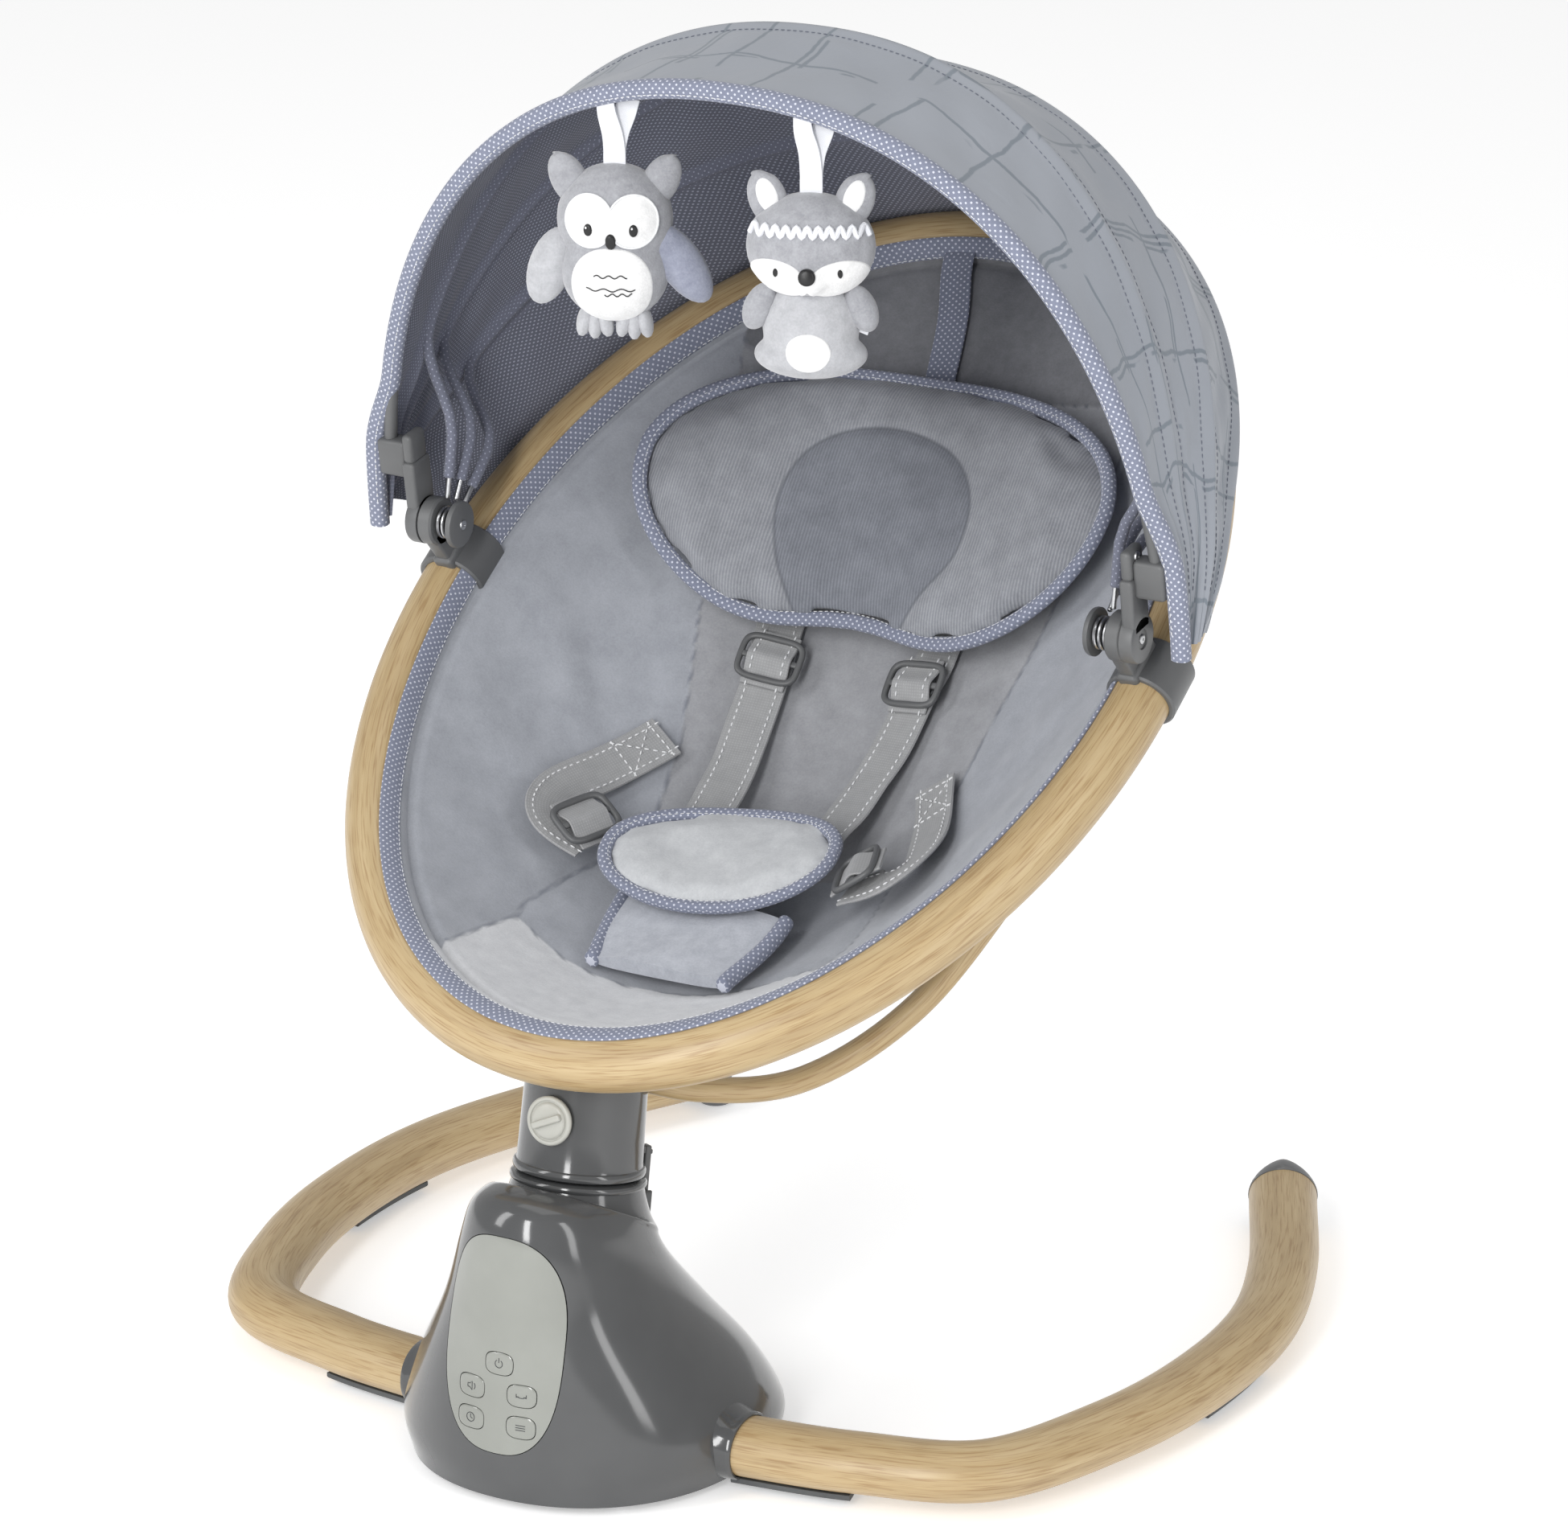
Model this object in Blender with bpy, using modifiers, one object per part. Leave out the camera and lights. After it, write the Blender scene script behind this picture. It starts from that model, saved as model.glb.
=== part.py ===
"""Electric baby swing: floor stand with drive, round column, hoop seat, harness, canopy and two toys.

Metres, +Z up, foot end towards -Y, head end towards +Y, X = 0 is the plane of symmetry.
"""
import math

import bmesh
import bpy
import numpy as np
from mathutils import Matrix, Vector

# ---------------------------------------------------------------- driving dimensions
GAP = 0.0003                     # between pieces that touch
WALL = 0.0025                    # moulded plastic walls

# Seat hoop: one bent tube in a tilted plane
HOOP_TILT = math.radians(32.0)
HOOP_FOOT_Y = -0.1966            # tube centre at the foot end
HOOP_FOOT_Z = 0.2153
HOOP_LENGTH = 0.5573             # centre to centre, along the slope
HOOP_HALF_WIDTH = 0.198
HOOP_TUBE_RADIUS = 0.0152

# Seat sling
BOWL_DEPTH = 0.080
BOWL_SKEW = 0.75                 # how far the deepest spot moves towards the foot end
BOWL_THICKNESS = 0.004
BOWL_EDGE_GAP = 0.0042           # from the tube's inner side to the sling's inner face

# Swing axis: leans back and runs through the seam between housing and column
AXIS_LEAN = math.radians(10.4)
SEAM_Y = -0.1707
SEAM_Z = 0.1465
COLUMN_RADIUS = 0.0310
COLUMN_TOP_RADIUS = 0.0296
COLUMN_HEIGHT = 0.062
COLUMN_WALL = 0.003
SHAFT_RADIUS = 0.006
BEARING_RADIUS = 0.0125
KNOB_RADIUS = 0.0122
KNOB_HEIGHT = 0.030              # above the seam, along the axis
KNOB_SHANK_RADIUS = 0.0040
HUB_TOP = 0.030                  # inner hub, above the seam
PLUG_BOTTOM = 0.036              # the seat bracket's plug in the column, above the seam

# Housing: tilted ring sections (front y, front z, rear y, rear z, half width)
HOUSING_SECTIONS = [
    (-0.2500, 0.0040, -0.0620, 0.0040, 0.0870),
    (-0.2520, 0.0240, -0.0640, 0.0180, 0.0910),
    (-0.2500, 0.0600, -0.0760, 0.0400, 0.0785),
    (-0.2465, 0.1000, -0.0940, 0.0620, 0.0590),
    (-0.2430, 0.1350, -0.1120, 0.0810, 0.0470),
    (-0.2360, 0.1500, -0.1240, 0.0920, 0.0430),
    (-0.2225, 0.1540, -0.1330, 0.1020, 0.0405),
    (-0.2125, 0.1515, -0.1350, 0.1070, 0.0392),
]
NECK_OUTSIDE = 0.0055            # neck foot, beyond the column
HOUSING_SIDES = 32
HOUSING_POWER = 2.15
NECK_DROP = 0.018                # neck foot below the seam, along the axis
FLOOR_GAP_Z = 0.0045             # underside of the housing's bottom cover
COVER_THICKNESS = 0.0025

# Control panel and keys, seen from the front (x, z)
PANEL_CENTRE = (0.0, 0.083)
PANEL_HALF = (0.0325, 0.0545)
PANEL_THICKNESS = 0.0024
KEY_HALF = (0.0075, 0.0055)
KEY_THICKNESS = 0.0040
KEY_TRAVEL = 0.0010
KEYS = {
    "button_power": (0.0015, 0.0745),
    "button_sound": (-0.0140, 0.0600),
    "button_swing": (0.0140, 0.0600),
    "button_timer": (-0.0140, 0.0440),
    "button_mode": (0.0140, 0.0440),
}

# Inside the housing, heights along the swing axis from the seam
CARRIER_TOP = -0.012
CARRIER_BOTTOM = -0.078
CARRIER_WALL = 0.0035
CARRIER_LEG_X = 0.040
CARRIER_LEG_WIDTH = 0.006
SHAFT_BOTTOM = -0.098
SHAFT_TOP = 0.026
DRIVE_S = -0.090                 # drive arm
DRIVE_REACH = 0.046
MAGNET_RADIUS = 0.0075
MAGNET_HEIGHT = 0.007
COIL_Y = -0.138
COIL_HEIGHT = 0.018
JACK_RADIUS = 0.0050
JACK_PLACE = (0.0, -0.0660, 0.0200)

# Swing lock, at the rear right of the seam
LATCH_TURN = math.radians(58.0)  # from +X towards the back, about the swing axis
LATCH_OUTSIDE = 0.0052           # its middle, beyond the column
LATCH_WIDTH = 0.0060
LATCH_THICKNESS = 0.0036
LATCH_PIVOT_Z = -0.0130          # from the seam
LATCH_TOP = 0.0120
LATCH_TOOTH = 0.0022
LUG_SIZE = (0.0110, 0.0090, 0.0200)
LUG_INSIDE = 0.0017              # the lug's middle, inside the latch's
LATCH_SLOT_SHIFT = 0.0076        # the slot opens outwards and clears the latch's inner face

# Floor legs: oval tube, route of the right one
LEG_ROUTE = [(0.0640, -0.1715), (0.0911, -0.1695), (0.1480, -0.1606), (0.2081, -0.1376), (0.2384, -0.0678),
             (0.2507, 0.0045), (0.2476, 0.0825), (0.2240, 0.1590), (0.1815, 0.2480)]
LEG_HALF_WIDTH = 0.0180
LEG_HALF_HEIGHT = 0.01455
LEG_CENTRE_Z = 0.0206
CAP_LENGTH = 0.030
PAD_BOTTOM_Z = 0.0035
FRONT_PAD_SHARES = (0.09, 0.28)  # of the leg's route
REAR_PAD_SHARES = (0.60, 0.76)

# Support bow under the seat, right half of its route
BOW_RADIUS = 0.0065
BOW_ROUTE = [(0.0, -0.1500, 0.1940), (0.045, -0.1330, 0.1850), (0.0850, -0.0970, 0.1860), (0.1300, -0.0650, 0.2220),
             (0.1680, -0.0320, 0.2850)]
BOW_END_V = -0.030               # where the bow meets the hoop, along the slope from its centre

# Canopy
CLAMP_V = 0.008                  # along the slope from the hoop's centre
CLAMP_LENGTH = 0.027
CLAMP_WALL = 0.0030
HUB_FORWARD = 0.0285             # canopy pivot from the clamp's middle
HUB_RISE = 0.0308
HUB_RADIUS = 0.0125
PIN_RADIUS = 0.0030
EAR_OUTER = 0.0020               # clamp ear's outer face, beyond the hoop's centre line
EAR_WIDTH = 0.0082
EYELET_THICKNESS = 0.0022
EYELET_PITCH = 0.0028            # the rib eyelets are stacked inwards from the ear
ARM_THICKNESS = 0.0072
ARM_LENGTH = 0.030
ARM_WIDTH = 0.0170
ARM_SOCKET_R = 0.028             # where the front bow's end sits, from the pivot
ARM_SOCKET_SIZE = (0.0170, 0.0110, 0.0200)
CANOPY_ANGLES = (99.6, 80.0, 62.0, 43.0)      # front bow, then the three ribs, from the horizontal
CANOPY_RADII = (0.2580, 0.2700, 0.2680, 0.2660)
CANOPY_OUTSIDE = (0.0215, 0.0220, 0.0310, 0.0310)   # beyond the hoop's centre line, at the widest
CANOPY_ROUNDNESS = 2.2
FRONT_BOW_RADIUS = 0.0035
RIB_RADIUS = 0.0018
RIB_STEPS = 30
FABRIC_THICKNESS = 0.0012
CLOTH_SAG = 0.006
GORE_START = math.radians(14.0)  # the cloth's first point on an arch
HOOP_EDGE_START = math.radians(16.0)          # and on the hoop

# Harness
WEB_WIDTH = 0.025
WEB_THICKNESS = 0.0016
PILLOW_CENTRE_V = 0.103
PILLOW_HALF = (0.135, 0.073)
PILLOW_THICKNESS = 0.016
PILLOW_LIFT = 0.0200             # it hangs over the shoulder straps
SHOULDER_STOPS = [(0.046, 0.085, 0.0040), (0.046, 0.046, 0.0050), (0.0435, 0.024, 0.0060), (0.041, -0.010, 0.0080),
                  (0.038, -0.035, 0.0110), (0.036, -0.058, 0.0150), (0.034, -0.074, 0.0190)]
WAIST_STOPS = [(0.078, -0.030, 0.0050), (0.094, -0.064, 0.0080), (0.1035, -0.092, 0.0125), (0.096, -0.113, 0.0185),
               (0.074, -0.118, 0.0205)]
SHOULDER_SLIDER = (0.0440, 0.028, 0.0110)     # across, along the slope, above the sling
WAIST_SLIDER = (0.0900, -0.114, 0.0250)
WAIST_SLIDER_TURN = math.radians(-66.0)
SLIDER_SIZE = (0.035, 0.026, 0.0028)
BUCKLE_V = -0.111
BUCKLE_LIFT = 0.0190
BUCKLE_SIZE = (0.040, 0.046, 0.012)
BUCKLE_PAD_HALF = (0.062, 0.037)
BUCKLE_PAD_LIFT = 0.0320
BUCKLE_PAD_TURN = math.radians(11.0)
CROTCH_STOPS = [(0.0, -0.196, 0.0140), (0.0, -0.184, 0.0145), (0.0, -0.169, 0.0180), (0.0, -0.155, 0.0250)]
CROTCH_WIDTH = 0.074
CROTCH_THICKNESS = 0.0080

# Toys on the front bow
TOY_X = {"toy_owl": -0.063, "toy_fox": 0.047}
RIBBON_LENGTH = {"toy_owl": 0.036, "toy_fox": 0.039}
RIBBON_WIDTH = 0.011
RIBBON_THICKNESS = 0.0012
LOOP_CLEARANCE = 0.0026

# ---------------------------------------------------------------- values worked out from them
HOOP_CENTRE = Vector((0.0, HOOP_FOOT_Y + HOOP_LENGTH / 2 * math.cos(HOOP_TILT),
                      HOOP_FOOT_Z + HOOP_LENGTH / 2 * math.sin(HOOP_TILT)))
SLOPE = Vector((0.0, math.cos(HOOP_TILT), math.sin(HOOP_TILT)))
HOOP_NORMAL = Vector((0.0, -math.sin(HOOP_TILT), math.cos(HOOP_TILT)))
BOWL_HALF_U = HOOP_HALF_WIDTH - HOOP_TUBE_RADIUS - BOWL_EDGE_GAP
BOWL_HALF_V = HOOP_LENGTH / 2 - HOOP_TUBE_RADIUS - BOWL_EDGE_GAP
AXIS = Vector((0.0, math.sin(AXIS_LEAN), math.cos(AXIS_LEAN)))
AXIS_BACK = Vector((0.0, math.cos(AXIS_LEAN), -math.sin(AXIS_LEAN)))
SEAM = Vector((0.0, SEAM_Y, SEAM_Z))
CLAMP = HOOP_CENTRE + SLOPE * CLAMP_V
HUB = Vector((0.0, CLAMP.y - HUB_FORWARD, CLAMP.z + HUB_RISE))
EAR_X = (HOOP_HALF_WIDTH + EAR_OUTER - EAR_WIDTH, HOOP_HALF_WIDTH + EAR_OUTER)
ARM_X = (EAR_X[1] + GAP, EAR_X[1] + GAP + ARM_THICKNESS)
EYELET_X = [EAR_X[0] - 0.0006 - EYELET_PITCH * i for i in range(3)]
CANOPY_HALF_WIDTHS = [HOOP_HALF_WIDTH + outside for outside in CANOPY_OUTSIDE]
NECK_RADIUS = COLUMN_RADIUS + NECK_OUTSIDE
LATCH_RADIUS = COLUMN_RADIUS + LATCH_OUTSIDE
LUG_RADIUS = LATCH_RADIUS - LUG_INSIDE
COVER_TOP = FLOOR_GAP_Z + COVER_THICKNESS
HOUSING_FRONT_Y = min(section[0] for section in HOUSING_SECTIONS)
HEAD_Y = HOOP_FOOT_Y + HOOP_LENGTH * math.cos(HOOP_TILT) + HOOP_TUBE_RADIUS
CENTRE_Y = (HOUSING_FRONT_Y + HEAD_Y) / 2     # the middle of the floor print, put at the origin

SIDES = {"right": 1, "left": -1}


# ---------------------------------------------------------------- scene, materials, small builders
def clear_scene():
    for thing in list(bpy.data.objects):
        bpy.data.objects.remove(thing, do_unlink=True)


def new_collection(name):
    collection = bpy.data.collections.new(name)
    bpy.context.scene.collection.children.link(collection)
    return collection


clear_scene()
PARTS = new_collection("baby_swing")
CUTTERS = new_collection("cutters")
ROOT = bpy.data.objects.new("frame_origin", None)
ROOT.location = (0.0, -CENTRE_Y, 0.0)
PARTS.objects.link(ROOT)


def plain_material(name, colour, roughness, metallic=0.0):
    material = bpy.data.materials.new(name)
    material.use_nodes = True
    shader = material.node_tree.nodes["Principled BSDF"]
    shader.inputs["Base Color"].default_value = (*colour, 1.0)
    shader.inputs["Roughness"].default_value = roughness
    shader.inputs["Metallic"].default_value = metallic
    material.diffuse_color = (*colour, 1.0)
    return material


OAK = plain_material("oak_print_tube", (0.55, 0.38, 0.20), 0.45)
DARK = plain_material("dark_grey_abs", (0.11, 0.115, 0.13), 0.18)
GREY = plain_material("mid_grey_plastic", (0.13, 0.135, 0.145), 0.40)
PANEL_GREY = plain_material("panel_grey", (0.40, 0.42, 0.40), 0.20)
WHITE = plain_material("off_white_plastic", (0.62, 0.62, 0.59), 0.35)
STEEL = plain_material("bright_steel", (0.60, 0.60, 0.61), 0.30, 1.0)
COPPER = plain_material("copper_winding", (0.60, 0.30, 0.16), 0.35, 1.0)
BOARD = plain_material("circuit_green", (0.05, 0.20, 0.10), 0.50)
RUBBER = plain_material("grey_rubber", (0.09, 0.09, 0.10), 0.75)
SLING = plain_material("seat_velour", (0.36, 0.40, 0.47), 0.90)
PILLOW = plain_material("pillow_knit", (0.30, 0.32, 0.36), 0.90)
LIGHT = plain_material("light_velour", (0.50, 0.54, 0.59), 0.90)
WEBBING = plain_material("grey_webbing", (0.28, 0.28, 0.29), 0.80)
CANOPY = plain_material("canopy_cloth", (0.34, 0.40, 0.46), 0.55)
PLUSH = plain_material("plush_grey", (0.40, 0.40, 0.42), 0.95)


def place(thing, collection, material=None):
    """Links an object, gives it its material and hangs it on the frame's origin."""
    collection.objects.link(thing)
    thing.parent = ROOT
    if material:
        thing.data.materials.append(material)
    if collection is CUTTERS:
        thing.hide_render = True
        thing.display_type = 'WIRE'
    return thing


def as_object(name, mesh, collection=PARTS, material=None):
    return place(bpy.data.objects.new(name, mesh), collection, material)


def frame_matrix(origin, axis, towards=Vector((0.0, 1.0, 0.0))):
    """Local Z along axis and local Y as near to towards as it can be."""
    z = Vector(axis).normalized()
    x = Vector(towards).cross(z).normalized()
    y = z.cross(x)
    matrix = Matrix((x, y, z)).transposed().to_4x4()
    matrix.translation = Vector(origin)
    return matrix


def smooth(mesh, degrees=35.0):
    mesh.shade_smooth()
    mesh.set_sharp_from_angle(angle=math.radians(degrees))


def turned(name, profile, matrix, material=None, collection=PARTS, steps=28):
    """Turns a closed (radius, height) profile, listed from top to bottom down its outer side."""
    mesh = bpy.data.meshes.new(name)
    count = len(profile)
    closed = all(radius > 0 for radius, _ in profile)
    edges = [(i, (i + 1) % count) for i in range(count if closed else count - 1)]
    mesh.from_pydata([(radius, 0.0, height) for radius, height in profile], edges, [])
    thing = as_object(name, mesh, collection, material)
    thing.matrix_local = matrix
    screw = thing.modifiers.new("turn", 'SCREW')
    screw.steps = screw.render_steps = steps
    screw.use_merge_vertices = True
    screw.merge_threshold = 0.00001
    screw.use_smooth_shade = True
    screw.use_normal_calculate = False
    return thing


def block(name, size, matrix, material=None, collection=PARTS, bevel=0.0, segments=2):
    bm = bmesh.new()
    bmesh.ops.create_cube(bm, size=1.0)
    bmesh.ops.scale(bm, vec=size, verts=bm.verts)
    mesh = bpy.data.meshes.new(name)
    bm.to_mesh(mesh)
    bm.free()
    thing = as_object(name, mesh, collection, material)
    thing.matrix_local = matrix
    if bevel:
        rounding = thing.modifiers.new("rounding", 'BEVEL')
        rounding.width = bevel
        rounding.segments = segments
    return thing


def ball(name, radii, matrix, material=None, collection=PARTS, fine=12):
    bm = bmesh.new()
    bmesh.ops.create_uvsphere(bm, u_segments=fine, v_segments=fine // 2, radius=1.0)
    bmesh.ops.scale(bm, vec=radii, verts=bm.verts)
    mesh = bpy.data.meshes.new(name)
    bm.to_mesh(mesh)
    bm.free()
    smooth(mesh)
    thing = as_object(name, mesh, collection, material)
    thing.matrix_local = matrix
    return thing


def boolean(target, tool, operation='DIFFERENCE'):
    step = target.modifiers.new(operation.lower(), 'BOOLEAN')
    step.operation = operation
    step.solver = 'EXACT'
    step.object = tool
    return step


def prism(name, outline, matrix, depth, collection=CUTTERS, material=None):
    """A flat outline in local XY, drawn out both ways along local Z."""
    curve = bpy.data.curves.new(name, 'CURVE')
    curve.dimensions = '2D'
    curve.fill_mode = 'BOTH'
    curve.extrude = depth / 2
    spline = curve.splines.new('POLY')
    spline.points.add(len(outline) - 1)
    for point, (x, y) in zip(spline.points, outline):
        point.co = (x, y, 0.0, 1.0)
    spline.use_cyclic_u = True
    thing = bpy.data.objects.new(name, curve)
    place(thing, collection)
    thing.matrix_local = matrix
    return solid_from_curve(thing, collection, material)


def solid_from_curve(thing, collection=PARTS, material=None):
    """Replaces a curve object by the closed mesh that it makes."""
    bpy.context.view_layer.update()
    evaluated = thing.evaluated_get(bpy.context.evaluated_depsgraph_get())
    mesh = bpy.data.meshes.new_from_object(evaluated)
    bm = bmesh.new()
    bm.from_mesh(mesh)
    bmesh.ops.remove_doubles(bm, verts=bm.verts, dist=0.000005)
    bmesh.ops.recalc_face_normals(bm, faces=bm.faces)
    bm.to_mesh(mesh)
    bm.free()
    smooth(mesh)
    name, matrix = thing.name, thing.matrix_local.copy()
    bpy.data.objects.remove(thing, do_unlink=True)
    mesh.materials.clear()
    solid = as_object(name, mesh, collection, material)
    solid.matrix_local = matrix
    return solid


def tube(name, points, radius, collection=PARTS, material=None, sides=2, cyclic=False, radii=None):
    """A round tube through points; sides is the bevel resolution."""
    curve = bpy.data.curves.new(name, 'CURVE')
    curve.dimensions = '3D'
    curve.bevel_depth = radius
    curve.bevel_resolution = sides
    curve.use_fill_caps = not cyclic
    spline = curve.splines.new('POLY')
    spline.points.add(len(points) - 1)
    for index, (point, co) in enumerate(zip(spline.points, points)):
        point.co = (*co, 1.0)
        point.radius = radii[index] if radii else 1.0
    spline.use_cyclic_u = cyclic
    spline.use_smooth = True
    thing = place(bpy.data.objects.new(name, curve), collection)
    return solid_from_curve(thing, collection, material)


def spline_through(points, per_span):
    """Points of a smooth Catmull-Rom curve through the given ones."""
    ends = [2 * Vector(points[0]) - Vector(points[1]), 2 * Vector(points[-1]) - Vector(points[-2])]
    knots = [ends[0], *[Vector(point) for point in points], ends[1]]
    route = []
    for i in range(1, len(knots) - 2):
        before, start, end, after = knots[i - 1:i + 3]
        for step in range(per_span):
            t = step / per_span
            route.append(0.5 * (2 * start + (end - before) * t
                                + (2 * before - 5 * start + 4 * end - after) * t ** 2
                                + (3 * start - before - 3 * end + after) * t ** 3))
    return [*route, Vector(points[-1])]


def loft(name, rings, collection=PARTS, material=None, closed=True, caps=True):
    """Skins between rings of equal length, which run anticlockwise seen against the loft's direction."""
    bm = bmesh.new()
    rows = [[bm.verts.new(point) for point in ring] for ring in rings]
    count = len(rings[0])
    for low, high in zip(rows, rows[1:]):
        for i in range(count if closed else count - 1):
            j = (i + 1) % count
            bm.faces.new((low[i], low[j], high[j], high[i]))
    if caps:
        bm.faces.new(reversed(rows[0]))
        bm.faces.new(rows[-1])
    if caps or not closed:
        bmesh.ops.recalc_face_normals(bm, faces=bm.faces)
    mesh = bpy.data.meshes.new(name)
    bm.to_mesh(mesh)
    bm.free()
    smooth(mesh)
    return as_object(name, mesh, collection, material)


def mirrored(point, side):
    return Vector((side * point[0], point[1], point[2]))


def rounded_outline(half_x, half_y, power=2.6, count=32, centre=(0.0, 0.0), grow=0.0):
    """A superellipse, grown outwards by a clearance."""
    outline = []
    for i in range(count):
        angle = 2 * math.pi * i / count
        c, s = math.cos(angle), math.sin(angle)
        outline.append((centre[0] + math.copysign(abs(c) ** (2 / power), c) * (half_x + grow),
                        centre[1] + math.copysign(abs(s) ** (2 / power), s) * (half_y + grow)))
    return outline


# ---------------------------------------------------------------- hoop and sling coordinates
def on_hoop_plane(u, v, lift=0.0):
    return HOOP_CENTRE + Vector((u, 0.0, 0.0)) + SLOPE * v + HOOP_NORMAL * lift


def hoop_point(angle):
    """Tube centre; angle 0 is the right side, 90 degrees the head end."""
    return on_hoop_plane(HOOP_HALF_WIDTH * math.cos(angle), HOOP_LENGTH / 2 * math.sin(angle))


def bowl_depth(u, v):
    inside = max(0.0, 1.0 - (u / BOWL_HALF_U) ** 2 - (v / BOWL_HALF_V) ** 2)
    return BOWL_DEPTH * inside * (1.0 - BOWL_SKEW * v / BOWL_HALF_V)


def on_bowl(u, v, lift=0.0):
    """A point lift above the sling's inner face, along the hoop's normal."""
    return on_hoop_plane(u, v, lift - bowl_depth(u, v))


def hoop_tube(name, grow=0.0, collection=PARTS, material=None):
    points = [hoop_point(2 * math.pi * i / 44) for i in range(44)]
    return tube(name, points, HOOP_TUBE_RADIUS + grow, collection, material, sides=3, cyclic=True)


# ---------------------------------------------------------------- housing
def housing_ring(front_y, front_z, rear_y, rear_z, half_width, inset=0.0):
    """One tilted superellipse; inset shrinks it all round."""
    front, rear = Vector((0.0, front_y, front_z)), Vector((0.0, rear_y, rear_z))
    middle = (front + rear) / 2
    along = (rear - front).normalized()
    half = (rear - front).length / 2 - inset
    ring = []
    for i in range(HOUSING_SIDES):
        angle = 2 * math.pi * i / HOUSING_SIDES
        c, s = math.cos(angle), math.sin(angle)
        x = math.copysign(abs(c) ** (2 / HOUSING_POWER), c) * (half_width - inset)
        y = math.copysign(abs(s) ** (2 / HOUSING_POWER), s) * half
        ring.append(middle + Vector((x, 0.0, 0.0)) + along * y)
    return ring


def neck_ring(radius, height):
    """A circle about the swing axis, height above the seam."""
    centre = SEAM + AXIS * height
    ring = []
    for i in range(HOUSING_SIDES):
        angle = 2 * math.pi * i / HOUSING_SIDES
        ring.append(centre + Vector((radius * math.cos(angle), 0.0, 0.0)) + AXIS_BACK * radius * math.sin(angle))
    return ring


def housing_rings():
    """Ridge, valley, neck and the flat lip round the shaft, above the lofted sections."""
    return [*[housing_ring(*section) for section in HOUSING_SECTIONS],
            neck_ring(NECK_RADIUS, -NECK_DROP),
            neck_ring(COLUMN_RADIUS + 0.0006, -GAP - 0.0014),
            neck_ring(COLUMN_RADIUS - 0.0006, -GAP),
            neck_ring(BEARING_RADIUS + 0.006, -GAP)]


def housing_skin(name, wall, collection, material=None):
    """The housing's outer face given a wall, without its cut-outs."""
    skin = loft(name, housing_rings(), collection, material, caps=False)
    shell = skin.modifiers.new("wall", 'SOLIDIFY')
    shell.thickness = wall
    shell.offset = -1.0
    shell.use_even_offset = True
    return skin


def from_front(centre, depth_y):
    """Local X along X, local Y along Z, local Z towards the viewer at the front."""
    matrix = Matrix(((1, 0, 0), (0, 0, -1), (0, 1, 0))).to_4x4()
    matrix.translation = Vector((centre[0], depth_y, centre[1]))
    return matrix


def front_prism(name, centre, half, power, grow=0.0, count=28):
    outline = rounded_outline(*half, power, count, grow=grow)
    return prism(name, outline, from_front(centre, HOUSING_FRONT_Y + 0.010), 0.050)


def leg_points(side):
    flat = [Vector((side * x, y, 0.0)) for x, y in LEG_ROUTE]
    return spline_through(flat, 3)


def leg_tube(name, side, grow=0.0, collection=PARTS, material=None):
    """An oval tube that lies flat on its route."""
    thing = tube(name, leg_points(side), LEG_HALF_WIDTH + grow, collection, material, sides=3)
    squash = (LEG_HALF_HEIGHT + grow) / (LEG_HALF_WIDTH + grow)
    for vertex in thing.data.vertices:
        vertex.co.z = LEG_CENTRE_Z + vertex.co.z * squash
    return thing


def build_housing():
    housing = housing_skin("base_housing", WALL, PARTS, DARK)
    boolean(housing, front_prism("panel_window", PANEL_CENTRE, PANEL_HALF, 2.6, GAP))
    for side in SIDES.values():
        boolean(housing, leg_tube(f"leg_socket_{side}", side, GAP, CUTTERS))
    jack_hole = turned("jack_hole", [(0, 0.02), (JACK_RADIUS + GAP, 0.02), (JACK_RADIUS + GAP, -0.02), (0, -0.02)],
                       frame_matrix(JACK_PLACE, (0.0, 1.0, 0.0), (0.0, 0.0, 1.0)), None, CUTTERS)
    boolean(housing, jack_hole)
    lug = block("latch_lug", LUG_SIZE, latch_matrix(LUG_RADIUS, -0.020), None, CUTTERS)
    boolean(housing, lug, 'UNION')
    slot = block("latch_lug_slot", (LATCH_WIDTH + 2 * GAP, 0.02, LUG_SIZE[2] + 0.002),
                 latch_matrix(LATCH_RADIUS + LATCH_SLOT_SHIFT, LATCH_PIVOT_Z + 0.002), None, CUTTERS)
    boolean(housing, slot)
    pivot = turned("latch_pin_hole", [(0, 0.01), (0.0013, 0.01), (0.0013, -0.01), (0, -0.01)],
                   latch_pivot_matrix(), None, CUTTERS, steps=12)
    boolean(housing, pivot)


def build_panel():
    panel = housing_skin("control_panel", PANEL_THICKNESS, PARTS, PANEL_GREY)
    boolean(panel, front_prism("panel_outline", PANEL_CENTRE, PANEL_HALF, 2.6), 'INTERSECT')
    for name, centre in KEYS.items():
        boolean(panel, front_prism(f"{name}_hole", centre, KEY_HALF, 3.0, GAP, 16))
        key = housing_skin(name, KEY_THICKNESS, PARTS, PANEL_GREY)
        boolean(key, front_prism(f"{name}_outline", centre, KEY_HALF, 3.0, count=16), 'INTERSECT')


# ---------------------------------------------------------------- swing lock, at the rear right of the seam
def latch_matrix(radius, height):
    """Local Y points away from the swing axis, local Z along it."""
    out = Vector((math.cos(LATCH_TURN), 0.0, 0.0)) + AXIS_BACK * math.sin(LATCH_TURN)
    return frame_matrix(SEAM + AXIS * height + out * radius, AXIS, out)


def latch_pivot_matrix():
    matrix = latch_matrix(LATCH_RADIUS, LATCH_PIVOT_Z)
    side = matrix.to_3x3().col[0]
    return frame_matrix(matrix.translation, side, AXIS)


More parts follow.
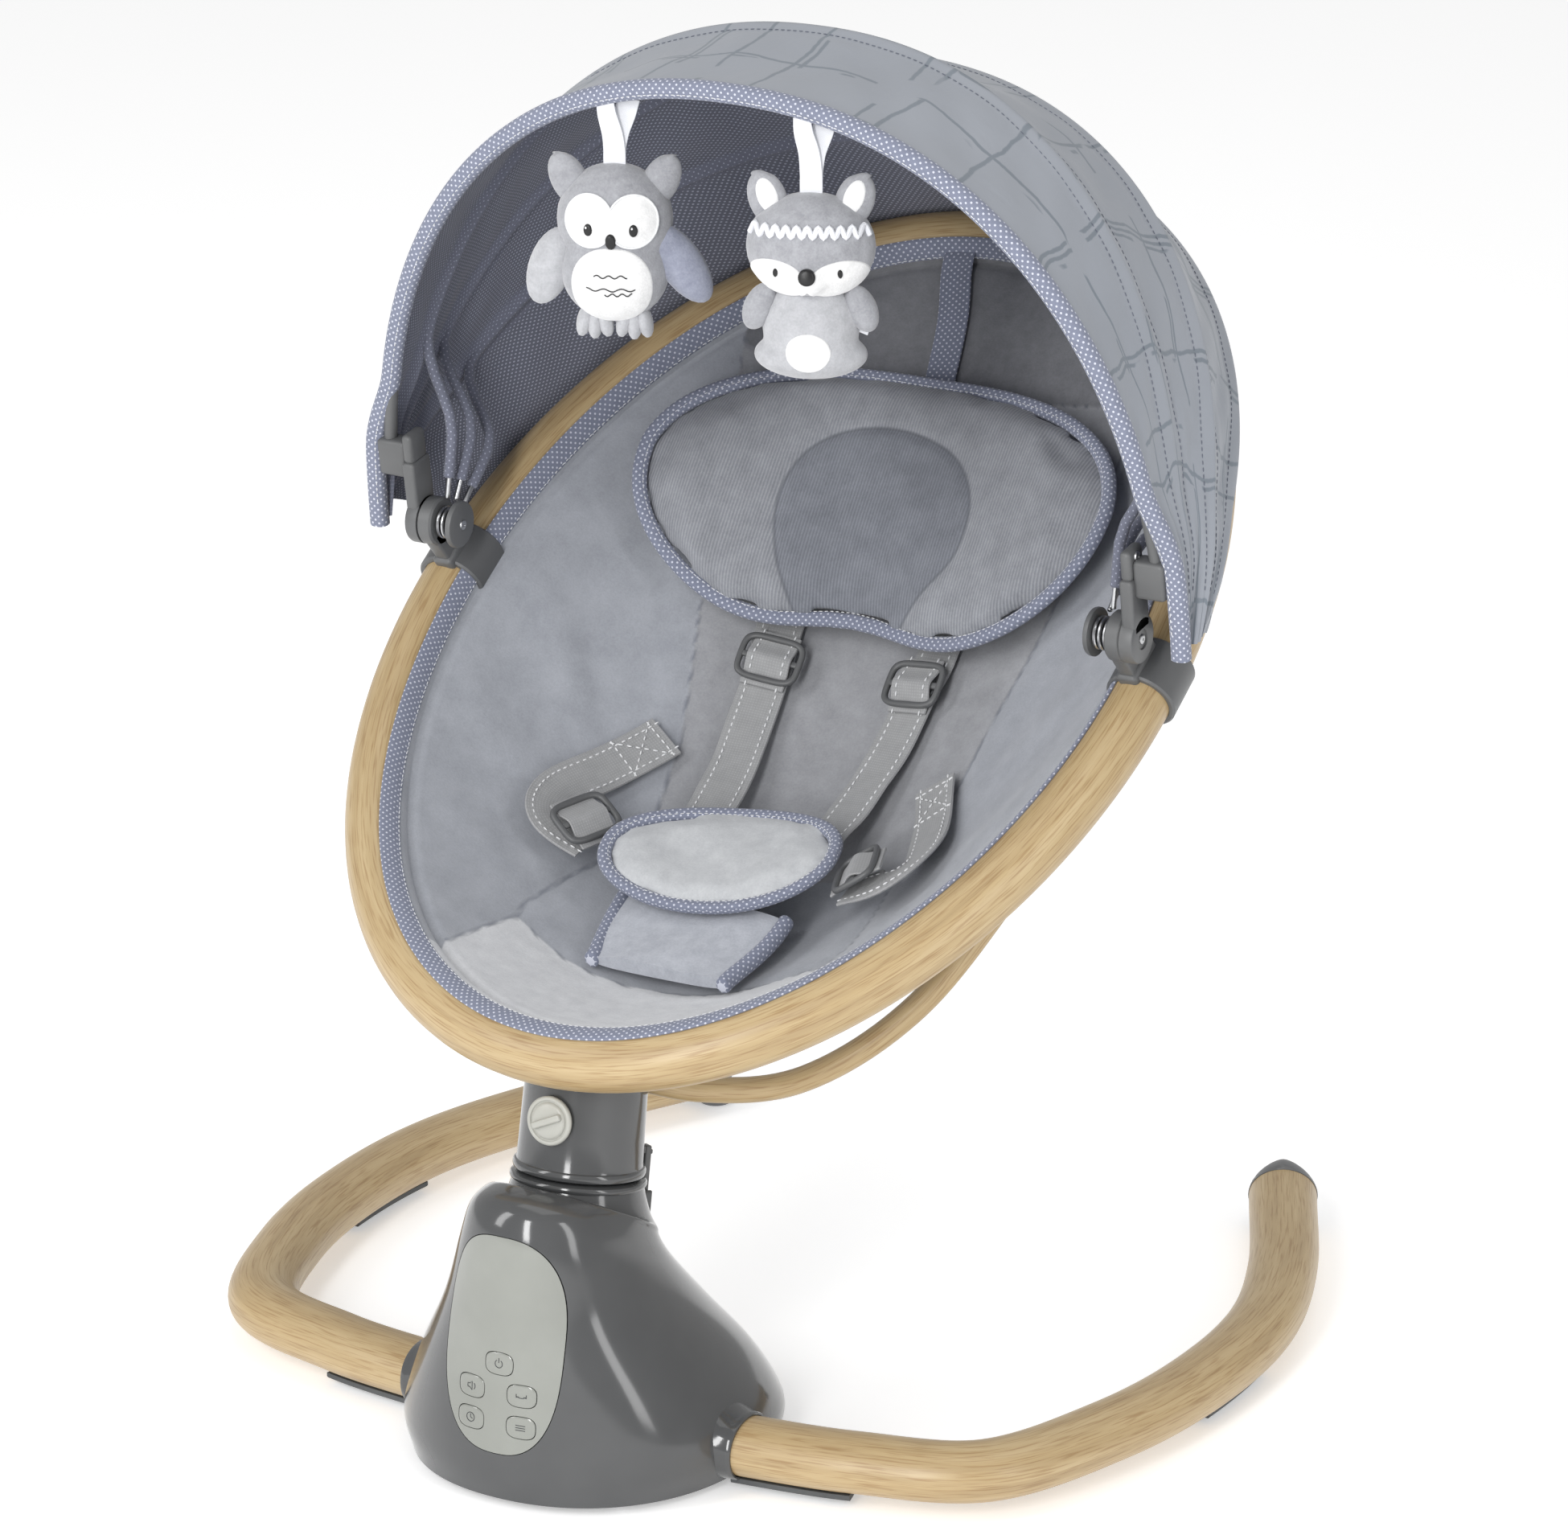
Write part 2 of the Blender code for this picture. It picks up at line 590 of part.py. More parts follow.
def build_latch():
    height = LATCH_TOP - LATCH_PIVOT_Z + 0.0030
    middle = (LATCH_TOP + LATCH_PIVOT_Z - 0.0030) / 2
    latch = block("swing_lock", (LATCH_WIDTH, LATCH_THICKNESS, height), latch_matrix(LATCH_RADIUS, middle), GREY)
    tooth_out = LATCH_RADIUS - LATCH_THICKNESS / 2 - LATCH_TOOTH / 2
    tooth = block("lock_tooth", (LATCH_WIDTH, LATCH_TOOTH + 0.0004, 0.0040),
                  latch_matrix(tooth_out, LATCH_TOP - 0.0020), None, CUTTERS)
    boolean(latch, tooth, 'UNION')
    pin = turned("lock_pin", [(0, LUG_SIZE[0] / 2), (0.001, LUG_SIZE[0] / 2), (0.001, -LUG_SIZE[0] / 2),
                              (0, -LUG_SIZE[0] / 2)], latch_pivot_matrix(), None, CUTTERS, steps=12)
    boolean(latch, pin, 'UNION')


# ---------------------------------------------------------------- inside the housing

def axis_matrix(height=0.0):
    return frame_matrix(SEAM + AXIS * height, AXIS, AXIS_BACK)


def build_bottom_cover():
    front_y, _, rear_y, _, half_width = HOUSING_SECTIONS[0]
    inset = WALL + 0.0012
    low = housing_ring(front_y, FLOOR_GAP_Z, rear_y, FLOOR_GAP_Z, half_width, inset)
    high = housing_ring(front_y, COVER_TOP, rear_y, COVER_TOP, half_width, inset)
    cover = loft("base_bottom_cover", [low, high], PARTS, DARK)
    for side in SIDES.values():
        boolean(cover, leg_tube(f"cover_leg_gap_{side}", side, 0.0006, CUTTERS))


def build_carrier():
    """Bearing tower round the swing shaft, trimmed flat to stand on the bottom cover."""
    bore = BEARING_RADIUS + GAP
    outer = bore + CARRIER_WALL
    profile = [(outer, CARRIER_TOP), (outer, CARRIER_BOTTOM), (bore, CARRIER_BOTTOM), (bore, CARRIER_TOP)]
    carrier = turned("shaft_carrier", profile, axis_matrix(), DARK)
    foot_y = (SEAM + AXIS * (CARRIER_TOP + CARRIER_BOTTOM) / 2).y
    foot_top = (SEAM + AXIS * (CARRIER_BOTTOM + 0.020)).z
    foot_height = foot_top - COVER_TOP - GAP
    web_start = bore + CARRIER_WALL / 2
    web_length = CARRIER_LEG_X - web_start
    for side in SIDES.values():
        leg = block(f"carrier_leg_{side}", (CARRIER_LEG_WIDTH, 0.030, foot_height),
                    Matrix.Translation((side * CARRIER_LEG_X, foot_y, foot_top - foot_height / 2)), None, CUTTERS)
        boolean(carrier, leg, 'UNION')
        web = block(f"carrier_web_{side}", (web_length, 0.014, 0.006),
                    Matrix.Translation((side * (web_start + web_length / 2), foot_y, foot_top - 0.004)), None, CUTTERS)
        boolean(carrier, web, 'UNION')


def build_drive():
    bearing = [(BEARING_RADIUS, CARRIER_TOP - 0.001), (BEARING_RADIUS, CARRIER_BOTTOM + 0.001),
               (SHAFT_RADIUS + GAP, CARRIER_BOTTOM + 0.001), (SHAFT_RADIUS + GAP, CARRIER_TOP - 0.001)]
    turned("shaft_bearing", bearing, axis_matrix(), STEEL)
    shaft = [(0, SHAFT_TOP), (SHAFT_RADIUS, SHAFT_TOP), (SHAFT_RADIUS, SHAFT_BOTTOM), (0, SHAFT_BOTTOM)]
    turned("swing_shaft", shaft, axis_matrix(), STEEL)
    arm_matrix = frame_matrix(SEAM + AXIS * DRIVE_S + AXIS_BACK * (DRIVE_REACH / 2), AXIS, AXIS_BACK)
    arm = block("drive_arm", (0.018, DRIVE_REACH + 0.018, 0.006), arm_matrix, DARK, bevel=0.002)
    hole = turned("drive_arm_bore", [(0, 0.02), (SHAFT_RADIUS + GAP, 0.02), (SHAFT_RADIUS + GAP, -0.02), (0, -0.02)],
                  axis_matrix(DRIVE_S), None, CUTTERS)
    boolean(arm, hole)
    magnet_top = SEAM + AXIS * (DRIVE_S - 0.003 - GAP) + AXIS_BACK * DRIVE_REACH
    magnet = [(0, 0), (MAGNET_RADIUS, 0), (MAGNET_RADIUS, -MAGNET_HEIGHT), (0, -MAGNET_HEIGHT)]
    turned("drive_magnet", magnet, frame_matrix(magnet_top, AXIS, AXIS_BACK), STEEL)
    coil = [(0.012, COIL_HEIGHT), (0.012, 0), (0.004, 0), (0.004, COIL_HEIGHT)]
    turned("drive_coil", coil, Matrix.Translation((0.0, COIL_Y, COVER_TOP + GAP)), COPPER)


def build_electrics():
    block("circuit_board", (0.044, 0.0016, 0.070),
          Matrix.Translation((0.0, HOUSING_FRONT_Y + 0.0180, PANEL_CENTRE[1])), BOARD)
    speaker = [(0, 0.014), (0.008, 0.014), (0.008, 0.008), (0.020, 0.003), (0.020, 0), (0, 0)]
    turned("speaker", speaker, Matrix.Translation((0.0, -0.213, COVER_TOP + GAP)), RUBBER)
    jack = [(0, 0.004), (JACK_RADIUS, 0.004), (JACK_RADIUS, -0.011), (0, -0.011)]
    socket = turned("power_jack", jack, frame_matrix(JACK_PLACE, (0.0, 1.0, 0.0), (0.0, 0.0, 1.0)), RUBBER, steps=18)
    bore = [(0, 0.006), (0.0028, 0.006), (0.0028, -0.006), (0, -0.006)]
    boolean(socket, turned("jack_bore", bore, frame_matrix(JACK_PLACE, (0.0, 1.0, 0.0), (0.0, 0.0, 1.0)), None,
                           CUTTERS, steps=12))


# ---------------------------------------------------------------- legs, caps and feet
def leg_end(side):
    points = leg_points(side)
    return points[-1], (points[-1] - points[-2]).normalized()


def build_legs():
    for word, side in SIDES.items():
        leg_tube(f"leg_{word}", side, 0.0, PARTS, OAK)
        end, heading = leg_end(side)
        nose = LEG_HALF_WIDTH
        straight = CAP_LENGTH - nose
        profile = [(0, CAP_LENGTH)]
        profile += [(nose * math.sin(a), straight + nose * math.cos(a))
                    for a in (math.radians(22.5 * k) for k in range(1, 5))]
        profile += [(nose, GAP), (0, GAP)]
        cap = turned(f"leg_cap_{word}", profile, Matrix.Identity(4), GREY, steps=16)
        flatten = Matrix.Diagonal((1.0, LEG_HALF_HEIGHT / LEG_HALF_WIDTH, 1.0, 1.0))
        place_at = frame_matrix(Vector((end.x, end.y, LEG_CENTRE_Z)), heading, (0.0, 0.0, 1.0))
        cap.matrix_local = place_at @ flatten
        toe = Vector((end.x, end.y, 0.0)) + heading * 0.017
        foot_profile = [(0, 0.010), (0.011, 0.010), (0.012, 0.004), (0.009, 0.0), (0, 0.0)]
        foot = turned(f"cap_foot_{word}", foot_profile, Matrix.Translation(toe), None, CUTTERS, steps=20)
        boolean(cap, foot, 'UNION')


def pad_under_leg(name, side, shares, half_width):
    """A flat pad that follows the leg between two shares of its route."""
    points = leg_points(side)
    chosen = points[int(shares[0] * len(points)):int(shares[1] * len(points))]
    top = LEG_CENTRE_Z - LEG_HALF_HEIGHT - GAP
    low = Vector((0.0, 0.0, PAD_BOTTOM_Z))
    rings = []
    for before, here, after in zip(chosen, chosen[1:], chosen[2:]):
        across = (after - before).cross(Vector((0, 0, 1))).normalized() * half_width
        rings.append([here - across + low, here + across + low, here + across + Vector((0, 0, top)),
                      here - across + Vector((0, 0, top))])
    pad = loft(name, rings, PARTS, GREY)
    rounding = pad.modifiers.new("rounding", 'BEVEL')
    rounding.width = 0.0012
    rounding.segments = 1
    rounding.angle_limit = math.radians(50.0)
    return pad


def build_feet():
    for word, side in SIDES.items():
        pad_under_leg(f"leg_pad_front_{word}", side, FRONT_PAD_SHARES, 0.009)
        pad_under_leg(f"leg_pad_rear_{word}", side, REAR_PAD_SHARES, 0.008)
    block("housing_foot", (0.074, 0.011, FLOOR_GAP_Z - GAP),
          Matrix.Translation((0.0, HOUSING_FRONT_Y + 0.026, (FLOOR_GAP_Z - GAP) / 2)), RUBBER, bevel=0.0015)


# ---------------------------------------------------------------- column and seat frame
def bow_route():
    end = on_hoop_plane(HOOP_HALF_WIDTH * math.sqrt(1 - (BOW_END_V / (HOOP_LENGTH / 2)) ** 2), BOW_END_V)
    half = [*[Vector(point) for point in BOW_ROUTE], end]
    whole = [mirrored(point, -1) for point in reversed(half[1:])] + half
    return spline_through(whole, 3)


def build_column():
    slope = (COLUMN_RADIUS - COLUMN_TOP_RADIUS) / COLUMN_HEIGHT
    top = COLUMN_TOP_RADIUS
    inner = top - COLUMN_WALL
    profile = [(top, COLUMN_HEIGHT), (COLUMN_RADIUS - slope * 0.006, 0.006), (COLUMN_RADIUS + 0.0004, 0.005),
               (COLUMN_RADIUS + 0.0004, 0.0016), (COLUMN_RADIUS - 0.0012, 0.0010), (inner, 0.0010),
               (inner, COLUMN_HEIGHT)]
    column = turned("swing_column", profile, axis_matrix(), DARK, steps=32)
    hub = [(0, HUB_TOP), (inner - GAP, HUB_TOP), (inner - GAP, 0.0010), (0, 0.0010)]
    carrier = turned("column_hub", hub, axis_matrix(), DARK)
    bore = [(0, SHAFT_TOP + GAP), (SHAFT_RADIUS + GAP, SHAFT_TOP + GAP), (SHAFT_RADIUS + GAP, -0.01), (0, -0.01)]
    boolean(carrier, turned("hub_bore", bore, axis_matrix(), None, CUTTERS))
    notch_size = (LATCH_WIDTH + 0.0016, 0.012, 0.0058)
    notch = block("latch_notch", notch_size, latch_matrix(COLUMN_RADIUS, LATCH_TOP - 0.0021), None, CUTTERS)
    boolean(column, notch)
    boolean(column, hoop_tube("hoop_room", GAP, CUTTERS))
    boolean(column, tube("bow_room", bow_route(), BOW_RADIUS + GAP, CUTTERS, sides=2))
    knob_matrix = frame_matrix(SEAM + AXIS * KNOB_HEIGHT - AXIS_BACK * COLUMN_RADIUS, -AXIS_BACK, AXIS)
    shank = KNOB_SHANK_RADIUS
    room = shank + GAP
    hole = turned("knob_hole", [(0, 0.01), (room, 0.01), (room, -0.0123), (0, -0.0123)], knob_matrix, None, CUTTERS,
                  steps=20)
    boolean(column, hole)
    boolean(carrier, hole)
    seat = 0.0012                # the knob's flange clears the round column
    knob_profile = [(0, seat + 0.0030), (KNOB_RADIUS - 0.0026, seat + 0.0030), (KNOB_RADIUS - 0.0022, seat + 0.0022),
                    (KNOB_RADIUS - 0.0006, seat + 0.0022), (KNOB_RADIUS, seat + 0.0014), (KNOB_RADIUS, seat),
                    (shank, seat), (shank, -0.0120), (0, -0.0120)]
    knob = turned("lock_knob", knob_profile, knob_matrix, WHITE, steps=28)
    grip = block("knob_grip", (0.0200, 0.0048, 0.0044),
                 knob_matrix @ Matrix.Rotation(math.radians(25.0), 4, 'Z') @ Matrix.Translation((0, 0, seat + 0.0040)),
                 None, CUTTERS)
    boolean(knob, grip, 'UNION')


def build_seat_frame():
    hoop_tube("seat_hoop", 0.0, PARTS, OAK)
    bow = tube("support_bow", bow_route(), BOW_RADIUS, PARTS, OAK, sides=2)
    boolean(bow, hoop_tube("bow_end_cope", GAP, CUTTERS))
    inner = COLUMN_TOP_RADIUS - COLUMN_WALL - GAP
    profile = [(0, 0.072), (COLUMN_TOP_RADIUS - 0.002, 0.072), (COLUMN_TOP_RADIUS, 0.070),
               (COLUMN_TOP_RADIUS, COLUMN_HEIGHT + GAP), (inner, COLUMN_HEIGHT + GAP), (inner, PLUG_BOTTOM), (0, PLUG_BOTTOM)]
    bracket = turned("seat_bracket", profile, axis_matrix(), DARK, steps=28)
    boolean(bracket, hoop_tube("bracket_saddle", GAP, CUTTERS))
    boolean(bracket, tube("bracket_bow_hole", bow_route(), BOW_RADIUS + GAP, CUTTERS, sides=2))
    boolean(bracket, bowl_solid("bracket_sling_room", 0.0005, CUTTERS))


# ---------------------------------------------------------------- sling and pads
def polar_grid(outline, rings, centre):
    """Rings of (u, v) from the centre out to the outline."""
    middle = Vector(centre)
    grid = []
    for share in rings:
        grid.append([middle.lerp(Vector(point), share) for point in outline])
    return grid


def bowl_solid(name, grow=0.0, collection=PARTS, material=None):
    """The sling: its inner face follows on_bowl, its outer face is a little larger and deeper."""
    outline = [(BOWL_HALF_U * math.cos(2 * math.pi * i / 32), BOWL_HALF_V * math.sin(2 * math.pi * i / 32))
               for i in range(32)]
    grid = polar_grid(outline, (0.3, 0.55, 0.8, 1.0), (0.0, 0.0))
    return pad_solid(name, grid, (0.0, 0.0), lambda share: grow, lambda share: -BOWL_THICKNESS - grow,
                     collection, material)


def pad_solid(name, grid, centre, top, bottom, collection=PARTS, material=None):
    """A closed pad between two lifts above the sling; top and bottom take the share of the way out."""
    bm = bmesh.new()
    count = len(grid[0])
    shares = [(i + 1) / len(grid) for i in range(len(grid))]
    faces = []
    for lift, outward in ((top, True), (bottom, False)):
        hub = bm.verts.new(on_bowl(*centre, lift(0.0)))
        rows = [[bm.verts.new(on_bowl(point[0], point[1], lift(share))) for point in row]
                for share, row in zip(shares, grid)]
        for i in range(count):
            j = (i + 1) % count
            bm.faces.new((hub, rows[0][i], rows[0][j]))
            for low, high in zip(rows, rows[1:]):
                bm.faces.new((low[i], high[i], high[j], low[j]))
        faces.append(rows[-1])
    for i in range(count):
        j = (i + 1) % count
        bm.faces.new((faces[0][i], faces[1][i], faces[1][j], faces[0][j]))
    bmesh.ops.recalc_face_normals(bm, faces=bm.faces)
    mesh = bpy.data.meshes.new(name)
    bm.to_mesh(mesh)
    bm.free()
    smooth(mesh, 50.0)
    return as_object(name, mesh, collection, material)


def cushion(name, outline, centre, lift, thickness, material, rings=(0.4, 0.75, 0.93, 1.0)):
    """A pad that is full in the middle and thin at its bound edge."""
    grid = polar_grid(outline, rings, centre)
    shares = {(i + 1) / len(rings): ring for i, ring in enumerate(rings)}
    edge = 0.0025

    def top(share):
        out = shares.get(share, 0.0)
        return lift + edge + (thickness - edge) * math.sqrt(max(0.0, 1.0 - out ** 2.5))

    return pad_solid(name, grid, centre, top, lambda share: lift, PARTS, material)


def pillow_outline():
    """A bean: wide at the bottom, with a shallow notch in its lower edge."""
    points = []
    for i in range(26):
        angle = 2 * math.pi * i / 26
        c, s = math.cos(angle), math.sin(angle)
        u = PILLOW_HALF[0] * math.copysign(abs(c) ** 0.78, c) * (1.0 - 0.12 * max(0.0, s))
        v = PILLOW_HALF[1] * math.copysign(abs(s) ** 0.85, s)
        notch = 0.015 * max(0.0, -s) ** 4 * math.exp(-(u / 0.05) ** 2)
        points.append((u, PILLOW_CENTRE_V + v + notch))
    return points


def ribbon(name, route, width, thickness, material):
    """A flat strap through (point, side direction) pairs; thickness goes to both faces."""
    centres = [point for point, _ in route]
    rings = []
    for index, (point, side) in enumerate(route):
        ahead = centres[min(index + 1, len(centres) - 1)] - centres[max(index - 1, 0)]
        across = side.normalized() * width / 2
        face = ahead.cross(across).normalized() * thickness / 2
        rings.append([point - across - face, point + across - face, point + across + face, point - across + face])
    return loft(name, rings, PARTS, material)


def strap_route(stops, steps=3):
    """(u, v, lift) stops smoothed and laid over the sling, with the side direction in its surface."""
    smooth_stops = spline_through([Vector(stop) for stop in stops], steps)
    points = [on_bowl(stop[0], stop[1], stop[2]) for stop in smooth_stops]
    route = []
    for index, stop in enumerate(smooth_stops):
        ahead = points[min(index + 1, len(points) - 1)] - points[max(index - 1, 0)]
        step = 0.004
        slope_u = on_bowl(stop[0] + step, stop[1], 0) - on_bowl(stop[0] - step, stop[1], 0)
        slope_v = on_bowl(stop[0], stop[1] + step, 0) - on_bowl(stop[0], stop[1] - step, 0)
        route.append((points[index], slope_u.cross(slope_v).cross(ahead)))
    return route


def bowl_matrix(u, v, lift, turn=0.0):
    """Local Z along the sling's own normal and local Y up its slope, lift above it."""
    step = 0.004
    slope_u = on_bowl(u + step, v, 0) - on_bowl(u - step, v, 0)
    slope_v = on_bowl(u, v + step, 0) - on_bowl(u, v - step, 0)
    normal = slope_u.cross(slope_v).normalized()
    return frame_matrix(on_bowl(u, v) + normal * lift, normal, slope_v) @ Matrix.Rotation(turn, 4, 'Z')


def slider_frame(name, matrix):
    """A strap adjuster: a rectangular frame with two slots and a bar between them."""
    frame = block(name, SLIDER_SIZE, matrix, GREY, bevel=0.0008, segments=1)
    for number, shift in enumerate((-0.0058, 0.0058)):
        slot = block(f"{name}_slot_{number}", (WEB_WIDTH + 0.0016, 0.0078, 0.01),
                     matrix @ Matrix.Translation((0, shift, 0)), None, CUTTERS)
        boolean(frame, slot)


def build_soft_seat():
    bowl_solid("seat_sling", 0.0, PARTS, SLING)
    cushion("head_pillow", pillow_outline(), (0.0, PILLOW_CENTRE_V), PILLOW_LIFT, PILLOW_THICKNESS, PILLOW)
    for word, side in SIDES.items():
        shoulder = [(side * u, v, lift) for u, v, lift in SHOULDER_STOPS]
        ribbon(f"shoulder_strap_{word}", strap_route(shoulder), WEB_WIDTH, WEB_THICKNESS, WEBBING)
        u, v, lift = SHOULDER_SLIDER
        slider_frame(f"shoulder_slider_{word}", bowl_matrix(side * u, v, lift))
        waist = [(side * u, v, lift) for u, v, lift in WAIST_STOPS]
        ribbon(f"waist_strap_{word}", strap_route(waist), WEB_WIDTH, WEB_THICKNESS, WEBBING)
        u, v, lift = WAIST_SLIDER
        slider_frame(f"waist_slider_{word}", bowl_matrix(side * u, v, lift, side * WAIST_SLIDER_TURN))
    ribbon("crotch_pad", strap_route(CROTCH_STOPS), CROTCH_WIDTH, CROTCH_THICKNESS, LIGHT)
    block("harness_buckle", BUCKLE_SIZE, bowl_matrix(0.0, BUCKLE_V, BUCKLE_LIFT), GREY, bevel=0.003)
    flat = rounded_outline(*BUCKLE_PAD_HALF, 2.2, 28)
    c, s = math.cos(BUCKLE_PAD_TURN), math.sin(BUCKLE_PAD_TURN)
    pad = [(c * x - s * y, BUCKLE_V + s * x + c * y) for x, y in flat]
    cushion("buckle_pad", pad, (0.0, BUCKLE_V), BUCKLE_PAD_LIFT, 0.0090, LIGHT, (0.4, 0.75, 0.92, 1.0))


# ---------------------------------------------------------------- canopy
def arch_point(number, phi, angle=None, grow=0.0):
    """Bow or rib number at phi, 0 at the right hub to pi at the left, turned to its angle."""
    angle = math.radians(CANOPY_ANGLES[number] if angle is None else angle)
    c, s = math.cos(phi), max(0.0, math.sin(phi))
    x = (CANOPY_HALF_WIDTHS[number] + grow) * math.copysign(abs(c) ** (2 / CANOPY_ROUNDNESS), c)
    r = (CANOPY_RADII[number] + grow) * s ** (2 / CANOPY_ROUNDNESS)
    return x, r, HUB + Vector((x, r * math.cos(angle), r * math.sin(angle)))


def rib_points(number):
    """A rib starts flat at its eyelet and swings out to the arch over the first hundred millimetres."""
    foot_x = EYELET_X[number - 1] - EYELET_THICKNESS / 2
    angle = math.radians(CANOPY_ANGLES[number])
    thin = 0.8 * EYELET_THICKNESS / 2 / RIB_RADIUS
    points, radii = [], []
    for i in range(RIB_STEPS + 1):
        phi = math.pi * i / RIB_STEPS
        x, r, _ = arch_point(number, phi)
        blend = min(1.0, max(0.0, (r - 0.045) / 0.055))
        blend = blend * blend * (3 - 2 * blend)
        x = math.copysign(foot_x + (abs(x) - foot_x) * blend, math.cos(phi)) if abs(x) > 0.12 else x
        points.append(HUB + Vector((x, r * math.cos(angle), r * math.sin(angle))))
        radii.append(thin + (1 - thin) * blend)
    kept = [(point, radius) for point, radius in zip(points, radii) if reach_of(point) > 0.020]
    feet = [(HUB + Vector((side * foot_x, 0.0065 * math.cos(angle), 0.0065 * math.sin(angle))), thin)
            for side in (1, -1)]
    kept = [feet[0], *kept, feet[1]]
    return [point for point, _ in kept], [radius for _, radius in kept]


def reach_of(point):
    """Distance from the canopy's pivot axis."""
    return math.hypot(point.y - HUB.y, point.z - HUB.z)


def build_ribs():
    for number in (1, 2, 3):
        points, radii = rib_points(number)
        rib = tube(f"canopy_rib_{number}", points, RIB_RADIUS, PARTS, STEEL, sides=1, radii=radii)
        for side in SIDES.values():
            outer = EYELET_X[number - 1]
            matrix = frame_matrix(HUB + Vector((side * (outer - EYELET_THICKNESS / 2), 0, 0)), (1.0, 0.0, 0.0))
            half = EYELET_THICKNESS / 2
            eyelet = turned(f"eyelet_{number}_{side}", [(0, half), (0.0085, half), (0.0085, -half), (0, -half)],
                            matrix, None, CUTTERS, steps=14)
            boolean(rib, eyelet, 'UNION')
            hole = turned(f"eyelet_hole_{number}_{side}",
                          [(0, 0.01), (PIN_RADIUS + 0.0004, 0.01), (PIN_RADIUS + 0.0004, -0.01), (0, -0.01)],
                          frame_matrix(HUB + Vector((side * outer, 0, 0)), (1.0, 0.0, 0.0)), None, CUTTERS, steps=10)
            boolean(rib, hole)


def bow_heading():
    angle = math.radians(CANOPY_ANGLES[0])
    return Vector((0.0, math.cos(angle), math.sin(angle)))


def bow_points(reach):
    """The front bow's centre line, from reach beside the right hub over to the left one."""
    arch = [arch_point(0, math.pi * i / RIB_STEPS) for i in range(RIB_STEPS + 1)]
    inner = [point for _, r, point in arch if r > reach + 0.003]
    foot_x = abs(inner[0].x)
    feet = [HUB + Vector((side * foot_x, 0, 0)) + bow_heading() * reach for side in (1, -1)]
    return [feet[0], *inner, feet[1]]


def build_front_bow():
    tube("canopy_front_bow", bow_points(ARM_SOCKET_R + GAP), FRONT_BOW_RADIUS, PARTS, GREY, sides=1)


def build_arms():
    """Outer arms that carry the front bow's ends."""
    up = bow_heading()
    half = ARM_THICKNESS / 2
    bow_room = tube("bow_sockets", bow_points(ARM_SOCKET_R), FRONT_BOW_RADIUS + GAP, CUTTERS, sides=1)
    for word, side in SIDES.items():
        middle = HUB + Vector((side * (ARM_X[0] + half), 0, 0))
        profile = [(0, half), (HUB_RADIUS - 0.0012, half), (HUB_RADIUS, half - 0.0012), (HUB_RADIUS, -half), (0, -half)]
        arm = turned(f"canopy_arm_{word}", profile, frame_matrix(middle, (side, 0.0, 0.0)), GREY, steps=20)
        plate = block(f"arm_plate_{word}", (ARM_THICKNESS, ARM_WIDTH, ARM_LENGTH),
                      frame_matrix(middle + up * (ARM_LENGTH / 2 + 0.004), up, (0, 1, 0)), None, CUTTERS,
                      bevel=0.001, segments=1)
        boolean(arm, plate, 'UNION')
        socket_x = ARM_X[1] - 0.001 + ARM_SOCKET_SIZE[0] / 2
        socket = block(f"arm_socket_{word}", ARM_SOCKET_SIZE,
                       frame_matrix(HUB + up * (ARM_SOCKET_R + ARM_SOCKET_SIZE[2] / 2 - 0.004)
                                    + Vector((side * socket_x, 0, 0)), up, (0, 1, 0)), None, CUTTERS,
                       bevel=0.001, segments=1)
        boolean(arm, socket, 'UNION')
        boolean(arm, bow_room)
        pin_room = [(0, 0.004), (PIN_RADIUS + GAP, 0.004), (PIN_RADIUS + GAP, -0.010), (0, -0.010)]
        boolean(arm, turned(f"arm_pin_hole_{word}", pin_room, frame_matrix(middle, (side, 0, 0)), None, CUTTERS,
                            steps=12))


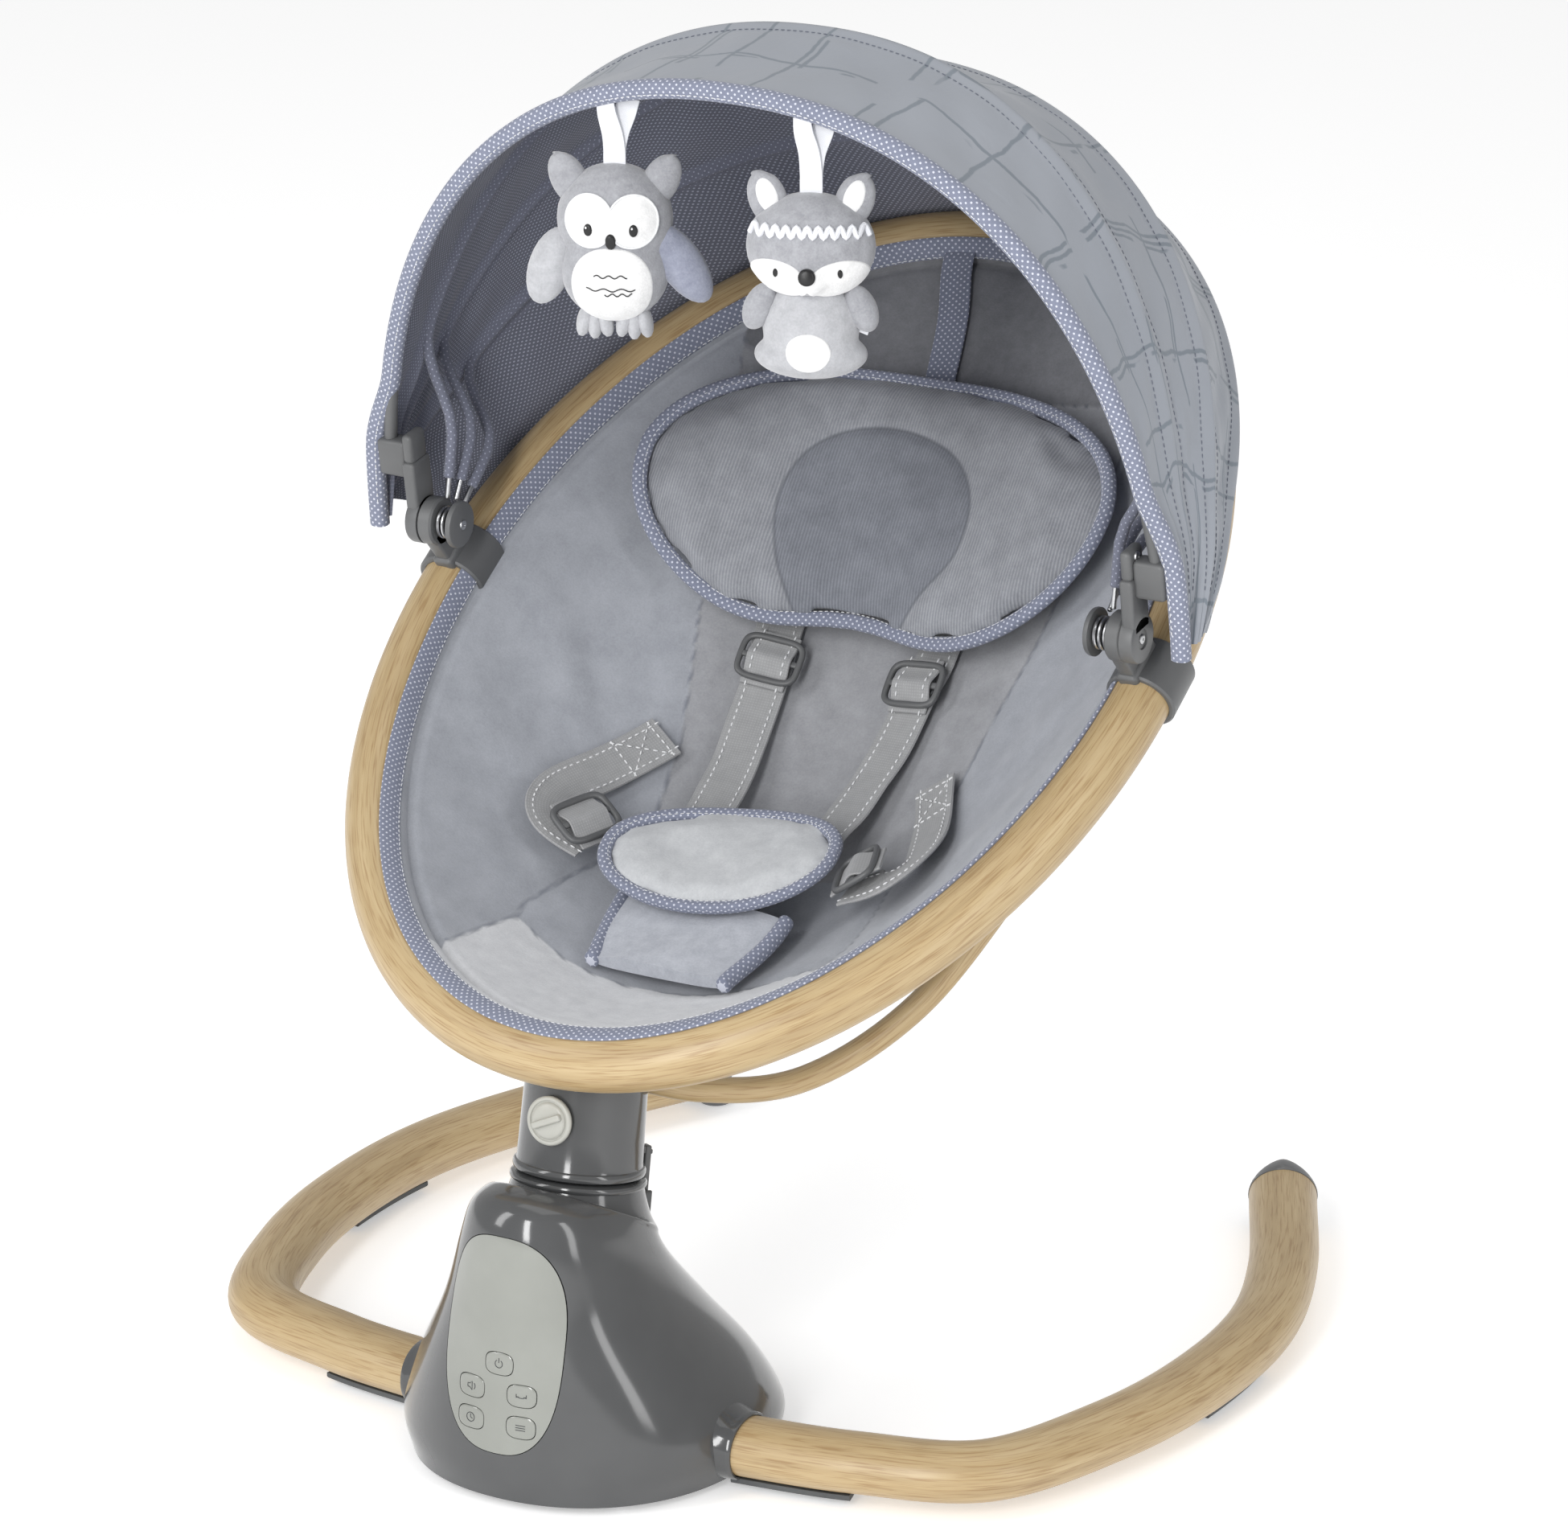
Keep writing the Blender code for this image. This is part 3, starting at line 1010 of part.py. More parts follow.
def build_clamps():
    """Collars round the hoop with an ear and the canopy's pivot pin."""
    u = HOOP_HALF_WIDTH * math.sqrt(1 - (CLAMP_V / (HOOP_LENGTH / 2)) ** 2)
    for word, side in SIDES.items():
        centre = on_hoop_plane(side * u, CLAMP_V)
        outer = HOOP_TUBE_RADIUS + CLAMP_WALL
        half = CLAMP_LENGTH / 2
        profile = [(0, half), (outer, half), (outer, -half), (0, -half)]
        clamp = turned(f"canopy_clamp_{word}", profile, frame_matrix(centre, SLOPE, (0, 0, 1)), GREY, steps=24)
        ear_mid = side * (EAR_X[0] + EAR_X[1]) / 2
        width = EAR_X[1] - EAR_X[0]
        foot = Vector((ear_mid, centre.y, centre.z))
        tip = HUB + Vector((ear_mid, 0, 0))
        reach = (tip - foot).length
        ear = block(f"clamp_ear_{word}", (width, 0.022, reach),
                    frame_matrix((foot + tip) / 2, tip - foot, (0, 1, 0)), None, CUTTERS, bevel=0.001, segments=1)
        boolean(clamp, ear, 'UNION')
        boss = [(0, width / 2), (HUB_RADIUS, width / 2), (HUB_RADIUS, -width / 2), (0, -width / 2)]
        boolean(clamp, turned(f"clamp_boss_{word}", boss, frame_matrix(tip, (side, 0, 0)), None, CUTTERS, steps=20),
                'UNION')
        inner_end = EYELET_X[-1] - EYELET_THICKNESS - 0.0014
        pin = [(0, ARM_X[0] + 0.0055), (PIN_RADIUS, ARM_X[0] + 0.0055), (PIN_RADIUS, inner_end + 0.0012),
               (PIN_RADIUS + 0.002, inner_end + 0.0010), (PIN_RADIUS + 0.002, inner_end), (0, inner_end)]
        boolean(clamp, turned(f"canopy_pin_{word}", pin, frame_matrix(HUB, (side, 0, 0)), None, CUTTERS, steps=12),
                'UNION')
        boolean(clamp, hoop_tube(f"clamp_bore_{word}", GAP, CUTTERS))
        boolean(clamp, bowl_solid(f"clamp_sling_room_{word}", 0.0005, CUTTERS))


def gore_rings(number):
    """Cloth between two neighbouring bows, outside their tubes; the last one ends on the hoop's head."""
    lift = (FRONT_BOW_RADIUS if number == 0 else RIB_RADIUS) + GAP + 0.0007
    far_lift = RIB_RADIUS + GAP + 0.0007
    shares = (0.0, 0.35, 0.65, 1.0)
    start = math.radians(CANOPY_ANGLES[number]) + (0.010 if number == 0 else -0.0015)
    rings = []
    for share in shares:
        ring = []
        for i in range(25):
            phi = GORE_START + (math.pi - 2 * GORE_START) * i / 24
            x0, r0, _ = arch_point(number, phi, grow=lift)
            near = Vector((x0, r0 * math.cos(start), r0 * math.sin(start)))
            if number < 3:
                x1, r1, _ = arch_point(number + 1, phi, grow=far_lift)
                end = math.radians(CANOPY_ANGLES[number + 1]) + 0.0015
                far = Vector((x1, r1 * math.cos(end), r1 * math.sin(end)))
            else:
                far = hoop_outside(phi) - HUB
            across = near.lerp(far, share)
            long = near.length + (far.length - near.length) * share
            sag = CLOTH_SAG * 4 * share * (1 - share) * math.sin(phi)
            ring.append(HUB + across.normalized() * (long - sag))
        rings.append(ring)
    return rings


def hoop_outside(phi):
    """The hoop's outer side, from beside the right clamp round the head to the left clamp."""
    share = (phi - GORE_START) / (math.pi - 2 * GORE_START)
    angle = HOOP_EDGE_START + (math.pi - 2 * HOOP_EDGE_START) * share
    centre = hoop_point(angle)
    out = (centre - HOOP_CENTRE).normalized()
    return centre + out * (HOOP_TUBE_RADIUS + 0.0012) + HOOP_NORMAL * 0.004


def cut_ribbon_rooms(gore):
    """Notches in the front edge, where the toys' ribbons go round the bow."""
    radius = FRONT_BOW_RADIUS + LOOP_CLEARANCE + RIBBON_THICKNESS + 2 * GAP
    half = RIBBON_WIDTH / 2 + 3 * GAP
    for name, x in TOY_X.items():
        profile = [(0, half), (radius, half), (radius, -half), (0, -half)]
        boolean(gore, turned(f"{name}_room", profile, frame_matrix(front_bow_at(x), (1, 0, 0)), None, CUTTERS, steps=12))


def build_gores():
    for number in range(4):
        gore = loft(f"canopy_gore_{number + 1}", gore_rings(number), PARTS, CANOPY, closed=False, caps=False)
        cloth = gore.modifiers.new("cloth", 'SOLIDIFY')
        cloth.thickness = FABRIC_THICKNESS
        cloth.offset = 1.0
        if number == 0:
            cut_ribbon_rooms(gore)


# ---------------------------------------------------------------- toys
def front_bow_at(x):
    """The front bow's centre at a place across it."""
    share = (abs(x) / CANOPY_HALF_WIDTHS[0]) ** CANOPY_ROUNDNESS
    r = CANOPY_RADII[0] * (1 - share) ** (1 / CANOPY_ROUNDNESS)
    angle = math.radians(CANOPY_ANGLES[0])
    return HUB + Vector((x, r * math.cos(angle), r * math.sin(angle)))


def toy(name, bodies, material):
    """Joins round bodies, given as (radii, place below the bow), and a ribbon with a loop."""
    top = front_bow_at(TOY_X[name])
    first = None
    for number, (radii, offset, turn) in enumerate(bodies):
        matrix = Matrix.Translation(top + Vector(offset)) @ Matrix.Rotation(math.radians(turn), 4, 'Y')
        if first is None:
            first = ball(name, radii, matrix, material)
        else:
            boolean(first, ball(f"{name}_lobe_{number}", radii, matrix, None, CUTTERS, 8), 'UNION')
    inner = FRONT_BOW_RADIUS + LOOP_CLEARANCE
    outer, half = inner + RIBBON_THICKNESS, RIBBON_WIDTH / 2
    loop = turned(f"{name}_loop", [(outer, half), (outer, -half), (inner, -half), (inner, half)],
                  frame_matrix(top, (1, 0, 0)), None, CUTTERS, steps=16)
    boolean(first, loop, 'UNION')
    length = RIBBON_LENGTH[name] - inner + 0.008
    tail = block(f"{name}_ribbon", (RIBBON_WIDTH - 0.0004, RIBBON_THICKNESS, length),
                 Matrix.Translation(top - Vector((0, 0, inner + 0.0003 + length / 2))), None, CUTTERS)
    boolean(first, tail, 'UNION')
    return first


def build_toys():
    drop = -RIBBON_LENGTH["toy_owl"]
    owl = [((0.031, 0.020, 0.029), (0, 0, drop - 0.026), 0),
           ((0.030, 0.021, 0.026), (0, -0.001, drop - 0.050), 0),
           ((0.011, 0.007, 0.020), (-0.036, 0, drop - 0.050), 20), ((0.011, 0.007, 0.022), (0.038, 0, drop - 0.046), -35),
           ((0.008, 0.005, 0.014), (-0.026, 0, drop - 0.006), -30), ((0.008, 0.005, 0.014), (0.026, 0, drop - 0.006), 30),
           ((0.010, 0.008, 0.010), (-0.010, 0, drop - 0.074), 0), ((0.010, 0.008, 0.010), (0.010, 0, drop - 0.074), 0)]
    toy("toy_owl", owl, PLUSH)
    drop = -RIBBON_LENGTH["toy_fox"]
    fox = [((0.034, 0.021, 0.026), (0, -0.001, drop - 0.026), 0),
           ((0.026, 0.019, 0.024), (0, 0, drop - 0.064), 0),
           ((0.008, 0.006, 0.012), (-0.026, 0, drop - 0.052), 25), ((0.008, 0.006, 0.012), (0.026, 0, drop - 0.052), -25),
           ((0.009, 0.005, 0.014), (-0.023, 0, drop - 0.004), -25), ((0.009, 0.005, 0.014), (0.023, 0, drop - 0.004), 25)]
    toy("toy_fox", fox, PLUSH)


build_housing()
build_panel()
build_latch()
build_bottom_cover()
build_carrier()
build_drive()
build_electrics()
build_legs()
build_feet()
build_column()
build_seat_frame()
build_soft_seat()
build_ribs()
build_front_bow()
build_arms()
build_clamps()
build_gores()
build_toys()
bpy.context.view_layer.update()
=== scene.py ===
import math

import bmesh
import bpy
import numpy as np
from mathutils import Matrix, Vector
from mathutils.bvhtree import BVHTree


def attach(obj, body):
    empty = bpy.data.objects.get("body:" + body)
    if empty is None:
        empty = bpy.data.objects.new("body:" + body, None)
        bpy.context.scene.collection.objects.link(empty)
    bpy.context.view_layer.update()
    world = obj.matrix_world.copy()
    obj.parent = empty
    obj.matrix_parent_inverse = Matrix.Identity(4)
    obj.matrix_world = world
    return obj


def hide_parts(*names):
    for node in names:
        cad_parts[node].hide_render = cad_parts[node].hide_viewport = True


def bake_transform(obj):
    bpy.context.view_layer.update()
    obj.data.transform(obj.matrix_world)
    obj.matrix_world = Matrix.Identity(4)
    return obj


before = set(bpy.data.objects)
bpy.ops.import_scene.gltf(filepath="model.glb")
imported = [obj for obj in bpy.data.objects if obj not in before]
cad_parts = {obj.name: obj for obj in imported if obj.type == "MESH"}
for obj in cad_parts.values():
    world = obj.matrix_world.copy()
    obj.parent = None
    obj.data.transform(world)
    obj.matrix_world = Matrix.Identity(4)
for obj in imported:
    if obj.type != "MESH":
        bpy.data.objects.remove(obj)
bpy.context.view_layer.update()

# Electric baby swing. Metres, +Z up, foot end towards -Y, X = 0 is the plane of symmetry.
MM = 0.001
SIDES = {"right": 1, "left": -1}

# ---------- sizes, as in the CAD
CENTRE_Y = 0.0196086             # what the CAD moved the whole object back by
GAP = 0.0003
HOOP_TILT = math.radians(32.0)
HOOP_LENGTH = 0.5573
HOOP_HALF_WIDTH = 0.198
HOOP_TUBE_RADIUS = 0.0152
HOOP_CENTRE = Vector((0.0, 0.02010, 0.36296))
SLOPE = Vector((0.0, math.cos(HOOP_TILT), math.sin(HOOP_TILT)))
HOOP_NORMAL = Vector((0.0, -math.sin(HOOP_TILT), math.cos(HOOP_TILT)))
BOWL_DEPTH = 0.080
BOWL_SKEW = 0.75
BOWL_HALF_U = 0.1786
BOWL_HALF_V = 0.2593
BOWL_THICKNESS = 0.004
SLOPE_STEP = 0.004               # half the span over which the bowl's slope is taken

AXIS_LEAN = math.radians(10.4)
AXIS = Vector((0.0, math.sin(AXIS_LEAN), math.cos(AXIS_LEAN)))
AXIS_BACK = Vector((0.0, math.cos(AXIS_LEAN), -math.sin(AXIS_LEAN)))
SEAM = Vector((0.0, -0.190309, 0.1465))
COLUMN_RADIUS = 0.0310
KNOB_HEIGHT = 0.030
NECK_RADIUS = 0.0365
LATCH_TURN = math.radians(58.0)
LATCH_RADIUS = 0.0362

# Tilted ring sections of the housing: front y, front z, rear y, rear z, half width, in the CAD's own origin
HOUSING_SECTIONS = [
    (-0.2500, 0.0040, -0.0620, 0.0040, 0.0870),
    (-0.2520, 0.0240, -0.0640, 0.0180, 0.0910),
    (-0.2500, 0.0600, -0.0760, 0.0400, 0.0785),
    (-0.2465, 0.1000, -0.0940, 0.0620, 0.0590),
    (-0.2430, 0.1350, -0.1120, 0.0810, 0.0470),
    (-0.2360, 0.1500, -0.1240, 0.0920, 0.0430),
    (-0.2225, 0.1540, -0.1330, 0.1020, 0.0405),
    (-0.2125, 0.1515, -0.1350, 0.1070, 0.0392),
]
HOUSING_POWER = 2.15
HOUSING_STEPS = 112
PANEL_CENTRE = (0.0, 0.083)
PANEL_HALF = (0.0325, 0.0545)
KEY_HALF = (0.0075, 0.0055)
KEYS = {
    "power": (0.0015, 0.0745),
    "sound": (-0.0140, 0.0600),
    "swing": (0.0140, 0.0600),
    "timer": (-0.0140, 0.0440),
    "mode": (0.0140, 0.0440),
}

LEG_ROUTE = [(0.0640, -0.1715), (0.0911, -0.1695), (0.1480, -0.1606), (0.2081, -0.1376), (0.2384, -0.0678),
             (0.2507, 0.0045), (0.2476, 0.0825), (0.2240, 0.1590), (0.1815, 0.2480)]
LEG_HALF_WIDTH = 0.0180
LEG_HALF_HEIGHT = 0.01455
LEG_CENTRE_Z = 0.0206
CAP_LENGTH = 0.030
PAD_SHARES = {"front": (0.09, 0.28, 0.009), "rear": (0.60, 0.76, 0.008)}
BOW_ROUTE = [(0.0, -0.1500, 0.1940), (0.045, -0.1330, 0.1850), (0.0850, -0.0970, 0.1860),
             (0.1300, -0.0650, 0.2220),
             (0.1680, -0.0320, 0.2850)]
BOW_RADIUS = 0.0065
BOW_END_V = -0.030

CLAMP_V = 0.008
HUB = Vector((0.0, -0.001616, 0.398001))
HUB_RADIUS = 0.0125
EAR_X = (0.1918, 0.2000)
ARM_X = (0.2003, 0.2075)
EYELET_X = (0.1912, 0.1884, 0.1856)
EYELET_THICKNESS = 0.0022
ARM_SOCKET_R = 0.028
CANOPY_ANGLES = (99.6, 80.0, 62.0, 43.0)
CANOPY_RADII = (0.2580, 0.2700, 0.2680, 0.2660)
CANOPY_HALF_WIDTHS = (0.2195, 0.2200, 0.2290, 0.2290)
CANOPY_ROUNDNESS = 2.2
FRONT_BOW_RADIUS = 0.0035
RIB_RADIUS = 0.0018
CLOTH_SAG = 0.006
GORE_START = math.radians(14.0)
HOOP_EDGE_START = math.radians(16.0)

WEB_WIDTH = 0.025
WEB_THICKNESS = 0.0016
PILLOW_CENTRE_V = 0.103
PILLOW_HALF = (0.135, 0.073)
SHOULDER_STOPS = [(0.046, 0.085, 0.0040), (0.046, 0.046, 0.0050), (0.0435, 0.024, 0.0060),
                  (0.041, -0.010, 0.0080),
                  (0.038, -0.035, 0.0110), (0.036, -0.058, 0.0150), (0.034, -0.074, 0.0190)]
WAIST_STOPS = [(0.078, -0.030, 0.0050), (0.094, -0.064, 0.0080), (0.1035, -0.092, 0.0125),
               (0.096, -0.113, 0.0185),
               (0.074, -0.118, 0.0205)]
CROTCH_STOPS = [(0.0, -0.187, 0.0130), (0.0, -0.176, 0.0165), (0.0, -0.158, 0.0205), (0.0, -0.136, 0.0250)]
BUCKLE_V = -0.111
BUCKLE_PAD_HALF = (0.062, 0.037)
BUCKLE_PAD_TURN = math.radians(11.0)
BUCKLE_PAD_LIFT = 0.0320
TOY_X = {"owl": -0.063, "fox": 0.047}
RIBBON_LENGTH = {"owl": 0.036, "fox": 0.039}
RIBBON_WIDTH = 0.011


# ---------- nodes and colours
def colour(code):
    """sRGB hex to linear values."""
    parts = [int(code[i:i + 2], 16) / 255 for i in (0, 2, 4)]
    return (*[v / 12.92 if v <= 0.04045 else ((v + 0.055) / 1.055) ** 2.4 for v in parts], 1.0)


def add(tree, kind, sockets=None, **settings):
    """Adds a node; sockets maps an input's name or number to a value or to another node's output."""
    node = tree.nodes.new(kind)
    for name, value in settings.items():
        setattr(node, name, value)
    for socket, value in (sockets or {}).items():
        if isinstance(value, bpy.types.NodeSocket):
            tree.links.new(value, node.inputs[socket])
        else:
            node.inputs[socket].default_value = value
    return node


def start_material(name, sockets):
    """An empty material whose shader has these constant values."""
    material = bpy.data.materials.new(name)
    material.use_nodes = True
    shader = material.node_tree.nodes["Principled BSDF"]
    for socket, value in sockets.items():
        shader.inputs[socket].default_value = value
    return material, material.node_tree, shader


def moulded_plastic(name, low, high, roughness, grain, bump, coat=0.0):
    """Injection-moulded plastic: an even colour with faint flow clouds and the mould's fine spark texture."""
    material, tree, shader = start_material(name, {"Roughness": roughness, "IOR": 1.5, "Coat Weight": coat,
                                                   "Coat Roughness": 0.08})
    place = add(tree, "ShaderNodeTexCoord").outputs["Object"]
    clouds = add(tree, "ShaderNodeTexNoise", {"Vector": place, "Scale": 22.0, "Detail": 3.0})
    shade = add(tree, "ShaderNodeValToRGB", {"Fac": clouds.outputs["Fac"]})
    shade.color_ramp.elements[0].color = colour(low)
    shade.color_ramp.elements[1].color = colour(high)
    shade.color_ramp.elements[0].position = 0.35
    shade.color_ramp.elements[1].position = 0.65
    tree.links.new(shade.outputs["Color"], shader.inputs["Base Color"])
    spark = add(tree, "ShaderNodeTexNoise", {"Vector": place, "Scale": 1.0 / (grain * MM), "Detail": 2.0})
    relief = add(tree, "ShaderNodeBump",
                 {"Height": spark.outputs["Fac"], "Strength": bump, "Distance": 0.1 * MM})
    tree.links.new(relief.outputs["Normal"], shader.inputs["Normal"])
    return material


def oak_print():
    """Aluminium tube with a heat-transferred oak film: lengthwise grain, dark pores, satin clear layer."""
    material, tree, shader = start_material("oak_film_on_tube", {"Roughness": 0.42, "Coat Weight": 0.25,
                                                                 "Coat Roughness": 0.28})
    flow = add(tree, "ShaderNodeUVMap", uv_map="metres").outputs[0]
    growth = add(tree, "ShaderNodeMapping", {"Vector": flow, "Scale": (9.0, 150.0, 1.0)}).outputs[0]
    bands = add(tree, "ShaderNodeTexNoise",
                {"Vector": growth, "Scale": 1.0, "Detail": 4.0, "Distortion": 0.8})
    wood = add(tree, "ShaderNodeValToRGB", {"Fac": bands.outputs["Fac"]})
    ramp = wood.color_ramp
    ramp.elements[0].position = 0.30
    ramp.elements[0].color = colour("AB936C")
    ramp.elements[1].position = 0.72
    ramp.elements[1].color = colour("C0AA82")
    middle = ramp.elements.new(0.48)
    middle.color = colour("B59D74")
    thin = add(tree, "ShaderNodeMapping", {"Vector": flow, "Scale": (45.0, 1100.0, 1.0)}).outputs[0]
    pores = add(tree, "ShaderNodeTexNoise", {"Vector": thin, "Scale": 1.0, "Detail": 2.0})
    marks = add(tree, "ShaderNodeValToRGB", {"Fac": pores.outputs["Fac"]})
    marks.color_ramp.elements[0].position = 0.34
    marks.color_ramp.elements[0].color = colour("C9B294")
    marks.color_ramp.elements[1].position = 0.50
    marks.color_ramp.elements[1].color = colour("FFFFFF")
    grain = add(tree, "ShaderNodeMix", {0: 0.6, 6: wood.outputs["Color"], 7: marks.outputs["Color"]},
                data_type='RGBA', blend_type='MULTIPLY').outputs[2]
    tree.links.new(grain, shader.inputs["Base Color"])
    relief = add(tree, "ShaderNodeBump",
                 {"Height": pores.outputs["Fac"], "Strength": 0.08, "Distance": 0.1 * MM})
    tree.links.new(relief.outputs["Normal"], shader.inputs["Normal"])
    return material


def pile_base(tree, place, low, high, patch_mm=16.0):
    """The uneven lie of a short pile: light and dark clouds with fibre specks."""
    clouds = add(tree, "ShaderNodeTexNoise", {"Vector": place, "Scale": 1 / (patch_mm * MM), "Detail": 5.0,
                                              "Roughness": 0.65})
    specks = add(tree, "ShaderNodeTexNoise", {"Vector": place, "Scale": 900.0, "Detail": 2.0})
    both = add(tree, "ShaderNodeMath", {0: specks.outputs["Fac"], 1: 0.5, 2: clouds.outputs["Fac"]},
               operation='MULTIPLY_ADD').outputs[0]
    spread = add(tree, "ShaderNodeMapRange", {"Value": both, "From Min": 0.5, "From Max": 1.0}).outputs[0]
    base = add(tree, "ShaderNodeMix", {0: spread, 6: colour(low), 7: colour(high)},
               data_type='RGBA').outputs[2]
    return base, specks.outputs["Fac"]


def velour(name, low, high, sheen=0.35, patch_mm=16.0, fibre=0.25):
    """Knitted polyester velour: a short soft pile with a pale bloom at grazing angles."""
    material, tree, shader = start_material(name, {"Roughness": 0.92, "Sheen Weight": sheen,
                                                   "Sheen Roughness": 0.5,
                                                   "Specular IOR Level": 0.2})
    place = add(tree, "ShaderNodeTexCoord").outputs["Object"]
    base, specks = pile_base(tree, place, low, high, patch_mm)
    tree.links.new(base, shader.inputs["Base Color"])
    relief = add(tree, "ShaderNodeBump", {"Height": specks, "Strength": fibre, "Distance": 0.4 * MM})
    tree.links.new(relief.outputs["Normal"], shader.inputs["Normal"])
    return material


def seat_velour():
    """The sling's velour panels: blue-grey sides, a greyer back, a pale foot panel, dark puckered seams, and
    a head end painted darker as shade under the canopy.
    """
    material, tree, shader = start_material("sewn_velour_panels", {
        "Roughness": 0.92, "Sheen Weight": 0.35, "Sheen Roughness": 0.5, "Specular IOR Level": 0.2})
    place = add(tree, "ShaderNodeTexCoord").outputs["Object"]
    side, specks = pile_base(tree, place, "979AA1", "ABAEB5", 20.0)
    back, _ = pile_base(tree, place, "8F9094", "A2A3A7", 14.0)
    foot, _ = pile_base(tree, place, "C6C7CA", "DADBDD", 10.0)
    # painted shade: the head end under the canopy gets a darker grey than the velour beside it
    head, _ = pile_base(tree, place, "737478", "848589", 8.0)
    shade = side
    for name, panel, width in (("back", back, 0.6), ("foot", foot, 0.6), ("head", head, 1.0)):
        reading = add(tree, "ShaderNodeAttribute", attribute_name=name).outputs["Fac"]
        edge = add(tree, "ShaderNodeMapRange",
                   {"Value": reading, "From Min": -width * MM, "From Max": width * MM})
        shade = add(tree, "ShaderNodeMix", {0: edge.outputs[0], 6: shade, 7: panel},
                    data_type='RGBA').outputs[2]
    reading = add(tree, "ShaderNodeAttribute", attribute_name="seam").outputs["Fac"]
    stitched = add(tree, "ShaderNodeMapRange", {"Value": reading, "From Min": 0.4 * MM, "From Max": 1.8 * MM,
                                                "To Min": 0.55, "To Max": 0.0}).outputs[0]
    shade = add(tree, "ShaderNodeMix", {0: stitched, 6: shade, 7: colour("5B606C")},
                data_type='RGBA').outputs[2]
    tree.links.new(shade, shader.inputs["Base Color"])
    relief = add(tree, "ShaderNodeBump", {"Height": specks, "Strength": 0.25, "Distance": 0.4 * MM})
    tree.links.new(relief.outputs["Normal"], shader.inputs["Normal"])
    return material


def rib_knit():
    """Fine rib knit on the head pillow, 1.7 mm from rib to rib, with a darker panel in its middle."""
    material, tree, shader = start_material("fine_rib_knit", {"Roughness": 0.9, "Sheen Weight": 0.25,
                                                              "Specular IOR Level": 0.2})
    flat = add(tree, "ShaderNodeUVMap", uv_map="metres").outputs[0]
    place = add(tree, "ShaderNodeTexCoord").outputs["Object"]
    ribs = add(tree, "ShaderNodeTexWave",
               {"Vector": flat, "Scale": 2 * math.pi / (20 * 1.7 * MM), "Distortion": 0.6,
                                           "Detail": 2.0, "Detail Scale": 0.4})
    base, specks = pile_base(tree, place, "8E9095", "A5A7AC", 12.0)
    reading = add(tree, "ShaderNodeAttribute", attribute_name="teardrop").outputs["Fac"]
    inside = add(tree, "ShaderNodeMapRange",
                 {"Value": reading, "From Min": -0.5 * MM, "From Max": 0.5 * MM}).outputs[0]
    away = add(tree, "ShaderNodeMath", {0: reading}, operation='ABSOLUTE').outputs[0]
    line = add(tree, "ShaderNodeMapRange", {"Value": away, "From Min": 0.3 * MM, "From Max": 1.4 * MM,
                                            "To Min": 0.5, "To Max": 0.0}).outputs[0]
    shade = add(tree, "ShaderNodeMix", {0: inside, 6: base, 7: colour("DADCE0")}, data_type='RGBA',
                blend_type='MULTIPLY').outputs[2]
    striped = add(tree, "ShaderNodeMix", {0: ribs.outputs["Fac"], 6: colour("DDDEE1"), 7: colour("FFFFFF")},
                  data_type='RGBA').outputs[2]
    shade = add(tree, "ShaderNodeMix", {0: 1.0, 6: shade, 7: striped}, data_type='RGBA',
                blend_type='MULTIPLY').outputs[2]
    shade = add(tree, "ShaderNodeMix", {0: line, 6: shade, 7: colour("55585F")}, data_type='RGBA').outputs[2]
    tree.links.new(shade, shader.inputs["Base Color"])
    height = add(tree, "ShaderNodeMath", {0: specks, 1: 0.3, 2: ribs.outputs["Fac"]},
                 operation='MULTIPLY_ADD').outputs[0]
    relief = add(tree, "ShaderNodeBump", {"Height": height, "Strength": 0.5, "Distance": 0.3 * MM})
    tree.links.new(relief.outputs["Normal"], shader.inputs["Normal"])
    return material


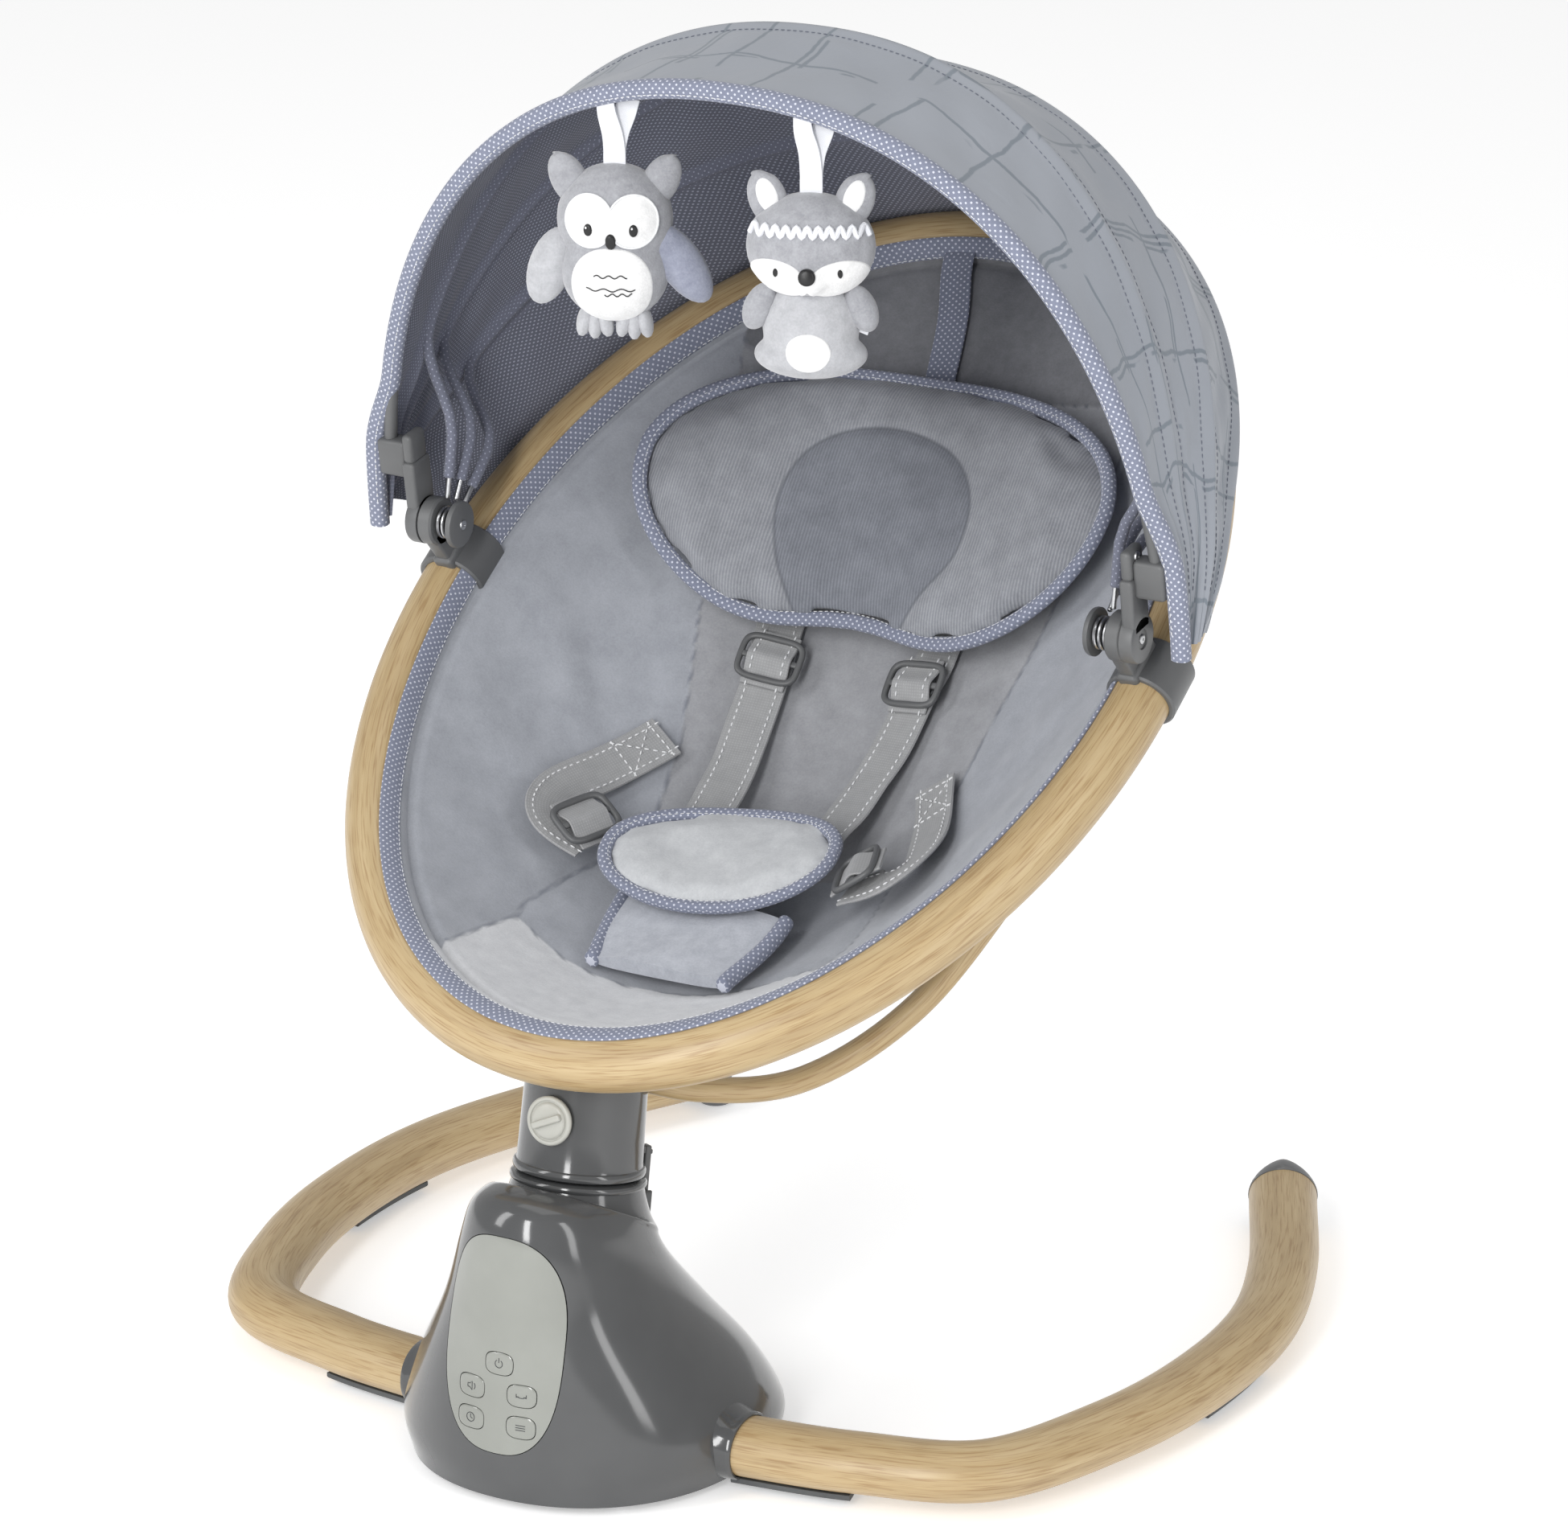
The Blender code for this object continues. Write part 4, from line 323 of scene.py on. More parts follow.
def woven_tape(name, low, high, dots=None, dot_mm=0.55, pitch_mm=2.7, roughness=0.85, weave_mm=0.7):
    """Narrow woven tape; dots gives it rows of small staggered printed or woven dots."""
    material, tree, shader = start_material(name, {"Roughness": roughness, "Sheen Weight": 0.2,
                                                   "Specular IOR Level": 0.25})
    flat = add(tree, "ShaderNodeUVMap", uv_map="metres").outputs[0]
    scale = 2 * math.pi / (20 * weave_mm * MM)
    weft = add(tree, "ShaderNodeTexWave", {"Vector": flat, "Scale": scale},
               bands_direction='X').outputs["Fac"]
    warp = add(tree, "ShaderNodeTexWave", {"Vector": flat, "Scale": scale},
               bands_direction='Y').outputs["Fac"]
    cloth = add(tree, "ShaderNodeMath", {0: weft, 1: warp}, operation='MULTIPLY').outputs[0]
    clouds = add(tree, "ShaderNodeTexNoise", {"Vector": flat, "Scale": 160.0, "Detail": 3.0}).outputs["Fac"]
    half = add(tree, "ShaderNodeMath", {0: cloth, 1: 0.5}, operation='MULTIPLY').outputs[0]
    lightness = add(tree, "ShaderNodeMath", {0: clouds, 1: 0.6, 2: half},
                    operation='MULTIPLY_ADD').outputs[0]
    shade = add(tree, "ShaderNodeMix", {0: lightness, 6: colour(low), 7: colour(high)},
                data_type='RGBA').outputs[2]
    if dots:
        turned = add(tree, "ShaderNodeMapping",
                     {"Vector": flat, "Rotation": (0, 0, math.radians(45.0))}).outputs[0]
        cells = add(tree, "ShaderNodeTexVoronoi",
                    {"Vector": turned, "Scale": 1 / (pitch_mm * MM), "Randomness": 0.0},
                    voronoi_dimensions='2D').outputs["Distance"]
        share = dot_mm / pitch_mm
        spot = add(tree, "ShaderNodeMapRange",
                   {"Value": cells, "From Min": share * 1.15, "From Max": share * 0.85})
        shade = add(tree, "ShaderNodeMix", {0: spot.outputs[0], 6: shade, 7: colour(dots)},
                    data_type='RGBA').outputs[2]
    tree.links.new(shade, shader.inputs["Base Color"])
    relief = add(tree, "ShaderNodeBump", {"Height": cloth, "Strength": 0.35, "Distance": 0.2 * MM})
    tree.links.new(relief.outputs["Normal"], shader.inputs["Normal"])
    return material


def canopy_shell():
    """Coated polyester: a satin plain weave with thin hand-drawn lines that cross and break off."""
    material, tree, shader = start_material("printed_canopy_polyester",
                                            {"Roughness": 0.5, "Sheen Weight": 0.15,
                                                                         "Specular IOR Level": 0.45})
    flat = add(tree, "ShaderNodeUVMap", uv_map="metres").outputs[0]
    place = add(tree, "ShaderNodeTexCoord").outputs["Object"]
    wander = add(tree, "ShaderNodeTexNoise", {"Vector": flat, "Scale": 14.0, "Detail": 2.0})
    shake = add(tree, "ShaderNodeTexNoise", {"Vector": flat, "Scale": 170.0, "Detail": 2.0})
    gaps = add(tree, "ShaderNodeTexNoise", {"Vector": flat, "Scale": 23.0, "Detail": 1.0}).outputs["Fac"]
    parts = add(tree, "ShaderNodeSeparateXYZ", {"Vector": flat})
    bend = add(tree, "ShaderNodeSeparateXYZ", {"Vector": wander.outputs["Color"]})
    jitter = add(tree, "ShaderNodeSeparateXYZ", {"Vector": shake.outputs["Color"]})
    ink = 0.0
    for axis, pitch, offset, break_at in ((0, 62.0, 0.0, 0.36), (0, 62.0, 0.075, 0.53), (1, 48.0, 0.2, 0.38),
                                          (1, 48.0, 0.28, 0.55), (0, 107.0, 0.43, 0.40)):
        cell = parts.outputs[axis]
        for drift, reach in ((bend, 22 * MM), (jitter, 1.4 * MM)):
            cell = add(tree, "ShaderNodeMath", {0: drift.outputs[axis], 1: reach, 2: cell},
                       operation='MULTIPLY_ADD').outputs[0]
        for operation, sockets in (('MULTIPLY_ADD', {1: 1 / (pitch * MM), 2: offset}), ('FRACT', {}),
                                   ('SUBTRACT', {1: 0.5}), ('ABSOLUTE', {})):
            cell = add(tree, "ShaderNodeMath", {0: cell, **sockets}, operation=operation).outputs[0]
        line = add(tree, "ShaderNodeMapRange",
                   {"Value": cell, "From Min": 1.5 / pitch, "From Max": 0.8 / pitch})
        shown = add(tree, "ShaderNodeMapRange",
                    {"Value": gaps, "From Min": break_at, "From Max": break_at + 0.02})
        stroke = add(tree, "ShaderNodeMath", {0: line.outputs[0], 1: shown.outputs[0]},
                     operation='MULTIPLY').outputs[0]
        ink = add(tree, "ShaderNodeMath", {0: ink, 1: stroke}, operation='MAXIMUM').outputs[0]
    clouds = add(tree, "ShaderNodeTexNoise", {"Vector": place, "Scale": 9.0, "Detail": 4.0}).outputs["Fac"]
    base = add(tree, "ShaderNodeMix", {0: clouds, 6: colour("868B93"), 7: colour("9B9FA7")},
               data_type='RGBA').outputs[2]
    printed = add(tree, "ShaderNodeMath", {0: ink, 1: 0.8}, operation='MULTIPLY').outputs[0]
    shade = add(tree, "ShaderNodeMix", {0: printed, 6: base, 7: colour("6A737C")},
                data_type='RGBA').outputs[2]
    tree.links.new(shade, shader.inputs["Base Color"])
    rumple = add(tree, "ShaderNodeTexNoise",
                 {"Vector": place, "Scale": 38.0, "Detail": 3.0, "Distortion": 0.6})
    weave = add(tree, "ShaderNodeTexNoise", {"Vector": flat, "Scale": 1400.0}).outputs["Fac"]
    fine = add(tree, "ShaderNodeBump",
               {"Height": weave, "Strength": 0.12, "Distance": 0.15 * MM}).outputs["Normal"]
    relief = add(tree, "ShaderNodeBump",
                 {"Height": rumple.outputs["Fac"], "Strength": 0.30, "Distance": 3 * MM,
                                          "Normal": fine})
    tree.links.new(relief.outputs["Normal"], shader.inputs["Normal"])
    return material


def circuit_lacquer():
    """Fibreglass board under green solder lacquer, with traces 1.5 mm apart."""
    material, tree, shader = start_material("circuit_lacquer", {"Roughness": 0.35, "Coat Weight": 0.4})
    place = add(tree, "ShaderNodeTexCoord").outputs["Object"]
    traces = add(tree, "ShaderNodeTexBrick",
                 {"Vector": place, "Color1": colour("1F5A35"), "Color2": colour("2A6E42"),
                                              "Mortar": colour("7C9A5A"), "Scale": 180.0,
                                              "Mortar Size": 0.04})
    tree.links.new(traces.outputs["Color"], shader.inputs["Base Color"])
    return material


def worked_metal(name, low, high, roughness):
    """Bare metal with the fine marks of drawing or turning."""
    material, tree, shader = start_material(name, {"Metallic": 1.0, "Roughness": roughness})
    place = add(tree, "ShaderNodeTexCoord").outputs["Object"]
    marks = add(tree, "ShaderNodeTexNoise",
                {"Vector": place, "Scale": 1 / (0.5 * MM), "Detail": 3.0}).outputs["Fac"]
    shade = add(tree, "ShaderNodeMix", {0: marks, 6: colour(low), 7: colour(high)},
                data_type='RGBA').outputs[2]
    tree.links.new(shade, shader.inputs["Base Color"])
    relief = add(tree, "ShaderNodeBump", {"Height": marks, "Strength": 0.1, "Distance": 0.05 * MM})
    tree.links.new(relief.outputs["Normal"], shader.inputs["Normal"])
    return material


OAK = oak_print()
ABS = moulded_plastic("polished_grey_abs", "48494A", "4D4E4F", 0.13, 0.8, 0.03, coat=0.35)
GREY = moulded_plastic("satin_grey_nylon", "5A5B5C", "636465", 0.40, 0.4, 0.25)
PANEL = moulded_plastic("polished_panel_abs", "888A84", "90928C", 0.14, 0.8, 0.02, coat=0.4)
WHITE = moulded_plastic("off_white_pom", "ABABA4", "B5B5AE", 0.32, 0.5, 0.06)
DARK_GAP = moulded_plastic("shadow_line_rubber", "3A3C3E", "424446", 0.6, 0.4, 0.1)
RUBBER = moulded_plastic("soft_foot_rubber", "4E5052", "575A5C", 0.75, 0.35, 0.3)
STEEL = worked_metal("bright_spring_steel", "B0B1B3", "D2D3D5", 0.28)
COPPER = worked_metal("enamelled_copper_wire", "A85B32", "C97A48", 0.32)
BOARD = circuit_lacquer()
SLING = seat_velour()
KNIT = rib_knit()
LIGHT_VELOUR = velour("light_velour", "B4B6B9", "C8CACC", 0.3, 9.0)
PALE_KNIT = velour("pale_crotch_knit", "A5A8B0", "BBBEC5", 0.25, 7.0)
WEBBING = woven_tape("polyester_webbing", "909192", "AEAEAF", weave_mm=1.5)
DOTTED = woven_tape("dotted_binding_tape", "737889", "888DA0", dots="CBCEDA")
LINING = woven_tape("dotted_canopy_lining", "60636F", "6D707D", dots="A3A6B6", dot_mm=0.6, pitch_mm=2.6,
                    roughness=0.8)
CHANNEL = woven_tape("rib_channel_tape", "676A78", "747786", dots="A3A6B6", dot_mm=0.4, pitch_mm=2.6)
SHELL = canopy_shell()
PLUSH = velour("grey_plush", "8E8F94", "A9AAAF", 0.6, 6.0, 0.5)
BLUE_PLUSH = velour("blue_grey_plush", "85899A", "9EA2B2", 0.6, 6.0, 0.5)
PALE_PLUSH = velour("pale_grey_plush", "A5A6AA", "BCBDC1", 0.6, 6.0, 0.5)
WHITE_PLUSH = velour("white_plush", "DCDCDC", "F0F0F0", 0.5, 6.0, 0.5)
RIBBON = woven_tape("white_satin_ribbon", "DADCE2", "F2F3F6", roughness=0.5, weave_mm=0.6)
WHITE_THREAD_AND_GLINT = velour("white_thread_and_eye_glint", "DADBDD", "EDEEEF", 0.2, 2.0, 0.3)
# white thread for the stitches, also used for the owl's painted eye glints
GREY_THREAD = velour("grey_sewing_thread", "5F6470", "6E7380", 0.2, 2.0, 0.3)
BLACK_THREAD = moulded_plastic("black_embroidery", "101012", "1A1A1C", 0.35, 0.3, 0.3)


# ---------- mesh helpers
def ellipse_power(angle, half_a, half_b, power=2.0):
    c, s = math.cos(angle), math.sin(angle)
    return (math.copysign(abs(c) ** (2 / power), c) * half_a,
            math.copysign(abs(s) ** (2 / power), s) * half_b)


def spline_through(points, per_span):
    """Points of a smooth Catmull-Rom curve through the given ones."""
    points = [Vector(point) for point in points]
    knots = [2 * points[0] - points[1], *points, 2 * points[-1] - points[-2]]
    route = []
    for i in range(1, len(knots) - 2):
        before, start, end, after = knots[i - 1:i + 3]
        for step in range(per_span):
            t = step / per_span
            square = 2 * before - 5 * start + 4 * end - after
            cube = 3 * start - before - 3 * end + after
            route.append(0.5 * (2 * start + (end - before) * t + square * t ** 2 + cube * t ** 3))
    return [*route, points[-1]]


def frames(points, up, cyclic=False):
    """(point, side, up) at each point of a route."""
    result, count = [], len(points)
    for i, point in enumerate(points):
        ahead = points[(i + 1) % count if cyclic else min(i + 1, count - 1)]
        behind = points[i - 1 if cyclic or i else 0]
        along = (ahead - behind).normalized()
        side = along.cross(up).normalized()
        result.append((point, side, side.cross(along)))
    return result


def frame_matrix(origin, axis, towards=(0.0, 1.0, 0.0)):
    """Local Z along axis and local Y as near to towards as it can be."""
    z = Vector(axis).normalized()
    x = Vector(towards).cross(z).normalized()
    matrix = Matrix((x, z.cross(x), z)).transposed().to_4x4()
    matrix.translation = Vector(origin)
    return matrix


def to_mesh(bm, name, sharp=40.0):
    bmesh.ops.remove_doubles(bm, verts=bm.verts, dist=0.000002)
    bmesh.ops.recalc_face_normals(bm, faces=bm.faces)
    mesh = bpy.data.meshes.new(name)
    bm.to_mesh(mesh)
    bm.free()
    mesh.shade_smooth()
    mesh.set_sharp_from_angle(angle=math.radians(sharp))
    return mesh


def skin(name, rows, around=True, along=False, caps=True, sharp=40.0):
    """Skins rows of points, with a UV map in metres along and round the rows."""
    bm = bmesh.new()
    layer = bm.loops.layers.uv.new("metres")
    made = [[bm.verts.new(point) for point in row] for row in rows]
    count = len(rows[0])
    middles = [sum(row, Vector()) / count for row in rows]
    run = [0.0]
    for first, second in zip(middles, middles[1:] + middles[:1]):
        run.append(run[-1] + (second - first).length)
    if run[-2] < 0.001:              # rows about one centre, as on a dome, are measured along their points
        run = [0.0]
        for first, second in zip(rows, rows[1:] + rows[:1]):
            run.append(run[-1] + (second[0] - first[0]).length)
    widest = max(rows, key=lambda row: sum((b - a).length for a, b in zip(row, row[1:])))
    span = [0.0]
    for first, second in zip(widest, widest[1:] + widest[:1]):
        span.append(span[-1] + (second - first).length)
    for i in range(len(rows) if along else len(rows) - 1):
        low, high = made[i], made[(i + 1) % len(rows)]
        for k in range(count if around else count - 1):
            face = bm.faces.new((low[k], low[(k + 1) % count], high[(k + 1) % count], high[k]))
            places = ((i, k), (i, k + 1), (i + 1, k + 1), (i + 1, k))
            for loop, (a, b) in zip(face.loops, places):
                loop[layer].uv = (run[a], span[b])
    if caps and around and not along:
        for row, where in ((made[0], run[0]), (made[-1], run[-2])):
            centre = bm.verts.new(sum((vert.co for vert in row), Vector()) / count)
            for k in range(count):
                face = bm.faces.new((row[k], row[(k + 1) % count], centre))
                for loop in face.loops:
                    loop[layer].uv = (where, 0.0)
    return to_mesh(bm, name, sharp)


def tube(name, points, radius, up=(0, 0, 1), sides=16, cyclic=False, half_height=None, ends=True):
    """A round or oval tube with rounded ends."""
    up = Vector(up)
    half_height = half_height or radius
    rows = []
    route = frames([Vector(point) for point in points], up, cyclic)
    for point, side, above in route:
        rows.append([point + side * (radius * math.cos(2 * math.pi * k / sides))
                     + above * (half_height * math.sin(2 * math.pi * k / sides)) for k in range(sides)])
    if ends and not cyclic:
        for where, inner in ((0, 1), (-1, -2)):
            point, side, above = route[where]
            out = (point - route[inner][0]).normalized()
            for share, reach in ((0.97, 0.12), (0.85, 0.30), (0.6, 0.42)):
                row = [point + out * radius * reach
                       + side * (radius * share * math.cos(2 * math.pi * k / sides))
                       + above * (half_height * share * math.sin(2 * math.pi * k / sides))
                       for k in range(sides)]
                rows = [row, *rows] if where == 0 else [*rows, row]
    return skin(name, rows, True, cyclic)


def lathe(name, profile, matrix, steps=64, sharp=30.0, is_ring=False):
    """Turns (radius, height) points, from the bottom up; ends on the axis are closed."""
    rows = []
    for radius, height in profile:
        radius = max(radius, 0.00002)
        rows.append([matrix @ Vector((radius * math.cos(2 * math.pi * k / steps),
                                      radius * math.sin(2 * math.pi * k / steps),
                                      height)) for k in range(steps)])
    return skin(name, rows, True, is_ring, not is_ring, sharp)


def soft_box(name, size, matrix, bevel):
    """A block with rounded edges."""
    bm = bmesh.new()
    bmesh.ops.create_cube(bm, size=1.0)
    bmesh.ops.scale(bm, vec=size, verts=bm.verts)
    bmesh.ops.bevel(bm, geom=list(bm.edges), offset=bevel, segments=3, affect='EDGES', profile=0.5)
    bmesh.ops.transform(bm, matrix=matrix, verts=bm.verts)
    return to_mesh(bm, name, 30.0)


def joined(name, meshes):
    """Several meshes in one, each with its own materials and UV map kept."""
    bm = bmesh.new()
    materials = []
    for mesh in meshes:
        before = len(bm.faces)
        bm.from_mesh(mesh)
        bm.faces.ensure_lookup_table()
        slots = []
        for material in mesh.materials:
            if material not in materials:
                materials.append(material)
            slots.append(materials.index(material))
        for face in list(bm.faces)[before:]:
            face.material_index = slots[face.material_index] if slots else 0
    whole = bpy.data.meshes.new(name)
    bm.to_mesh(whole)
    bm.free()
    for material in materials:
        whole.materials.append(material)
    return whole


def painted(mesh, material):
    mesh.materials.clear()
    mesh.materials.append(material)
    return mesh


def piece(name, mesh, body, material=None, replaces=()):
    """A finished piece at the origin that rides on a body."""
    if material:
        painted(mesh, material)
    thing = bpy.data.objects.new(name, mesh)
    bpy.context.scene.collection.objects.link(thing)
    if body:
        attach(thing, body)
    if replaces:
        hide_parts(*replaces)
    return thing


def worked(mesh, *steps):
    """The mesh after modifiers given as (kind, settings); the modifiers are not kept."""
    thing = bpy.data.objects.new("workpiece", mesh)
    bpy.context.scene.collection.objects.link(thing)
    for kind, settings in steps:
        step = thing.modifiers.new(kind.lower(), kind)
        for name, value in settings.items():
            setattr(step, name, value)
    bpy.context.view_layer.update()
    result = bpy.data.meshes.new_from_object(thing.evaluated_get(bpy.context.evaluated_depsgraph_get()))
    bpy.data.objects.remove(thing, do_unlink=True)
    return result


def cut(mesh, cutters):
    """The mesh less the closed cutters."""
    tools = []
    for cutter in cutters:
        tool = bpy.data.objects.new("cutter", cutter)
        bpy.context.scene.collection.objects.link(tool)
        tools.append(tool)
    steps = [('BOOLEAN', {"operation": 'DIFFERENCE', "solver": 'EXACT', "object": tool}) for tool in tools]
    result = worked(mesh, *steps)
    for tool in tools:
        bpy.data.objects.remove(tool, do_unlink=True)
    result.shade_smooth()
    result.set_sharp_from_angle(angle=math.radians(35.0))
    return result


def surface_of(mesh):
    bm = bmesh.new()
    bm.from_mesh(mesh)
    tree = BVHTree.FromBMesh(bm)
    bm.free()
    return tree


def outline_of(half_x, half_z, power=2.0, count=48, centre=(0.0, 0.0), turn=0.0):
    points = []
    for k in range(count):
        x, z = ellipse_power(2 * math.pi * k / count, half_x, half_z, power)
        points.append((centre[0] + x * math.cos(turn) - z * math.sin(turn),
                       centre[1] + x * math.sin(turn) + z * math.cos(turn)))
    return points


def patch(name, outline, surface, lift=0.0006, depth=0.0008, edge=0.9, rings=5):
    """A closed patch laid on a surface seen from the front: outline is (x, z), with a rolled edge."""
    centre = (sum(x for x, _ in outline) / len(outline), sum(z for _, z in outline) / len(outline))
    plan = [(0.02, -depth), (0.5, -depth), (1.0, -depth), (1.0, 0.0), ((1.0 + edge) / 2, lift * 0.8),
            (edge, lift)]
    plan += [(edge * (1 - (k + 1) / rings), lift) for k in range(rings - 1)] + [(0.02, lift)]
    rows, last = [], None
    for share, height in plan:
        row = []
        for x, z in outline:
            start = Vector((centre[0] + (x - centre[0]) * share, -1.0, centre[1] + (z - centre[1]) * share))
            hit, normal, _, _ = surface.ray_cast(start, Vector((0.0, 1.0, 0.0)))
            if hit is None:
                hit, normal, _, _ = surface.find_nearest(Vector((start.x, last.y if last else 0.0, start.z)))
            last = hit
            row.append(hit + normal * height)
        rows.append(row)
    return skin(name, rows)


# ---------- Geometry Nodes for what repeats
def repeat_tree(name, by_length):
    """Puts an instance of an object at every pitch along edge paths, or at one end of each."""
    tree = bpy.data.node_groups.new(name, 'GeometryNodeTree')
    face = tree.interface
    face.new_socket("Geometry", in_out='INPUT', socket_type='NodeSocketGeometry')
    face.new_socket("Pitch", in_out='INPUT', socket_type='NodeSocketFloat').default_value = 0.003
    face.new_socket("Item", in_out='INPUT', socket_type='NodeSocketObject')
    face.new_socket("Finish", in_out='INPUT', socket_type='NodeSocketMaterial')
    face.new_socket("Geometry", in_out='OUTPUT', socket_type='NodeSocketGeometry')
    start = add(tree, "NodeGroupInput").outputs
    curve = add(tree, "GeometryNodeMeshToCurve", {"Mesh": start["Geometry"]}).outputs[0]
    if by_length:
        curve = add(tree, "GeometryNodeResampleCurve", {"Curve": curve, "Length": start["Pitch"]},
                    mode='LENGTH').outputs[0]
    tangent = add(tree, "GeometryNodeInputTangent").outputs[0]
    turn = add(tree, "FunctionNodeAlignRotationToVector", {"Vector": tangent}, axis='Z').outputs[0]
    item = add(tree, "GeometryNodeObjectInfo",
               {"Object": start["Item"], "As Instance": True}).outputs["Geometry"]
    sockets = {"Points": curve, "Instance": item, "Rotation": turn}
    if not by_length:
        sockets["Selection"] = add(tree, "GeometryNodeCurveEndpointSelection",
                                   {"Start Size": 0, "End Size": 1}).outputs[0]
    placed = add(tree, "GeometryNodeInstanceOnPoints", sockets)
    real = add(tree, "GeometryNodeRealizeInstances", {"Geometry": placed.outputs[0]}).outputs[0]
    done = add(tree, "GeometryNodeSetMaterial", {"Geometry": real, "Material": start["Finish"]}).outputs[0]
    finish = add(tree, "NodeGroupOutput")
    tree.links.new(done, finish.inputs["Geometry"])
    return tree


STITCHES = repeat_tree("stitches_along_a_seam", True)
SCREWS = repeat_tree("screws_at_edge_ends", False)


def repeated(name, tree, paths, pitch, item, material, body):
    """Runs a repeating tree on edge paths and keeps the result as one plain piece."""
    mesh = bpy.data.meshes.new(name)
    points, edges = [], []
    for path in paths:
        edges += [(len(points) + i, len(points) + i + 1) for i in range(len(path) - 1)]
        points += [tuple(point) for point in path]
    mesh.from_pydata(points, edges, [])
    thing = bpy.data.objects.new(name + "_path", mesh)
    source = bpy.data.objects.new(name + "_item", item)
    bpy.context.scene.collection.objects.link(thing)
    bpy.context.scene.collection.objects.link(source)
    step = thing.modifiers.new("repeat", 'NODES')
    step.node_group = tree
    inputs = [socket for socket in tree.interface.items_tree if socket.in_out == 'INPUT']
    names = {socket.name: socket.identifier for socket in inputs}
    step[names["Pitch"]] = pitch
    step[names["Item"]] = source
    step[names["Finish"]] = material
    bpy.context.view_layer.update()
    made = bpy.data.meshes.new_from_object(thing.evaluated_get(bpy.context.evaluated_depsgraph_get()))
    bpy.data.objects.remove(thing, do_unlink=True)
    bpy.data.objects.remove(source, do_unlink=True)
    made.shade_smooth()
    return piece(name, made, body, material)


def thread_bead(length, width):
    """One stitch: a short thick thread."""
    bm = bmesh.new()
    bmesh.ops.create_uvsphere(bm, u_segments=6, v_segments=4, radius=1.0)
    bmesh.ops.scale(bm, vec=(width / 2, width / 2, length / 2), verts=bm.verts)
    return to_mesh(bm, "bead", 80.0)


def screw_head(radius=0.0026):
    """A pan head with a cross recess: a low dome with four facets sunk in its middle."""
    bm = bmesh.new()
    rows = []
    for share, height in ((1.0, -0.0004), (1.0, 0.0004), (0.92, 0.0008), (0.6, 0.0011), (0.30, 0.0011)):
        rows.append([bm.verts.new((radius * share * math.cos(2 * math.pi * k / 24),
                                   radius * share * math.sin(2 * math.pi * k / 24),
                                   height)) for k in range(24)])
    cross = [bm.verts.new((radius * (0.52 if k % 6 == 0 else 0.14) * math.cos(2 * math.pi * k / 24),
                           radius * (0.52 if k % 6 == 0 else 0.14) * math.sin(2 * math.pi * k / 24),
                           0.0011 if k % 6 == 0 else 0.0002)) for k in range(24)]
    for low, high in zip(rows, rows[1:] + [cross]):
        for k in range(24):
            bm.faces.new((low[k], low[(k + 1) % 24], high[(k + 1) % 24], high[k]))
    bm.faces.new(cross)
    bm.faces.new(reversed(rows[0]))
    return to_mesh(bm, "screw_head", 30.0)


# ---------- hoop and sling coordinates
def on_plane(u, v, lift=0.0):
    return HOOP_CENTRE + Vector((u, 0.0, 0.0)) + SLOPE * v + HOOP_NORMAL * lift


def hoop_point(angle):
    return on_plane(HOOP_HALF_WIDTH * math.cos(angle), HOOP_LENGTH / 2 * math.sin(angle))


def hoop_inwards(angle):
    """Unit vector from the tube's centre towards the inside, in the hoop's plane."""
    tangent = on_plane(-HOOP_HALF_WIDTH * math.sin(angle), HOOP_LENGTH / 2 * math.cos(angle)) - HOOP_CENTRE
    return HOOP_NORMAL.cross(tangent).normalized()


def bowl_depth(u, v):
    inside = max(0.0, 1.0 - (u / BOWL_HALF_U) ** 2 - (v / BOWL_HALF_V) ** 2)
    return BOWL_DEPTH * inside * (1.0 - BOWL_SKEW * v / BOWL_HALF_V)


def on_bowl(u, v, lift=0.0):
    return on_plane(u, v, lift - bowl_depth(u, v))


def up_the_bowl(u, v):
    return on_bowl(u, v + SLOPE_STEP) - on_bowl(u, v - SLOPE_STEP)


def bowl_normal(u, v):
    return (on_bowl(u + SLOPE_STEP, v) - on_bowl(u - SLOPE_STEP, v)).cross(up_the_bowl(u, v)).normalized()


def bowl_matrix(u, v, lift, turn=0.0):
    normal = bowl_normal(u, v)
    return frame_matrix(on_bowl(u, v) + normal * lift, normal, up_the_bowl(u, v)) @ Matrix.Rotation(turn, 4,
                                                                                                    'Z')


def distance_to(path, u, v):
    """Distance from (u, v) to a polyline, and the share of its length there."""
    best, where = 9.0, 0.0
    for i, ((a, b), (c, d)) in enumerate(zip(path, path[1:])):
        length = (c - a) ** 2 + (d - b) ** 2
        t = min(1.0, max(0.0, ((u - a) * (c - a) + (v - b) * (d - b)) / length))
        away = math.hypot(u - a - t * (c - a), v - b - t * (d - b))
        if away < best:
            best, where = away, (i + t) / (len(path) - 1)
    return best, where


def inside_of(outline, u, v):
    """True inside a closed outline."""
    result = False
    for (a, b), (c, d) in zip(outline, outline[1:] + outline[:1]):
        if (b > v) != (d > v) and u < (c - a) * (v - b) / (d - b) + a:
            result = not result
    return result


# ---------- housing, panel and keys
def turned_out(mesh, centre):
    """Flips an open shell whose faces look inwards."""
    total = sum((face.center - centre).dot(face.normal) * face.area for face in mesh.polygons)
    if total < 0:
        mesh.flip_normals()
    return mesh


